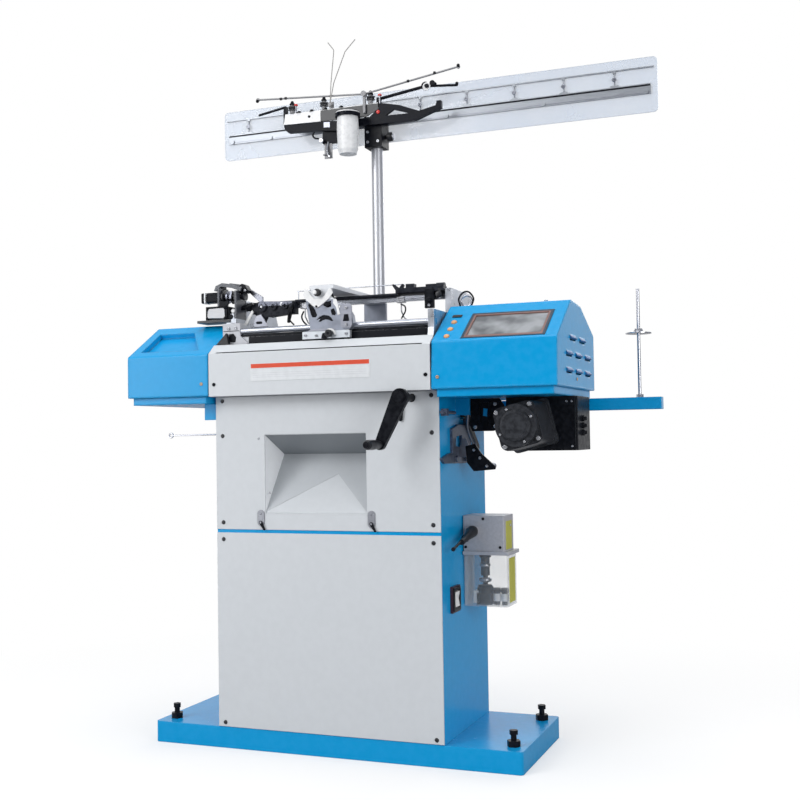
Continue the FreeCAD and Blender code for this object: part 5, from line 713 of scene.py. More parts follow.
@dataclass(frozen=True)
class BoltRow:
    """Bolt heads of one size on the motor's front, in metres."""

    wide: float
    near: float
    far: float
    places: tuple[tuple[float, float], ...]
    margin: float = 0.0008
    colour: Colour = (0.62, 0.63, 0.66)

    def zones(self) -> list[Zone]:
        """Box in the bolt heads, to finish them as bright steel.

        Returns:
            One zone for each bolt head.
        """
        return [
            Zone((x - self.margin, self.near, z - self.margin),
                 (x + self.wide + self.margin, self.far, z + self.wide + self.margin), self.colour, 0.25, 0.8)
            for x, z in self.places
        ]


MOTOR_BOLTS = (
    *BoltRow(0.012, -0.2090, -0.2003, ((0.604, 0.991), (0.511, 0.968), (0.534, 0.875), (0.627, 0.898))).zones(),
    *BoltRow(0.007, -0.2250, -0.2221, ((0.615, 0.960), (0.547, 0.979), (0.528, 0.911), (0.596, 0.892))).zones(),
)
# Painted shade: the louvre hoods on the box's right side are made dark blue. Painted reflection: a thin lighter-blue
# strip on the box's front near its right-hand fold.
BOX_PAINTED_SHADE_AND_REFLECTION = (
    Zone((0.7034, -0.30, 1.05), (0.7200, 0.30, 1.30), (0.0, 0.11, 0.34), 0.45),
    Zone((0.6870, -0.27, 1.0640), (0.6930, -0.2635, 1.1720), (0.14, 0.42, 0.74), 0.24),
)

NODE_FINISHES: dict[str, Finish] = {
    "start_button": replace(AMBER, name="start_key_face"),
    "stop_button": replace(AMBER, name="stop_key_face"),
    "reset_button": replace(AMBER, name="reset_key_face"),
    "spec_plate": replace(
        FINISHES[Slot.PLATE], name="bare_fields", colour=(0.60, 0.62, 0.64), metallic=0.0, rough=0.40, zones=(
            Zone((-0.206, -0.270, 1.1195), (0.168, -0.262, 1.1320), (0.62, 0.045, 0.004), 0.50),
            Zone((-0.204, -0.270, 1.1165), (0.166, -0.262, 1.1177), (0.50, 0.52, 0.55), 0.42),
            *(Zone((-0.200, -0.270, z), (0.160, -0.262, z + 0.001), (0.52, 0.54, 0.57), 0.42)
              for z in (1.0925, 1.0985, 1.1045)),
            Zone((0.30, -0.10, 0.40), (0.60, 0.10, 0.70), (0.46, 0.45, 0.045), 0.42),
            Zone((0.30, -0.10, 0.40), (0.60, -0.001, 0.70), (0.53, 0.52, 0.060), 0.42),
        ),
    ),
    "bed_frame": replace(
        FINISHES[Slot.CAST], name="bed_castings", colour=(0.42, 0.44, 0.48), metallic=0.85, specular=0.12, zones=(
            # Painted shadow: the guard under the front rail is made near black, and the hollow between the beds dark.
            Zone((-0.3275, -0.2065, 1.150), (0.3275, -0.1985, 1.2185), NEAR_BLACK, 0.35),
            Zone((-0.3275, -0.1485, 1.150), (0.3275, 0.1485, 1.196), (0.05, 0.055, 0.065), 0.45, 0.3),
            Zone((-0.3290, -0.2130, 1.1915), (-0.2440, -0.1870, 1.2610), (0.46, 0.47, 0.50), 0.45, 0.2),
        ),
    ),
    "carriage_frame": replace(
        FINISHES[Slot.CAST], name="carriage_casting", colour=(0.22, 0.24, 0.29), metallic=0.55, rough=0.40,
        rubbed=(0.62, 0.64, 0.68), zones=(
            Zone((-0.0700, -0.2270, 1.1990), (0.1050, -0.2050, 1.2215), (0.55, 0.58, 0.62), 0.36, 0.5),
            Zone((-0.0700, -0.1760, 1.2060), (0.0820, -0.0850, 1.2500), (0.10, 0.11, 0.14), 0.40, 0.5),
            Zone((-0.0600, -0.2262, 1.3120), (0.0560, -0.2050, 1.3560), (0.62, 0.64, 0.67), 0.40, 0.2),
            Zone((-0.0700, -0.2050, 1.3400), (0.1050, 0.2000, 1.3560), (0.58, 0.60, 0.64), 0.40, 0.3),
        ),
    ),
    "needle_beds": replace(FINISHES[Slot.STEEL], name="bed_slots", colour=(0.16, 0.17, 0.20), rough=0.34, lint=0.02),
    "slide_rails": replace(
        FINISHES[Slot.STEEL], name="rail_steel", colour=(0.42, 0.44, 0.49), rough=0.26, zones=(
            Zone((-0.3455, -0.0620, 1.3290), (0.3455, -0.0460, 1.3385), NEAR_BLACK, 0.35),
        ),
    ),
    "cam_drum": replace(
        FINISHES[Slot.ZINC], name="cam_discs", colour=(0.20, 0.21, 0.25), rough=0.30, zones=(
            *(Zone((low, -0.13, 1.32), (high, -0.07, 1.39), NEAR_BLACK, 0.35)
              for low, high in ((-0.385, -0.372), (-0.352, -0.339), (-0.327, -0.305))),
        ),
    ),
    "selector_bracket": replace(
        FINISHES[Slot.CAST], name="selector_plates", colour=(0.34, 0.36, 0.40), metallic=0.8, zones=(
            Zone((-0.4665, -0.1330, 1.2680), (-0.3450, -0.0670, 1.2832), NEAR_BLACK, 0.35),
            Zone((-0.3950, -0.1330, 1.3250), (-0.3870, -0.0670, 1.3840), (0.06, 0.065, 0.08), 0.35),
            Zone((-0.3350, -0.1330, 1.2840), (-0.3270, -0.0670, 1.3720), (0.06, 0.065, 0.08), 0.35),
        ),
    ),
    "feeder_lever": replace(FINISHES[Slot.BLACK], name="bank_lever_black"),
    "feeder_bank": replace(
        FINISHES[Slot.BLACK], name="bank_casting", colour=(0.016, 0.018, 0.025), rough=0.32, zones=(
            Zone((-0.320, -0.092, 1.247), (-0.239, -0.050, 1.262), (0.10, 0.11, 0.14), 0.35, 0.6),
            Zone((-0.272, -0.092, 1.322), (-0.160, -0.050, 1.339), (0.16, 0.17, 0.21), 0.35, 0.6),
        ),
    ),
    "panel_fasteners": replace(
        FINISHES[Slot.ZINC], name="panel_screws", colour=(0.30, 0.31, 0.34), rough=0.42, relief=0.008, zones=(
            Zone((-0.345, -0.23, 0.05), (-0.30, -0.20, 1.05), NEAR_BLACK, 0.40),
            Zone((0.30, -0.23, 0.05), (0.345, -0.20, 1.05), NEAR_BLACK, 0.40),
        ),
    ),
    "mast": replace(
        FINISHES[Slot.CHROME], name="mast_tube", colour=(0.56, 0.57, 0.60), metallic=0.7, rough=0.40, rough_shift=0.03,
    ),
    "mast_clamps": replace(FINISHES[Slot.BLACK], name="clamp_blocks", specular=0.10),
    "latch_hook_left": replace(FINISHES[Slot.BLACK], name="left_hook_black"),
    "latch_hook_right": replace(FINISHES[Slot.BLACK], name="right_hook_black"),
    "tension_plate": replace(
        FINISHES[Slot.WHITE_PLASTIC], name="pan_and_cup", rough=0.3, zones=(
            Zone((-0.178, 0.170, 1.940), (0.030, 0.185, 1.990), NEAR_BLACK, 0.35),
        ),
    ),
    # The screen's grey face with broad light and dark blotches is partly the display's own grey, partly painted
    # reflection.
    "touch_screen": replace(
        FINISHES[Slot.SCREEN], name="screen_content_and_reflection", colour=(0.20, 0.21, 0.22), shift=0.45, wave=16.0, rough=0.20,
        coat=0.5,
    ),
    "screen_bezel": replace(
        FINISHES[Slot.BLACK_PLASTIC], name="bezel_rim", colour=(0.010, 0.035, 0.060), zones=(
            Zone((0.4400, -0.30, 1.1825), (0.6600, -0.10, 1.2540), (0.20, 0.105, 0.090), 0.35),
        ),
    ),
    "left_cover": replace(FINISHES[Slot.BLUE], name="cover_blue", edge=0.0070),
    "oil_pump": replace(FINISHES[Slot.BLACK_PLASTIC], name="pump_body", colour=(0.02, 0.021, 0.025)),
    "guide_rail": replace(
        FINISHES[Slot.ZINC], name="guide_rail_grey", colour=(0.30, 0.32, 0.35), metallic=0.6, rough=0.36, lint=0.02,
    ),
    "takeup_wires": replace(
        FINISHES[Slot.ZINC], name="spring_wire", colour=(0.30, 0.29, 0.28), metallic=0.0, rough=0.55,
    ),
    "guide_rods": replace(FINISHES[Slot.STEEL], name="rod_steel", colour=(0.24, 0.24, 0.25), metallic=0.3, rough=0.50),
    "tension_beam": replace(
        FINISHES[Slot.BLACK], name="beam_black", colour=(0.004, 0.005, 0.009), specular=0.08, rub=0.06,
    ),
    "tension_linkage": replace(
        FINISHES[Slot.BLACK], name="linkage_steel", colour=(0.11, 0.13, 0.18), metallic=0.5, rough=0.34,
    ),
    "motor": replace(FINISHES[Slot.BLACK], name="motor_black", colour=MOTOR_GREY, zones=MOTOR_BOLTS),
    "control_box": replace(FINISHES[Slot.BLUE], name="box_blue", edge=0.0070, zones=BOX_PAINTED_SHADE_AND_REFLECTION),
    "switch_rocker": replace(FINISHES[Slot.WHITE_PLASTIC], name="rocker_white", colour=(0.80, 0.79, 0.78)),
    "power_switch": replace(FINISHES[Slot.BLACK_PLASTIC], name="switch_plate", colour=(0.05, 0.02, 0.03)),
}


class Shop:
    """Every material, made once, and handed out by slot."""

    def __init__(self, effects: Effects) -> None:
        """Make the materials.

        Args:
            effects: The shared groups.
        """
        self.materials: dict[Slot, bpy.types.Material] = {}
        for slot, finish in {**FINISHES, **CLEARS}.items():
            self.materials[slot] = finish.make(effects)
        self.special = {name: finish.make(effects) for name, finish in SPECIAL.items()}
        self.own = {node: finish.make(effects) for node, finish in NODE_FINISHES.items()}

    def dress_nodes(self) -> None:
        """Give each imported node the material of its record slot."""
        for part in frame["record"]["subparts"]:
            shown = frame["nodes"][part["node"]]
            shown.data.materials.clear()
            own = self.own.get(part["node"])
            shown.data.materials.append(own or self.materials[Slot(part["material_slot"])])


# ---------------------------------------------------------------------------------------------
# Mesh building
# ---------------------------------------------------------------------------------------------


class Head(Enum):
    """Kinds of screw head on the machine."""

    SOCKET = "socket"
    HEX = "hex"
    PAN = "pan"


class Form:
    """A mesh in the making, in millimetres of the machine's own frame."""

    least_radius: float = 0.05
    head_sunk: float = 0.4
    head_sides: int = 18

    def __init__(self) -> None:
        """Start an empty mesh."""
        self.mesh = bmesh.new()

    def _loop(self, points: list[Point]) -> list[bmesh.types.BMVert]:
        """Add one loop of corners."""
        return [self.mesh.verts.new([value * MM for value in point]) for point in points]

    def _skin(self, loops: list[list[bmesh.types.BMVert]]) -> None:
        """Join loops of equal count with faces, and close the two ends.

        Args:
            loops: The loops in order.
        """
        for first, second in zip(loops, loops[1:]):
            count = len(first)
            for number in range(count):
                after = (number + 1) % count
                self.mesh.faces.new((first[number], first[after], second[after], second[number]))
        self.mesh.faces.new(list(reversed(loops[0])))
        self.mesh.faces.new(loops[-1])

    def slab(self, outline: Outline, axis: Axis, start: float, depth: float) -> "Form":
        """Give an outline a thickness.

        Args:
            outline: Corners in the two other directions, in the order x, y, z.
            axis: The direction of the thickness.
            start: Where the thickness starts.
            depth: How thick it is.

        Returns:
            This form.
        """
        loops = []
        for level in (start, start + depth):
            corners = []
            for first, second in outline:
                corner = [first, second]
                corner.insert(axis.value, level)
                corners.append(tuple(corner))
            loops.append(self._loop(corners))
        self._skin(loops)
        return self

    def block(self, low: Point, high: Point) -> "Form":
        """Add a rectangular bar between two corners."""
        outline = [(low[0], low[2]), (high[0], low[2]), (high[0], high[2]), (low[0], high[2])]
        return self.slab(outline, Axis.Y, low[1], high[1] - low[1])

    def sheet(self, corners: list[Point], thick: float, aim: Point) -> "Form":
        """Lay a thin sheet on a face.

        Args:
            corners: The sheet's corners on that face.
            thick: Its thickness.
            aim: The direction it grows in.

        Returns:
            This form.
        """
        lift = Vector(aim).normalized() * thick
        self._skin([self._loop(corners), self._loop([tuple(Vector(corner) + lift) for corner in corners])])
        return self

    def turned(self, profile: Outline, foot: Point, aim: Point, sides: int = 24) -> "Form":
        """Turn a profile about an axis.

        Args:
            profile: Distances along the axis and radii.
            foot: Where the axis starts.
            aim: The axis's direction.
            sides: Facets round the axis.

        Returns:
            This form.
        """
        ahead = Vector(aim).normalized()
        side = ahead.orthogonal().normalized()
        other = ahead.cross(side)
        loops = []
        for along, radius in profile:
            middle = Vector(foot) + ahead * along
            ring = []
            for number in range(sides):
                turn = 2 * math.pi * (number + 0.5) / sides
                out = side * math.cos(turn) + other * math.sin(turn)
                ring.append(tuple(middle + out * max(radius, self.least_radius)))
            loops.append(self._loop(ring))
        self._skin(loops)
        return self

    def tube(self, route: list[Point], radius: float, sides: int = 10, steps: int = 5) -> "Form":
        """Bend a round rod along a smooth route.

        Args:
            route: The points that the rod passes.
            radius: The rod's radius.
            sides: Facets round the rod.
            steps: Pieces between two points.

        Returns:
            This form.
        """
        line = self._smooth([Vector(point) for point in route], steps)
        turns = [2 * math.pi * facet / sides for facet in range(sides)]
        ahead = (line[1] - line[0]).normalized()
        side = ahead.orthogonal().normalized()
        loops = []
        for number, middle in enumerate(line):
            ahead = (line[min(number + 1, len(line) - 1)] - line[max(number - 1, 0)]).normalized()
            side = (side - ahead * side.dot(ahead)).normalized()
            other = ahead.cross(side)
            outs = [side * math.cos(turn) + other * math.sin(turn) for turn in turns]
            loops.append(self._loop([tuple(middle + out * radius) for out in outs]))
        self._skin(loops)
        return self

    @staticmethod
    def _smooth(points: list[Vector], steps: int) -> list[Vector]:
        """Pass a smooth line through points.

        Args:
            points: The points in order.
            steps: Pieces between two points.

        Returns:
            The line's points, with both ends.
        """
        ends = [points[0] * 2 - points[1], *points, points[-1] * 2 - points[-2]]
        line = []
        for number in range(1, len(ends) - 2):
            a, b, c, d = ends[number - 1:number + 3]
            for step in range(steps):
                t = step / steps
                line.append(0.5 * (2 * b + (c - a) * t + (2 * a - 5 * b + 4 * c - d) * t * t
                                   + (3 * b - a - 3 * c + d) * t * t * t))
        line.append(points[-1])
        return line

    def screws(self, places: list[Point], aim: Point, radius: float, kind: Head) -> "Form":
        """Add screw heads that stand on a face.

        Args:
            places: Where the screws enter the face.
            aim: The direction the heads point in.
            radius: The heads' radius.
            kind: The kind of head.

        Returns:
            This form.
        """
        sunk, sides = self.head_sunk, self.head_sides
        for place in places:
            if kind is Head.SOCKET:
                self.turned([(-sunk, radius), (radius * 0.8, radius), (radius, radius * 0.86), (radius, radius * 0.48),
                             (radius * 0.45, radius * 0.46), (radius * 0.4, 0.0)], place, aim, sides)
            elif kind is Head.HEX:
                washer = [(-sunk, radius * 1.35), (radius * 0.16, radius * 1.35), (radius * 0.2, radius * 1.2)]
                self.turned(washer, place, aim, sides + 2)
                flats = [(radius * 0.1, radius), (radius * 0.74, radius), (radius * 0.86, radius * 0.84)]
                self.turned(flats, place, aim, 6)
            else:
                self.turned([(-sunk, radius), (radius * 0.25, radius), (radius * 0.5, radius * 0.82),
                             (radius * 0.6, radius * 0.5), (radius * 0.28, radius * 0.36), (radius * 0.26, 0.0)],
                            place, aim, sides)
        return self


class Bench:
    """Turns forms into pieces that ride on a body and wear a finish."""

    sharp_angle: float = math.radians(32)
    bevel_angle: float = math.radians(38)

    def __init__(self, shop: Shop) -> None:
        """Keep the shop at hand.

        Args:
            shop: Every material.
        """
        self.shop = shop
        self.count = 0

    def keep(
        self, name: str, form: Form, slot: Slot, body: Body = Body.MACHINE, soften: float = 0.5, finish: str = "",
    ) -> None:
        """Finish one piece.

        Args:
            name: The piece's name.
            form: Its mesh in the making.
            slot: The record's material slot that it takes.
            body: The body that it rides on.
            soften: How far its edges are rounded, in millimetres.
            finish: A special finish, where it differs from the slot's.
        """
        bmesh.ops.recalc_face_normals(form.mesh, faces=form.mesh.faces)
        mesh = bpy.data.meshes.new(name)
        form.mesh.to_mesh(mesh)
        form.mesh.free()
        mesh.shade_smooth()
        mesh.set_sharp_from_angle(angle=self.sharp_angle)
        mesh.materials.append(self.shop.special[finish] if finish else self.shop.materials[slot])
        piece = bpy.data.objects.new(name, mesh)
        bpy.context.scene.collection.objects.link(piece)
        if soften:
            edge = piece.modifiers.new("soft_edge", "BEVEL")
            edge.width = soften * MM
            edge.segments = 2
            edge.limit_method = "ANGLE"
            edge.angle_limit = self.bevel_angle
            edge.harden_normals = True
        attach(piece, body.value)
        self.count += 1
        LOG.info("made %s on %s", name, body.value)


# ---------------------------------------------------------------------------------------------
# Sub-assemblies
# ---------------------------------------------------------------------------------------------

FRONT: Point = (0.0, -1.0, 0.0)
RIGHT: Point = (1.0, 0.0, 0.0)
UP: Point = (0.0, 0.0, 1.0)


@dataclass
class NeedleHead:
    """The small parts round the needle beds and their rails."""

    strip_reach: float = 327.0
    strip_low: float = 1216.0
    strip_high: float = 1226.0
    panel_front: float = -264.0
    panel_screws: Outline = field(default_factory=lambda: [(-330.0, 1076.0), (335.0, 1083.0)])

    def build(self, bench: Bench) -> None:
        """Make the strip of painted shadow under the front rail, the rail's clamp and roller, the ring's guard, the
        bracket's trim and the screws.

        Args:
            bench: Where pieces are finished.
        """
        # Painted shadow: a black strip where the gap under the front rail lies in shade.
        low, high = (-self.strip_reach, -205.5, self.strip_low), (self.strip_reach, -202.0, self.strip_high)
        bench.keep("bed_painted_shadow_strip", Form().block(low, high), Slot.BLACK)
        bench.keep("rail_clamp_block", Form().block((268, -78, 1288), (296, -67, 1344)).turned(
            [(0, 8), (5, 8), (7, 6), (7, 2)], (282, -78, 1312), FRONT), Slot.BLACK)
        bench.keep("rail_clamp_screw", Form().screws([(282, -78, 1296)], FRONT, 4.0, Head.SOCKET), Slot.ZINC)
        bench.keep("rail_end_roller", Form().block((308, -73, 1324), (317, -68, 1345)).turned(
            [(0, 4), (2, 4), (2, 9), (8, 10), (12, 8), (13, 4)], (312, -72, 1326), FRONT), Slot.BLACK_PLASTIC)
        bench.keep("rail_end_knob", Form().turned(
            [(0, 5), (5, 5), (6, 9), (14, 9), (16, 6)], (337, -149, 1222), (0, -1, 0.2)), Slot.ZINC)
        ring = [(x, -47, z) for x, z in ((368, 1290), (363, 1312), (376, 1330), (394, 1331), (408, 1312), (402, 1292))]
        bench.keep("thread_ring_guard", Form().tube(ring, 2.6), Slot.BLACK)
        self._bracket(bench)
        places = [(x, self.panel_front, z) for x, z in self.panel_screws]
        bench.keep("head_panel_screws", Form().screws(places, FRONT, 5.5, Head.PAN), Slot.BLACK)

    @staticmethod
    def _bracket(bench: Bench) -> None:
        """Trim the rail bracket at the left: painted shade in its window, screws and the seal beside it.

        Args:
            bench: Where pieces are finished.
        """
        # Painted shade: a black slab inside the bracket's window.
        bench.keep("bracket_window_painted_shade", Form().slab(
            [(-309, 1205), (-286, 1203), (-283, 1218), (-292, 1229), (-305, 1228)], Axis.Y, -213.5, 2.0), Slot.BLACK)
        bench.keep("bracket_screws", Form().screws([(-308, -212, 1245), (-284, -212, 1246)], FRONT, 4.5, Head.SOCKET),
                   Slot.ZINC)
        bench.keep("bracket_seam", Form().block((-326, -212.8, 1236), (-272, -212, 1238)), Slot.BLACK, soften=0.2)
        bench.keep("cover_seal", Form().slab(
            [(-308, 1230), (-342, 1197), (-300, 1194.5)], Axis.Y, -228, 13), Slot.BLACK_PLASTIC)


@dataclass
class Carriage:
    """What stands on the front cheek of the sliding carriage."""

    cheek_front: float = -226.0
    plate_thick: float = 4.0
    knob_arch: tuple[float, float, float, float] = (32.0, 1209.0, 19.0, 13.0)
    vee: Outline = field(default_factory=lambda: [
        (-52, 1330), (-46, 1344), (-38, 1345), (-25, 1325), (-16, 1315), (9, 1315), (19, 1327), (31, 1343),
        (38, 1342), (43, 1331), (33, 1316), (4, 1295), (-9, 1288), (-22, 1296), (-46, 1318),
    ])

    def build(self, bench: Bench) -> None:
        """Make the white plates, the painted shade in the cheek's windows and gaps, the post's cover with painted shade
        in its window, the screws, a painted highlight on the upper knob and the lower knob's cap.

        Args:
            bench: Where pieces are finished.
        """
        front, ride = self.cheek_front, Body.CARRIAGE
        bench.keep("carriage_vee_plate", Form().slab(self.vee, Axis.Y, front - self.plate_thick, self.plate_thick),
                   Slot.WHITE_PLASTIC, ride, 0.8)
        bench.keep("carriage_vee_pin", Form().turned(
            [(0, 3.4), (1.5, 3.4), (2.2, 2.4)], (-9, front - 4, 1293), FRONT), Slot.BLACK, ride, 0.2)
        # Painted shade: black slabs in the cheek's windows and in the gaps between its levers.
        bench.keep("cheek_window_painted_shade", Form().slab(
            [(-24, 1236), (50, 1236), (52, 1276), (44, 1318), (36, 1338), (-40, 1338), (-36, 1310), (-26, 1282)],
            Axis.Y, -222.0, 3.0), Slot.BLACK, ride, 0.2)
        bench.keep("cheek_gap_painted_shade", self._gaps(front - 0.7), Slot.BLACK, ride, 0.0)
        bench.keep("cheek_white_flank", Form().slab(
            [(44, 1312), (53, 1311), (59, 1290), (65, 1267), (57, 1265), (52, 1288), (43, 1300)],
            Axis.Y, front - 2, 2.1), Slot.WHITE_PLASTIC, ride, 0.4)
        bench.keep("knob_white_arch", Form().slab(self._arch(), Axis.Y, front - 3, 3.1), Slot.WHITE_PLASTIC, ride, 0.4)
        bench.keep("carriage_knob_bracket", Form().slab(
            [(6, 1200), (22, 1200), (22, 1207), (16, 1216), (9, 1214)], Axis.Y, front - 6, 6), Slot.BLACK, ride)
        bench.keep("carriage_post_cover", Form().slab(
            [(67, 1232), (72, 1227), (98, 1227), (102, 1232), (102, 1288), (96, 1296), (72, 1296), (66, 1288)],
            Axis.Y, front - 3.5, 3.6), Slot.ZINC, ride, 0.8, "dull_steel")
        # Painted shade: a black slab in the window of the post's cover.
        bench.keep("post_window_painted_shade", Form().slab(
            [(74, 1246), (94, 1246), (90, 1266), (78, 1266)], Axis.Y, front - 4.3, 1.0), Slot.BLACK, ride, 0.2)
        places = [(-46, front, 1211), (82, front, 1211), (-12, front, 1209), (84, front - 3.5, 1284),
                  (84, front - 3.5, 1237)]
        bench.keep("carriage_screws", Form().screws(places, FRONT, 4.2, Head.SOCKET), Slot.ZINC, ride, 0.3)
        bench.keep("carriage_side_bar", Form().slab(
            [(-30, 1228), (44, 1228), (50, 1222), (-38, 1222)], Axis.Y, front - 2.0, 2.1), Slot.STEEL, ride, 0.4,
            "dull_steel")
        # Painted highlight: a white disc set off to the left on the black upper knob.
        bench.keep("upper_knob_painted_highlight", Form().turned(
            [(-0.3, 6.2), (2.0, 6.4), (3.6, 4.8), (4.2, 2.0)], (-7, -244, 1332), FRONT), Slot.WHITE_PLASTIC,
            Body.UPPER_KNOB, 0.2)
        bench.keep("lower_knob_cap", Form().turned(
            [(-0.3, 4.6), (0.8, 4.6), (1.3, 3.6), (1.3, 1.8)], (32, -244, 1213), FRONT), Slot.BLACK,
            Body.LOWER_KNOB, 0.2)

    @staticmethod
    def _gaps(level: float) -> Form:
        """Shape the painted shade that fills the gaps between the cheek's levers.

        Args:
            level: Where the slabs of painted shade start.

        Returns:
            The slabs of painted shade.
        """
        gaps = Form()
        for outline in (
            [(-4, 1249), (3, 1259), (12, 1265), (20, 1266.5), (28, 1265), (36, 1259), (42, 1249), (36, 1249),
             (29, 1252.5), (19, 1254.5), (9, 1252.5), (2, 1248.5)],
            [(-36, 1300), (-26, 1300), (-15, 1284), (-9, 1268), (-13, 1262), (-24, 1263), (-29, 1280)],
            [(12, 1299), (20, 1305), (37, 1308), (34, 1298), (22, 1291)],
            [(38, 1284), (45, 1285), (51, 1271), (48, 1264), (41, 1268)],
        ):
            gaps.slab(outline, Axis.Y, level, 0.9)
        return gaps

    def _arch(self) -> Outline:
        """Draw the half ring that stands round the lower knob.

        Returns:
            The half ring's outline.
        """
        x, z, outer, inner = self.knob_arch
        turns = [math.radians(turn) for turn in range(0, 181, 15)]
        rim = [(x + outer * math.cos(turn), z + outer * math.sin(turn)) for turn in turns]
        return rim + [(x + inner * math.cos(turn), z + inner * math.sin(turn)) for turn in reversed(turns)]


@dataclass
class FeederBank:
    """The small parts of the feeder bank on the yarn rail."""

    bank_front: float = -85.0
    bolt: float = 4.2

    def build(self, bench: Bench) -> None:
        """Make the foot's cover, the links, the bolts and the yarn hooks.

        Args:
            bench: Where pieces are finished.
        """
        front = self.bank_front
        bench.keep("bank_foot_cover", Form().slab(
            [(-279, 1292), (-262, 1297), (-250, 1280), (-238, 1258), (-288, 1258), (-286, 1276)], Axis.Y, -94.5, 3.6),
            Slot.ZINC, soften=0.8, finish="dull_steel")
        bench.keep("bank_foot_slot", Form().slab(
            [(-276, 1267), (-260, 1267), (-257, 1271), (-260, 1275), (-276, 1275), (-279, 1271)], Axis.Y, -95.3, 1.0),
            Slot.BLACK, soften=0.2)
        bench.keep("bank_bolts", Form().screws(
            [(-230, front, 1325), (-196, front, 1326), (-264, front, 1321)], FRONT, self.bolt, Head.HEX), Slot.ZINC,
            soften=0.3)
        bench.keep("bank_link", Form().slab(
            [(-331, 1311), (-334, 1321), (-292, 1335), (-286, 1327)], Axis.Y, -99, 8), Slot.BLACK)
        bench.keep("bank_white_link", Form().slab(
            [(-322, 1266), (-309, 1264), (-286, 1304), (-291, 1311)], Axis.Y, -98, 3.4), Slot.WHITE_PLASTIC, soften=0.8)
        bench.keep("bank_top_bar", Form().slab(
            [(-318, 1377), (-312, 1383), (-262, 1352), (-262, 1334), (-270, 1334)], Axis.Y, -84, 9),
            Slot.ZINC, finish="dull_steel")
        bench.keep("bank_hook_left", Form().tube(
            [(-163, -92, 1300), (-168, -92, 1286), (-162, -92, 1271), (-150, -92, 1259)], 2.4), Slot.BLACK, Body.LEVER)
        bench.keep("bank_hook_right", Form().tube(
            [(-130, -64, 1302), (-136, -67, 1286), (-131, -67, 1271), (-119, -67, 1259)], 2.6), Slot.BLACK,
            Body.LEFT_FEEDER)
        bench.keep("feeder_hook", Form().tube(
            [(188, -64, 1306), (202, -66, 1298), (203, -66, 1284), (196, -66, 1272), (190, -66, 1262)], 2.2),
            Slot.BLACK, Body.RIGHT_FEEDER)


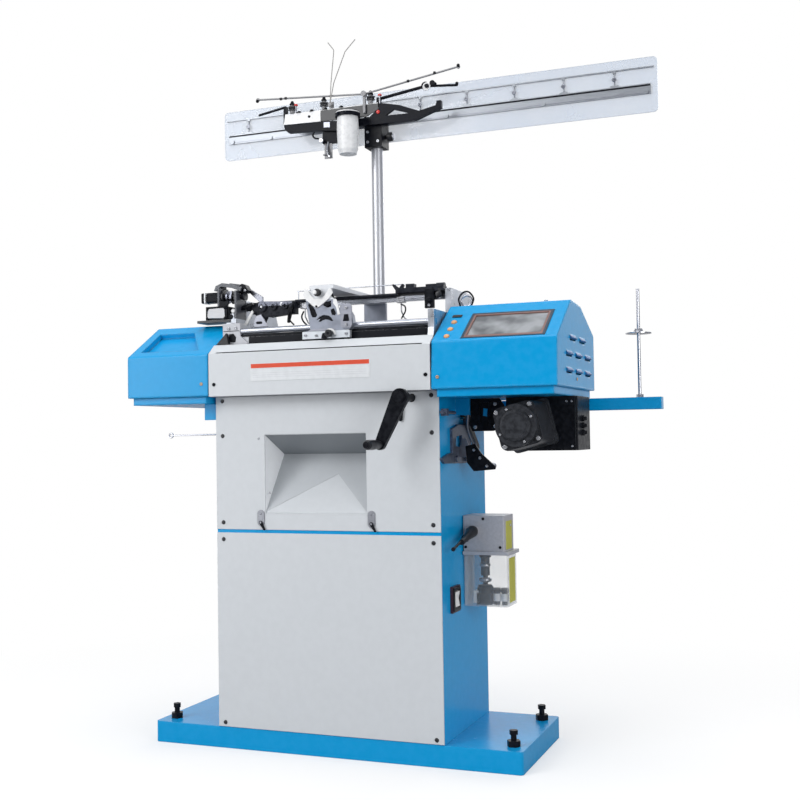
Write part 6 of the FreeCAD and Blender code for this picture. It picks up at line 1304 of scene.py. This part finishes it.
@dataclass
class Selector:
    """The selector drive over the left cover."""

    block_low: Point = (-433.0, -127.0, 1283.0)
    block_high: Point = (-362.0, -127.0, 1323.0)
    rim: float = 2.0
    arm: Outline = field(default_factory=lambda: [
        (-408, 1374), (-402, 1389), (-380, 1397), (-344, 1391), (-312, 1378), (-316, 1368), (-346, 1380),
        (-380, 1386), (-395, 1382), (-399, 1372),
    ])

    def build(self, bench: Bench) -> None:
        """Make the block's face, the stops, the motor's trim, the arms over it and the drum's clamp.

        Args:
            bench: Where pieces are finished.
        """
        low, high, rim = self.block_low, self.block_high, self.rim
        bench.keep("selector_rim_plate", Form().block(
            (low[0] - rim, -130, low[2]), (high[0] + rim, -127, high[2] + rim)), Slot.BLACK)
        bench.keep("selector_face_plate", Form().slab(
            [(-425, 1289), (-372, 1287), (-367, 1292), (-368, 1314), (-373, 1319), (-421, 1318), (-427, 1312),
             (-428, 1293)], Axis.Y, -133, 3.2), Slot.STEEL, soften=1.0, finish="satin_plate")
        corners = [(-428, -130, 1319), (-366, -130, 1320), (-429, -130, 1288), (-367, -130, 1287)]
        bench.keep("selector_corner_screws", Form().screws(corners, FRONT, 4.4, Head.SOCKET), Slot.BLACK, soften=0.3)
        bench.keep("selector_side_strip", Form().block((-362, -126, 1283), (-355, -80, 1323)), Slot.BLACK)
        bench.keep("selector_stop_block", Form().block((-354, -122, 1283), (-336, -82, 1298)).turned(
            [(0, 6), (4, 6), (5, 8), (10, 8), (12, 5)], (-345, -122, 1290), FRONT), Slot.BLACK)
        bench.keep("selector_white_knob", Form().block((-352, -118, 1297), (-338, -104, 1302)).turned(
            [(0, 7.5), (8, 7.5), (10, 5.5), (10, 2)], (-344, -112, 1309), FRONT), Slot.WHITE_PLASTIC)
        bench.keep("selector_motor_band", Form().slab(
            [(-117.2, 1340), (-115, 1337.8), (-85, 1337.8), (-82.8, 1340), (-82.8, 1370), (-85, 1372.2), (-115, 1372.2),
             (-117.2, 1370)], Axis.X, -449, 4), Slot.WHITE_PLASTIC)
        fins = Form()
        for x0, x1, z0, z1 in ((-440, -400, 1343, 1346), (-440, -400, 1363, 1366), (-440, -437, 1346, 1363),
                               (-403, -400, 1346, 1363)):
            fins.block((x0, -117.0, z0), (x1, -115.5, z1))
        bench.keep("selector_motor_fins", fins, Slot.BLACK, soften=0.3)
        bench.keep("selector_motor_end", Form().slab(
            [(-118, 1338), (-82, 1338), (-82, 1374), (-118, 1374)], Axis.X, -398.5, 4.4), Slot.ZINC,
            finish="satin_plate")
        self._arms(bench)
        bench.keep("selector_drum_clamp", Form().slab(
            [(-388, 1343), (-370, 1338), (-356, 1341), (-352, 1333), (-362, 1324), (-386, 1323)], Axis.Y, -131, 6),
            Slot.BLACK)

    def _arms(self, bench: Bench) -> None:
        """Make the two bent arms over the motor, their saddle, their end and its bolts.

        Args:
            bench: Where pieces are finished.
        """
        bench.keep("selector_top_arm", Form().slab(self.arm, Axis.Y, -126, 7), Slot.ZINC, finish="dark_iron")
        back_arm = [(x + 10, z + 3) for x, z in self.arm[1:8]]
        bench.keep("selector_back_arm", Form().slab(back_arm, Axis.Y, -92, 8), Slot.ZINC, finish="dark_iron")
        bench.keep("selector_rod_saddle", Form().block((-396, -114, 1381), (-386, -86, 1389)), Slot.BLACK)
        bench.keep("selector_rod_end", Form().slab(
            [(-334, 1362), (-331, 1382), (-318, 1393), (-306, 1388), (-296, 1371), (-306, 1363), (-318, 1369)],
            Axis.Y, -113, 26), Slot.BLACK)
        bench.keep("selector_end_bolts", Form().screws(
            [(-320, -113, 1380), (-305, -113, 1371)], FRONT, 3.6, Head.SOCKET), Slot.ZINC, soften=0.3)


@dataclass
class TensionUnit:
    """The small parts of the yarn tension unit on the mast."""

    plate_front: float = 177.0
    post_y: float = 178.0
    posts: list[float] = field(default_factory=lambda: [-281.0, -165.0, 1.0])

    def build(self, bench: Bench) -> None:
        """Make the posts' springs and caps, the plate's bolts, rod ends, rings, hooks and the clamp's trim.

        Args:
            bench: Where pieces are finished.
        """
        y = self.post_y
        caps, springs = Form(), Form()
        for x in self.posts:
            caps.turned([(0, 9), (5, 9), (7, 6), (12, 5), (14, 3)], (x, y, 2020), UP)
            springs.turned([(0, 5), (2, 8), (4, 5), (6, 8), (8, 5), (10, 8), (12, 5)], (x, y, 1994), UP)
            springs.turned([(0, 12), (2, 13), (4, 12)], (x, y, 2007), UP)
        bench.keep("post_caps", caps, Slot.BLACK)
        bench.keep("post_springs", springs, Slot.BLACK_PLASTIC, soften=0.2)
        collars, feet = Form(), Form()
        for x, z in ((-267, 2016), (33, 2013)):
            collars.turned([(0, 6.4), (5, 6.4), (6, 5)], (x, y, z), UP)
            feet.turned([(0, 3), (26, 3)], (x, y, z - 25), UP)
        bench.keep("post_red_collars", collars, Slot.RED)
        bench.keep("post_collar_feet", feet, Slot.ZINC, soften=0.2)
        tops = [(x, y, 1992) for x in (-256, -210, -160, -103)]
        bench.keep("plate_top_bolts", Form().screws(tops, UP, 6.0, Head.HEX), Slot.BLACK, soften=0.3)
        bench.keep("plate_front_bolt", Form().screws(
            [(-219, self.plate_front, 1975)], FRONT, 4.5, Head.PAN), Slot.BLACK, soften=0.3)
        bench.keep("beam_red_stop", Form().turned(
            [(0, 6), (3, 6), (4, 4)], (26, 180, 1962), FRONT), Slot.RED, soften=0.3)
        bench.keep("tension_clip", Form().slab(
            [(-172, 1953), (-103, 1946), (-101, 1920), (-116, 1914), (-170, 1921)], Axis.Y, 169, 8), Slot.BLACK)
        bench.keep("tension_clip_plate", Form().slab(
            [(-163, 1948), (-140, 1946), (-140, 1928), (-163, 1930)], Axis.Y, 167.5, 2), Slot.ZINC, finish="dull_steel")
        bench.keep("tension_lower_hook", Form().tube(
            [(-204, 182, 1922), (-206, 176, 1910), (-196, 172, 1899), (-184, 172, 1896), (-172, 172, 1887)], 3.0),
            Slot.BLACK)
        bench.keep("tension_lower_ring", Form().turned(
            [(0, 7), (3, 9), (6, 7)], (-172, 170, 1888), FRONT), Slot.ZINC)
        bench.keep("tension_drop_guide", Form().tube(
            [(-153, 182, 1884), (-155, 176, 1862), (-150, 172, 1840), (-143, 172, 1832)], 4.0), Slot.CHROME)
        self._rods(bench)
        self._clamp(bench)

    def _rods(self, bench: Bench) -> None:
        """Put the balls, beads and ring on the two rods.

        Args:
            bench: Where pieces are finished.
        """
        ball = [(-5, 1.5), (-4, 4), (-1.5, 5.6), (1.5, 5.6), (4, 4), (5, 1.5)]
        bead = [(-4, 2.5), (-3, 4.6), (3, 4.6), (4, 2.5)]
        bench.keep("rod_end_balls", Form().turned(ball, (-407, 170, 2047), RIGHT).turned(
            ball, (303, 170, 2074), RIGHT), Slot.BLACK, soften=0.0)
        beads = Form()
        for x, z in ((-319, 2044), (-301, 2044), (134, 2046), (224, 2061)):
            beads.turned(bead, (x, 170, z), RIGHT)
        bench.keep("rod_beads", beads, Slot.BLACK_PLASTIC, soften=0.0)
        bench.keep("guide_ring_eye", Form().turned(
            [(0, 12), (5, 13), (5, 9), (3, 8), (3, 3), (4.5, 2)], (194, 180, 2023), FRONT), Slot.WHITE_PLASTIC)
        bench.keep("guide_ring_pad", Form().turned([(0, 7), (3, 7), (5, 4)], (196, 175, 2024), FRONT), Slot.BLACK)
        bench.keep("guide_end_block", Form().turned(ball, (222, 178, 2028), FRONT).turned(
            ball, (294, 181, 2021), RIGHT), Slot.BLACK, soften=0.0)

    @staticmethod
    def _clamp(bench: Bench) -> None:
        """Make the ring of the clamp's knob and the clamps' screws.

        Args:
            bench: Where pieces are finished.
        """
        bench.keep("clamp_knob_ring", Form().turned(
            [(0, 12), (2.5, 12), (3, 10), (3, 6)], (57, 230, 1891), RIGHT), Slot.ZINC, Body.MAST_KNOB)
        bench.keep("clamp_screws", Form().screws(
            [(-18, 196, 1905), (-18, 196, 1872), (18, 196, 1872)], FRONT, 5.0, Head.SOCKET), Slot.ZINC, soften=0.3)
        bench.keep("lower_clamp_screws", Form().screws(
            [(-30, 207, 640), (30, 207, 640), (-30, 207, 980), (30, 207, 980)], FRONT, 4.0, Head.SOCKET), Slot.ZINC,
            soften=0.3)


@dataclass
class GuideSheet:
    """Trim of the long clear guide plate."""

    rail_ends: tuple[float, float] = (-566.0, 882.0)
    guides: list[float] = field(default_factory=lambda: [-490, -332, -174, -16, 142, 300, 458, 616, 774])

    def build(self, bench: Bench) -> None:
        """Make the yarn eyes on the guides, and the rail's dark inlay and groove.

        Args:
            bench: Where pieces are finished.
        """
        eyes = Form()
        for x in self.guides:
            eyes.turned([(0, 6), (3, 7), (5, 5), (5, 2.2), (2, 2)], (x, 259, 1992), FRONT, 20)
        bench.keep("yarn_eyes", eyes, Slot.ZINC, soften=0.0, finish="dull_steel")
        left, right = self.rail_ends
        bench.keep("rail_inlay", Form().block((left, 258.2, 1962), (right, 259.2, 1967)), Slot.BLACK, soften=0.2)
        bench.keep("rail_groove", Form().block((left, 258.2, 1942), (right, 259.2, 1944)), Slot.ZINC, soften=0.2,
                   finish="dull_steel")


@dataclass
class DriveSide:
    """What stands between the column and the motor under the control box."""

    motor_axis: tuple[float, float] = (575.0, 939.0)
    guard_y: float = -58.0

    def build(self, bench: Bench) -> None:
        """Make the belt guard, the linkage's arm and wedge, the motor's face ring and the screws.

        Args:
            bench: Where pieces are finished.
        """
        y = self.guard_y
        bench.keep("belt_guard", Form().slab(
            [(354, 1020), (483, 1020), (496, 1000), (496, 934), (462, 926), (400, 926), (392, 948), (398, 984),
             (378, 1000), (354, 1002)], Axis.Y, y, 8), Slot.BLACK, soften=1.2)
        bench.keep("belt_guard_ribs", Form().block((420, y - 3, 950), (426, y, 1008)).block(
            (452, y - 3, 936), (458, y, 1012)).block((404, y - 3, 1008), (484, y, 1013)), Slot.BLACK, soften=0.6)
        bench.keep("belt_guard_window", Form().slab(
            [(434, 970), (446, 968), (448, 990), (436, 992)], Axis.Y, y - 1.5, 1.8), Slot.BLUE, soften=0.2)
        bench.keep("belt_guard_bolts", Form().screws(
            [(470, y, 1004), (470, y, 940), (410, y, 938), (388, y, 1010)], FRONT, 4.2, Head.HEX), Slot.ZINC,
            soften=0.3)
        bench.keep("linkage_arm", Form().tube(
            [(366, -62, 1003), (386, -64, 996), (391, -64, 972), (389, -62, 940), (398, -58, 905), (408, -56, 884)],
            5.0), Slot.ZINC, finish="dull_steel")
        bench.keep("linkage_wedge", Form().slab(
            [(380, 884), (408, 890), (428, 862), (470, 824), (468, 816), (404, 811), (384, 836)], Axis.Y, -62, 6),
            Slot.BLACK, soften=1.0)
        bench.keep("linkage_wedge_screws", Form().screws(
            [(424, -62, 849), (406, -62, 872), (444, -62, 826)], FRONT, 4.4, Head.SOCKET), Slot.ZINC, soften=0.3)
        bench.keep("linkage_bright_plate", Form().slab(
            [(358, 870), (368, 906), (382, 906), (392, 872), (380, 852), (360, 852)], Axis.Y, -58, 4), Slot.ZINC,
            soften=0.8, finish="dull_steel")
        x, z = self.motor_axis
        bench.keep("motor_face_ring", Form().turned(
            [(0, 40), (1.5, 42), (3, 42), (4, 40), (4, 34), (2.5, 33), (2.5, 8)], (x, -225, z), FRONT, 40), Slot.BLACK,
            finish="cover_grey")
        bench.keep("drive_box_screws", Form().screws(
            [(676, -48, 1006), (690, -48, 1006), (690, -48, 880), (512, -48, 880)], FRONT, 3.4, Head.PAN), Slot.ZINC,
            soften=0.2)


@dataclass
class GloveChute:
    """Thin sheets of painted light and shade laid in the glove chute, and the rivets beside it."""

    left: float = -191.0
    right: float = 133.0
    mouth: Point = (-210.0, 699.1, 924.6)
    throat: tuple[float, float] = (-87.0, 867.0)
    apex: Point = (9.0, -131.0, 807.0)
    sheet: float = 0.5

    def build(self, bench: Bench) -> None:
        """Lay painted light on the cheek and painted shade on the ramp and the roof, and set the rivets.

        Args:
            bench: Where pieces are finished.
        """
        (front, low, high), (back, fold) = self.mouth, self.throat
        a, b = (self.left, front, low), (self.left, back, fold)
        e, g = (self.right, front, low), (self.right, back, fold)
        roof = [(self.left, front, high), b, g, (self.right, front, high)]
        cheek = [a, (self.left, front, high), b]
        # The ramp's painted shade leaves out the lit triangle at the mouth, which keeps the ramp's own grey.
        for name, corners, aim, finish in (
            ("chute_cheek_painted_light", cheek, RIGHT, "chute_painted_light"),
            ("chute_ramp_painted_shade", [a, b, g, e, self.apex], (0, -0.8, 0.6), "chute_painted_shade"),
            ("chute_roof_painted_shade", roof, (0, -0.4, -0.9), "chute_painted_dark_shade"),
        ):
            bench.keep(name, Form().sheet(corners, self.sheet, aim), Slot.GREY, soften=0.0, finish=finish)
        bench.keep("chute_rivets", Form().screws(
            [(-211, -213, 915), (-181, -204, 755)], FRONT, 3.6, Head.PAN), Slot.ZINC, soften=0.2)


@dataclass
class Lubricator:
    """The lubricator's fittings, seen on its housing and through its tank."""

    filters: tuple[float, ...] = (446.0, 470.0)
    housing_front: float = -25.0

    def build(self, bench: Bench) -> None:
        """Make the pump's rings and hood, the filters, the housing's screws, the lever's boss and the outlet.

        Args:
            bench: Where pieces are finished.
        """
        bench.keep("pump_rings", Form().turned(
            [(0, 13), (3, 16), (8, 16), (11, 13)], (411, 10, 530), UP).turned(
            [(0, 15), (4, 18.5), (10, 18.5), (13, 15)], (411, 10, 486), UP), Slot.ZINC, soften=0.3)
        bench.keep("pump_hood", Form().turned(
            [(0, 22.5), (6, 24), (18, 24), (26, 19)], (411, 10, 452), UP), Slot.BLACK)
        caps, bowls = Form(), Form()
        for x in self.filters:
            caps.turned([(0, 11.5), (9, 12.5), (12, 9)], (x, 10, 456), UP)
            bowls.turned([(0, 11.3), (20, 11.8), (22, 10)], (x, 10, 432), UP)
        bench.keep("filter_caps", caps, Slot.BLACK)
        bench.keep("filter_bowls", bowls, Slot.WHITE_PLASTIC)
        bench.keep("suction_block", Form().block((380, -8, 426), (399, 26, 462)), Slot.WHITE_PLASTIC, soften=1.5)
        front = self.housing_front
        bench.keep("housing_screws", Form().screws(
            [(418, front, 672), (364, front, 590), (468, front, 590)], FRONT, 4.2, Head.PAN), Slot.BLACK, soften=0.3)
        bench.keep("field_screw", Form().screws([(481, 38, 650)], RIGHT, 4.0, Head.PAN), Slot.ZINC, soften=0.3)
        bench.keep("lever_boss", Form().turned(
            [(-6, 8), (-3, 14), (6, 17), (16, 16), (60, 9.5), (96, 8.5)], (392, -40, 639), (-0.05, -0.96, -0.27)),
            Slot.BLACK_PLASTIC, Body.PUMP_LEVER, 0.6)
        bench.keep("housing_outlet", Form().turned(
            [(0, 8), (5, 8), (6, 6), (12, 6), (13, 4)], (366, front, 612), FRONT), Slot.BLACK)


@dataclass
class ControlBox:
    """Screws and trim of the control box and of the left cover."""

    front: float = -264.0
    side: float = 703.0
    slope: Vector = field(default_factory=lambda: Vector((0.0, -0.551318, 0.834295)))
    lean: Vector = field(default_factory=lambda: Vector((0.0, 0.834295, 0.551318)))
    socket: Vector = field(default_factory=lambda: Vector((389.0, -140.0, 1250.5)))
    cap_half: tuple[float, float] = (14.0, 6.0)
    cap_thick: float = 2.4

    def build(self, bench: Bench) -> None:
        """Make the corner screws, the side screw, the socket's cap and the lifting loop.

        Args:
            bench: Where pieces are finished.
        """
        bench.keep("cover_corner_screws", Form().screws(
            [(369, self.front, 1075), (-373, self.front, 1079)], FRONT, 5.0, Head.PAN), Slot.ZINC, soften=0.3,
            finish="bronze_screw")
        bench.keep("cover_side_screws", Form().screws([(self.side, -30, 1068)], RIGHT, 4.6, Head.PAN), Slot.ZINC,
                   soften=0.3, finish="bronze_screw")
        middle = self.socket + self.slope * 0.8
        wide, high = self.cap_half
        corners = [tuple(middle + Vector((across, 0, 0)) + self.lean * along)
                   for across, along in ((-wide, -high), (wide, -high), (wide, high), (-wide, high))]
        cap = Form().sheet(corners, self.cap_thick, self.slope)
        bench.keep("data_socket_cap", cap, Slot.BLACK_PLASTIC, soften=0.6)
        bench.keep("lifting_loop", Form().tube(
            [(596, 30, 1286), (598, 30, 1300), (604, 30, 1303), (610, 30, 1300), (612, 30, 1286)], 1.6), Slot.CHROME,
            soften=0.0)


@dataclass
class PowerSwitch:
    """The frame round the rocker of the power switch."""

    low: tuple[float, float] = (-140.0, 418.0)
    high: tuple[float, float] = (-80.0, 484.0)
    wall: float = 9.0
    back: float = 361.8
    front: float = 365.5

    def build(self, bench: Bench) -> None:
        """Make the dark frame.

        Args:
            bench: Where pieces are finished.
        """
        (y0, z0), (y1, z1), wall = self.low, self.high, self.wall
        rim = Form()
        for low, high in (
            ((y0, z0), (y1, z0 + wall)),
            ((y0, z1 - wall), (y1, z1)),
            ((y0, z0 + wall), (y0 + wall, z1 - wall)),
            ((y1 - wall, z0 + wall), (y1, z1 - wall)),
        ):
            rim.block((self.back, *low), (self.front, *high))
        bench.keep("switch_frame", rim, Slot.BLACK_PLASTIC, soften=0.8)


# ---------------------------------------------------------------------------------------------
# Studio
# ---------------------------------------------------------------------------------------------


@dataclass
class Softbox:
    """One large lamp, aimed at a point."""

    name: str
    place: Point
    target: Point
    width: float
    height: float
    power: float
    tint: Colour = WHITE

    def build(self) -> None:
        """Hang the lamp."""
        lamp = bpy.data.lights.new(self.name, "AREA")
        lamp.shape = "RECTANGLE"
        lamp.size = self.width
        lamp.size_y = self.height
        lamp.energy = self.power
        lamp.color = self.tint
        holder = bpy.data.objects.new(self.name, lamp)
        holder.location = self.place
        aim = Vector(self.target) - Vector(self.place)
        holder.rotation_euler = aim.to_track_quat("-Z", "Y").to_euler()
        bpy.context.scene.collection.objects.link(holder)


@dataclass(frozen=True)
class Air:
    """The light from all round, by direction, as matt surfaces and mirrors meet it."""

    below: Colour = (0.20, 0.21, 0.23)
    above: Colour = (0.90, 0.92, 0.95)
    strength: float = 0.62
    dark_flag: Colour = (0.02, 0.022, 0.03)
    pale_flag: Colour = (0.60, 0.62, 0.68)
    flags: float = 7.0
    right_wall: Colour = (0.34, 0.36, 0.40)
    ceiling: Colour = (0.62, 0.64, 0.68)
    ground: Colour = (0.30, 0.31, 0.34)
    mirrored: float = 0.9

    def build(self) -> None:
        """Make the world: even light, flags and walls in mirrors, plain white for the camera."""
        world = bpy.data.worlds.new("studio_air")
        bpy.context.scene.world = world
        graph = Graph.start(world)
        seen = graph.add("ShaderNodeLightPath")
        around = graph.add("ShaderNodeTexCoord")
        split = graph.add("ShaderNodeSeparateXYZ")
        graph.put(split, "Vector", around.outputs["Generated"])
        height = graph.remap(split.outputs["Z"], -0.35, 0.8)
        air = graph.blend(height, self.below, self.above)
        soft = graph.add("ShaderNodeBackground", Color=air, Strength=self.strength)
        mirrored = graph.add("ShaderNodeBackground", Color=self._mirrored(graph, split), Strength=self.mirrored)
        plain = graph.add("ShaderNodeBackground", Color=WHITE, Strength=1.0)
        inner = graph.mix(seen.outputs["Is Glossy Ray"], soft, mirrored)
        mix = graph.mix(seen.outputs["Is Camera Ray"], inner, plain)
        leave = graph.add("ShaderNodeOutputWorld")
        graph.put(leave, "Surface", mix.outputs[0])

    def _mirrored(self, graph: Graph, split: bpy.types.Node) -> bpy.types.NodeSocket:
        """Paint what mirrors see: dark and pale flags in front, walls behind, a ceiling and a ground.

        Args:
            graph: The world's tree.
            split: The direction's three parts.

        Returns:
            The colour's socket.
        """
        turn = graph.math("ARCTAN2", split.outputs["Y"], split.outputs["X"])
        bands = graph.math("SINE", graph.math("MULTIPLY", turn, self.flags))
        flags = graph.blend(graph.remap(bands, -0.1, 0.5), self.dark_flag, self.pale_flag)
        wall = graph.blend(graph.remap(split.outputs["X"], 0.12, 0.42), WHITE, self.right_wall)
        sides = graph.blend(graph.remap(split.outputs["Y"], 0.0, 0.35), flags, wall)
        lifted = graph.blend(graph.remap(split.outputs["Z"], 0.35, 0.8), sides, self.ceiling)
        return graph.blend(graph.remap(split.outputs["Z"], -0.5, -0.15), self.ground, lifted)


@dataclass
class Studio:
    """The pale floor, the surrounding light, the lamps and the camera."""

    camera_place: Point = (1.40899, -3.21743, 0.91045)
    yaw: float = 21.28
    pitch: float = 1.89
    roll: float = -0.9
    lens: float = 51.62
    sensor: float = 36.0
    view_reach: float = 60.0
    floor_radius: float = 14.0
    floor_drop: float = 0.0005
    floor_colour: Colour = (0.92, 0.92, 0.92)
    floor_bounce: Colour = (0.40, 0.40, 0.41)
    fade_reach: tuple[float, float] = (0.7, 2.2)
    fade_share: tuple[float, float] = (0.45, 1.0)
    lamps: list[Softbox] = field(default_factory=lambda: [
        Softbox("key_light", (-2.2, -3.8, 3.4), (0.0, -0.1, 1.0), 2.4, 2.0, 98.0),
        Softbox("sheen_light", (-3.4, -3.9, 1.35), (-0.5, -0.26, 1.1), 1.7, 2.4, 62.0),
        Softbox("fill_light", (3.9, -2.6, 1.3), (0.35, 0.0, 0.7), 2.2, 2.6, 84.0),
        Softbox("top_light", (0.2, -0.2, 4.8), (0.0, 0.0, 1.0), 3.0, 2.4, 75.0),
        Softbox("back_light", (0.5, 3.6, 2.8), (0.0, 0.0, 1.2), 3.0, 2.0, 45.0),
    ])

    def build(self) -> None:
        """Set up everything that is not part of the machine."""
        Air().build()
        self._floor()
        for lamp in self.lamps:
            lamp.build()
        self._camera()
        LOG.info("studio ready")

    def _floor(self) -> None:
        """A pale disc that fades to white away from the machine."""
        mesh = bpy.data.meshes.new("studio_floor")
        shape = bmesh.new()
        bmesh.ops.create_circle(shape, cap_ends=True, segments=96, radius=self.floor_radius)
        shape.to_mesh(mesh)
        shape.free()
        floor = bpy.data.objects.new("studio_floor", mesh)
        floor.location.z = CAD_LOW.z - self.floor_drop
        bpy.context.scene.collection.objects.link(floor)
        mesh.materials.append(self._floor_material())

    def _floor_material(self) -> bpy.types.Material:
        """Make the floor's matt white, which turns to plain white with distance.

        Returns:
            The floor's material.
        """
        material = bpy.data.materials.new("studio_floor")
        graph = Graph.start(material)
        place = graph.place()
        reach = graph.add("ShaderNodeVectorMath", operation="LENGTH")
        graph.put(reach, "0", place)
        seen = graph.add("ShaderNodeLightPath").outputs["Is Camera Ray"]
        fade = graph.math("MULTIPLY", graph.remap(reach.outputs["Value"], *self.fade_reach, *self.fade_share), seen)
        matt = graph.add("ShaderNodeBsdfPrincipled", Roughness=0.8)
        graph.put(matt, "Base Color", graph.blend(seen, self.floor_bounce, self.floor_colour))
        matt.inputs["Specular IOR Level"].default_value = 0.05
        white = graph.add("ShaderNodeEmission", Color=WHITE, Strength=1.0)
        mix = graph.mix(fade, matt, white)
        leave = graph.add("ShaderNodeOutputMaterial")
        graph.put(leave, "Surface", mix.outputs[0])
        return material

    def _camera(self) -> None:
        """The camera at the photograph's view."""
        lens = bpy.data.cameras.new("view")
        lens.sensor_width = self.sensor
        lens.lens = self.lens
        lens.clip_end = self.view_reach
        holder = bpy.data.objects.new("view", lens)
        yaw, pitch, roll = (math.radians(v) for v in (self.yaw, self.pitch, self.roll))
        forward = Vector((-math.sin(yaw) * math.cos(pitch), math.cos(yaw) * math.cos(pitch), math.sin(pitch)))
        right = Vector((math.cos(yaw), math.sin(yaw), 0.0))
        up = right.cross(forward)
        side = right * math.cos(roll) + up * math.sin(roll)
        top = up * math.cos(roll) - right * math.sin(roll)
        turn = Matrix((side, top, -forward)).transposed()
        holder.matrix_world = Matrix.Translation(self.camera_place) @ turn.to_4x4()
        bpy.context.scene.collection.objects.link(holder)
        bpy.context.scene.camera = holder


def main() -> None:
    """Build the studio and dress the machine, one sub-assembly after another."""
    logging.basicConfig(level=logging.INFO, format="%(name)s: %(message)s")
    bpy.context.scene.view_settings.view_transform = "Standard"
    Studio().build()
    shop = Shop(Effects())
    shop.dress_nodes()
    bench = Bench(shop)
    for assembly in (NeedleHead(), Carriage(), FeederBank(), Selector(), TensionUnit(), GuideSheet(), DriveSide(),
                     GloveChute(), Lubricator(), ControlBox(), PowerSwitch()):
        assembly.build(bench)
    LOG.info("made %d pieces", bench.count)


if __name__ == "__main__":
    main()
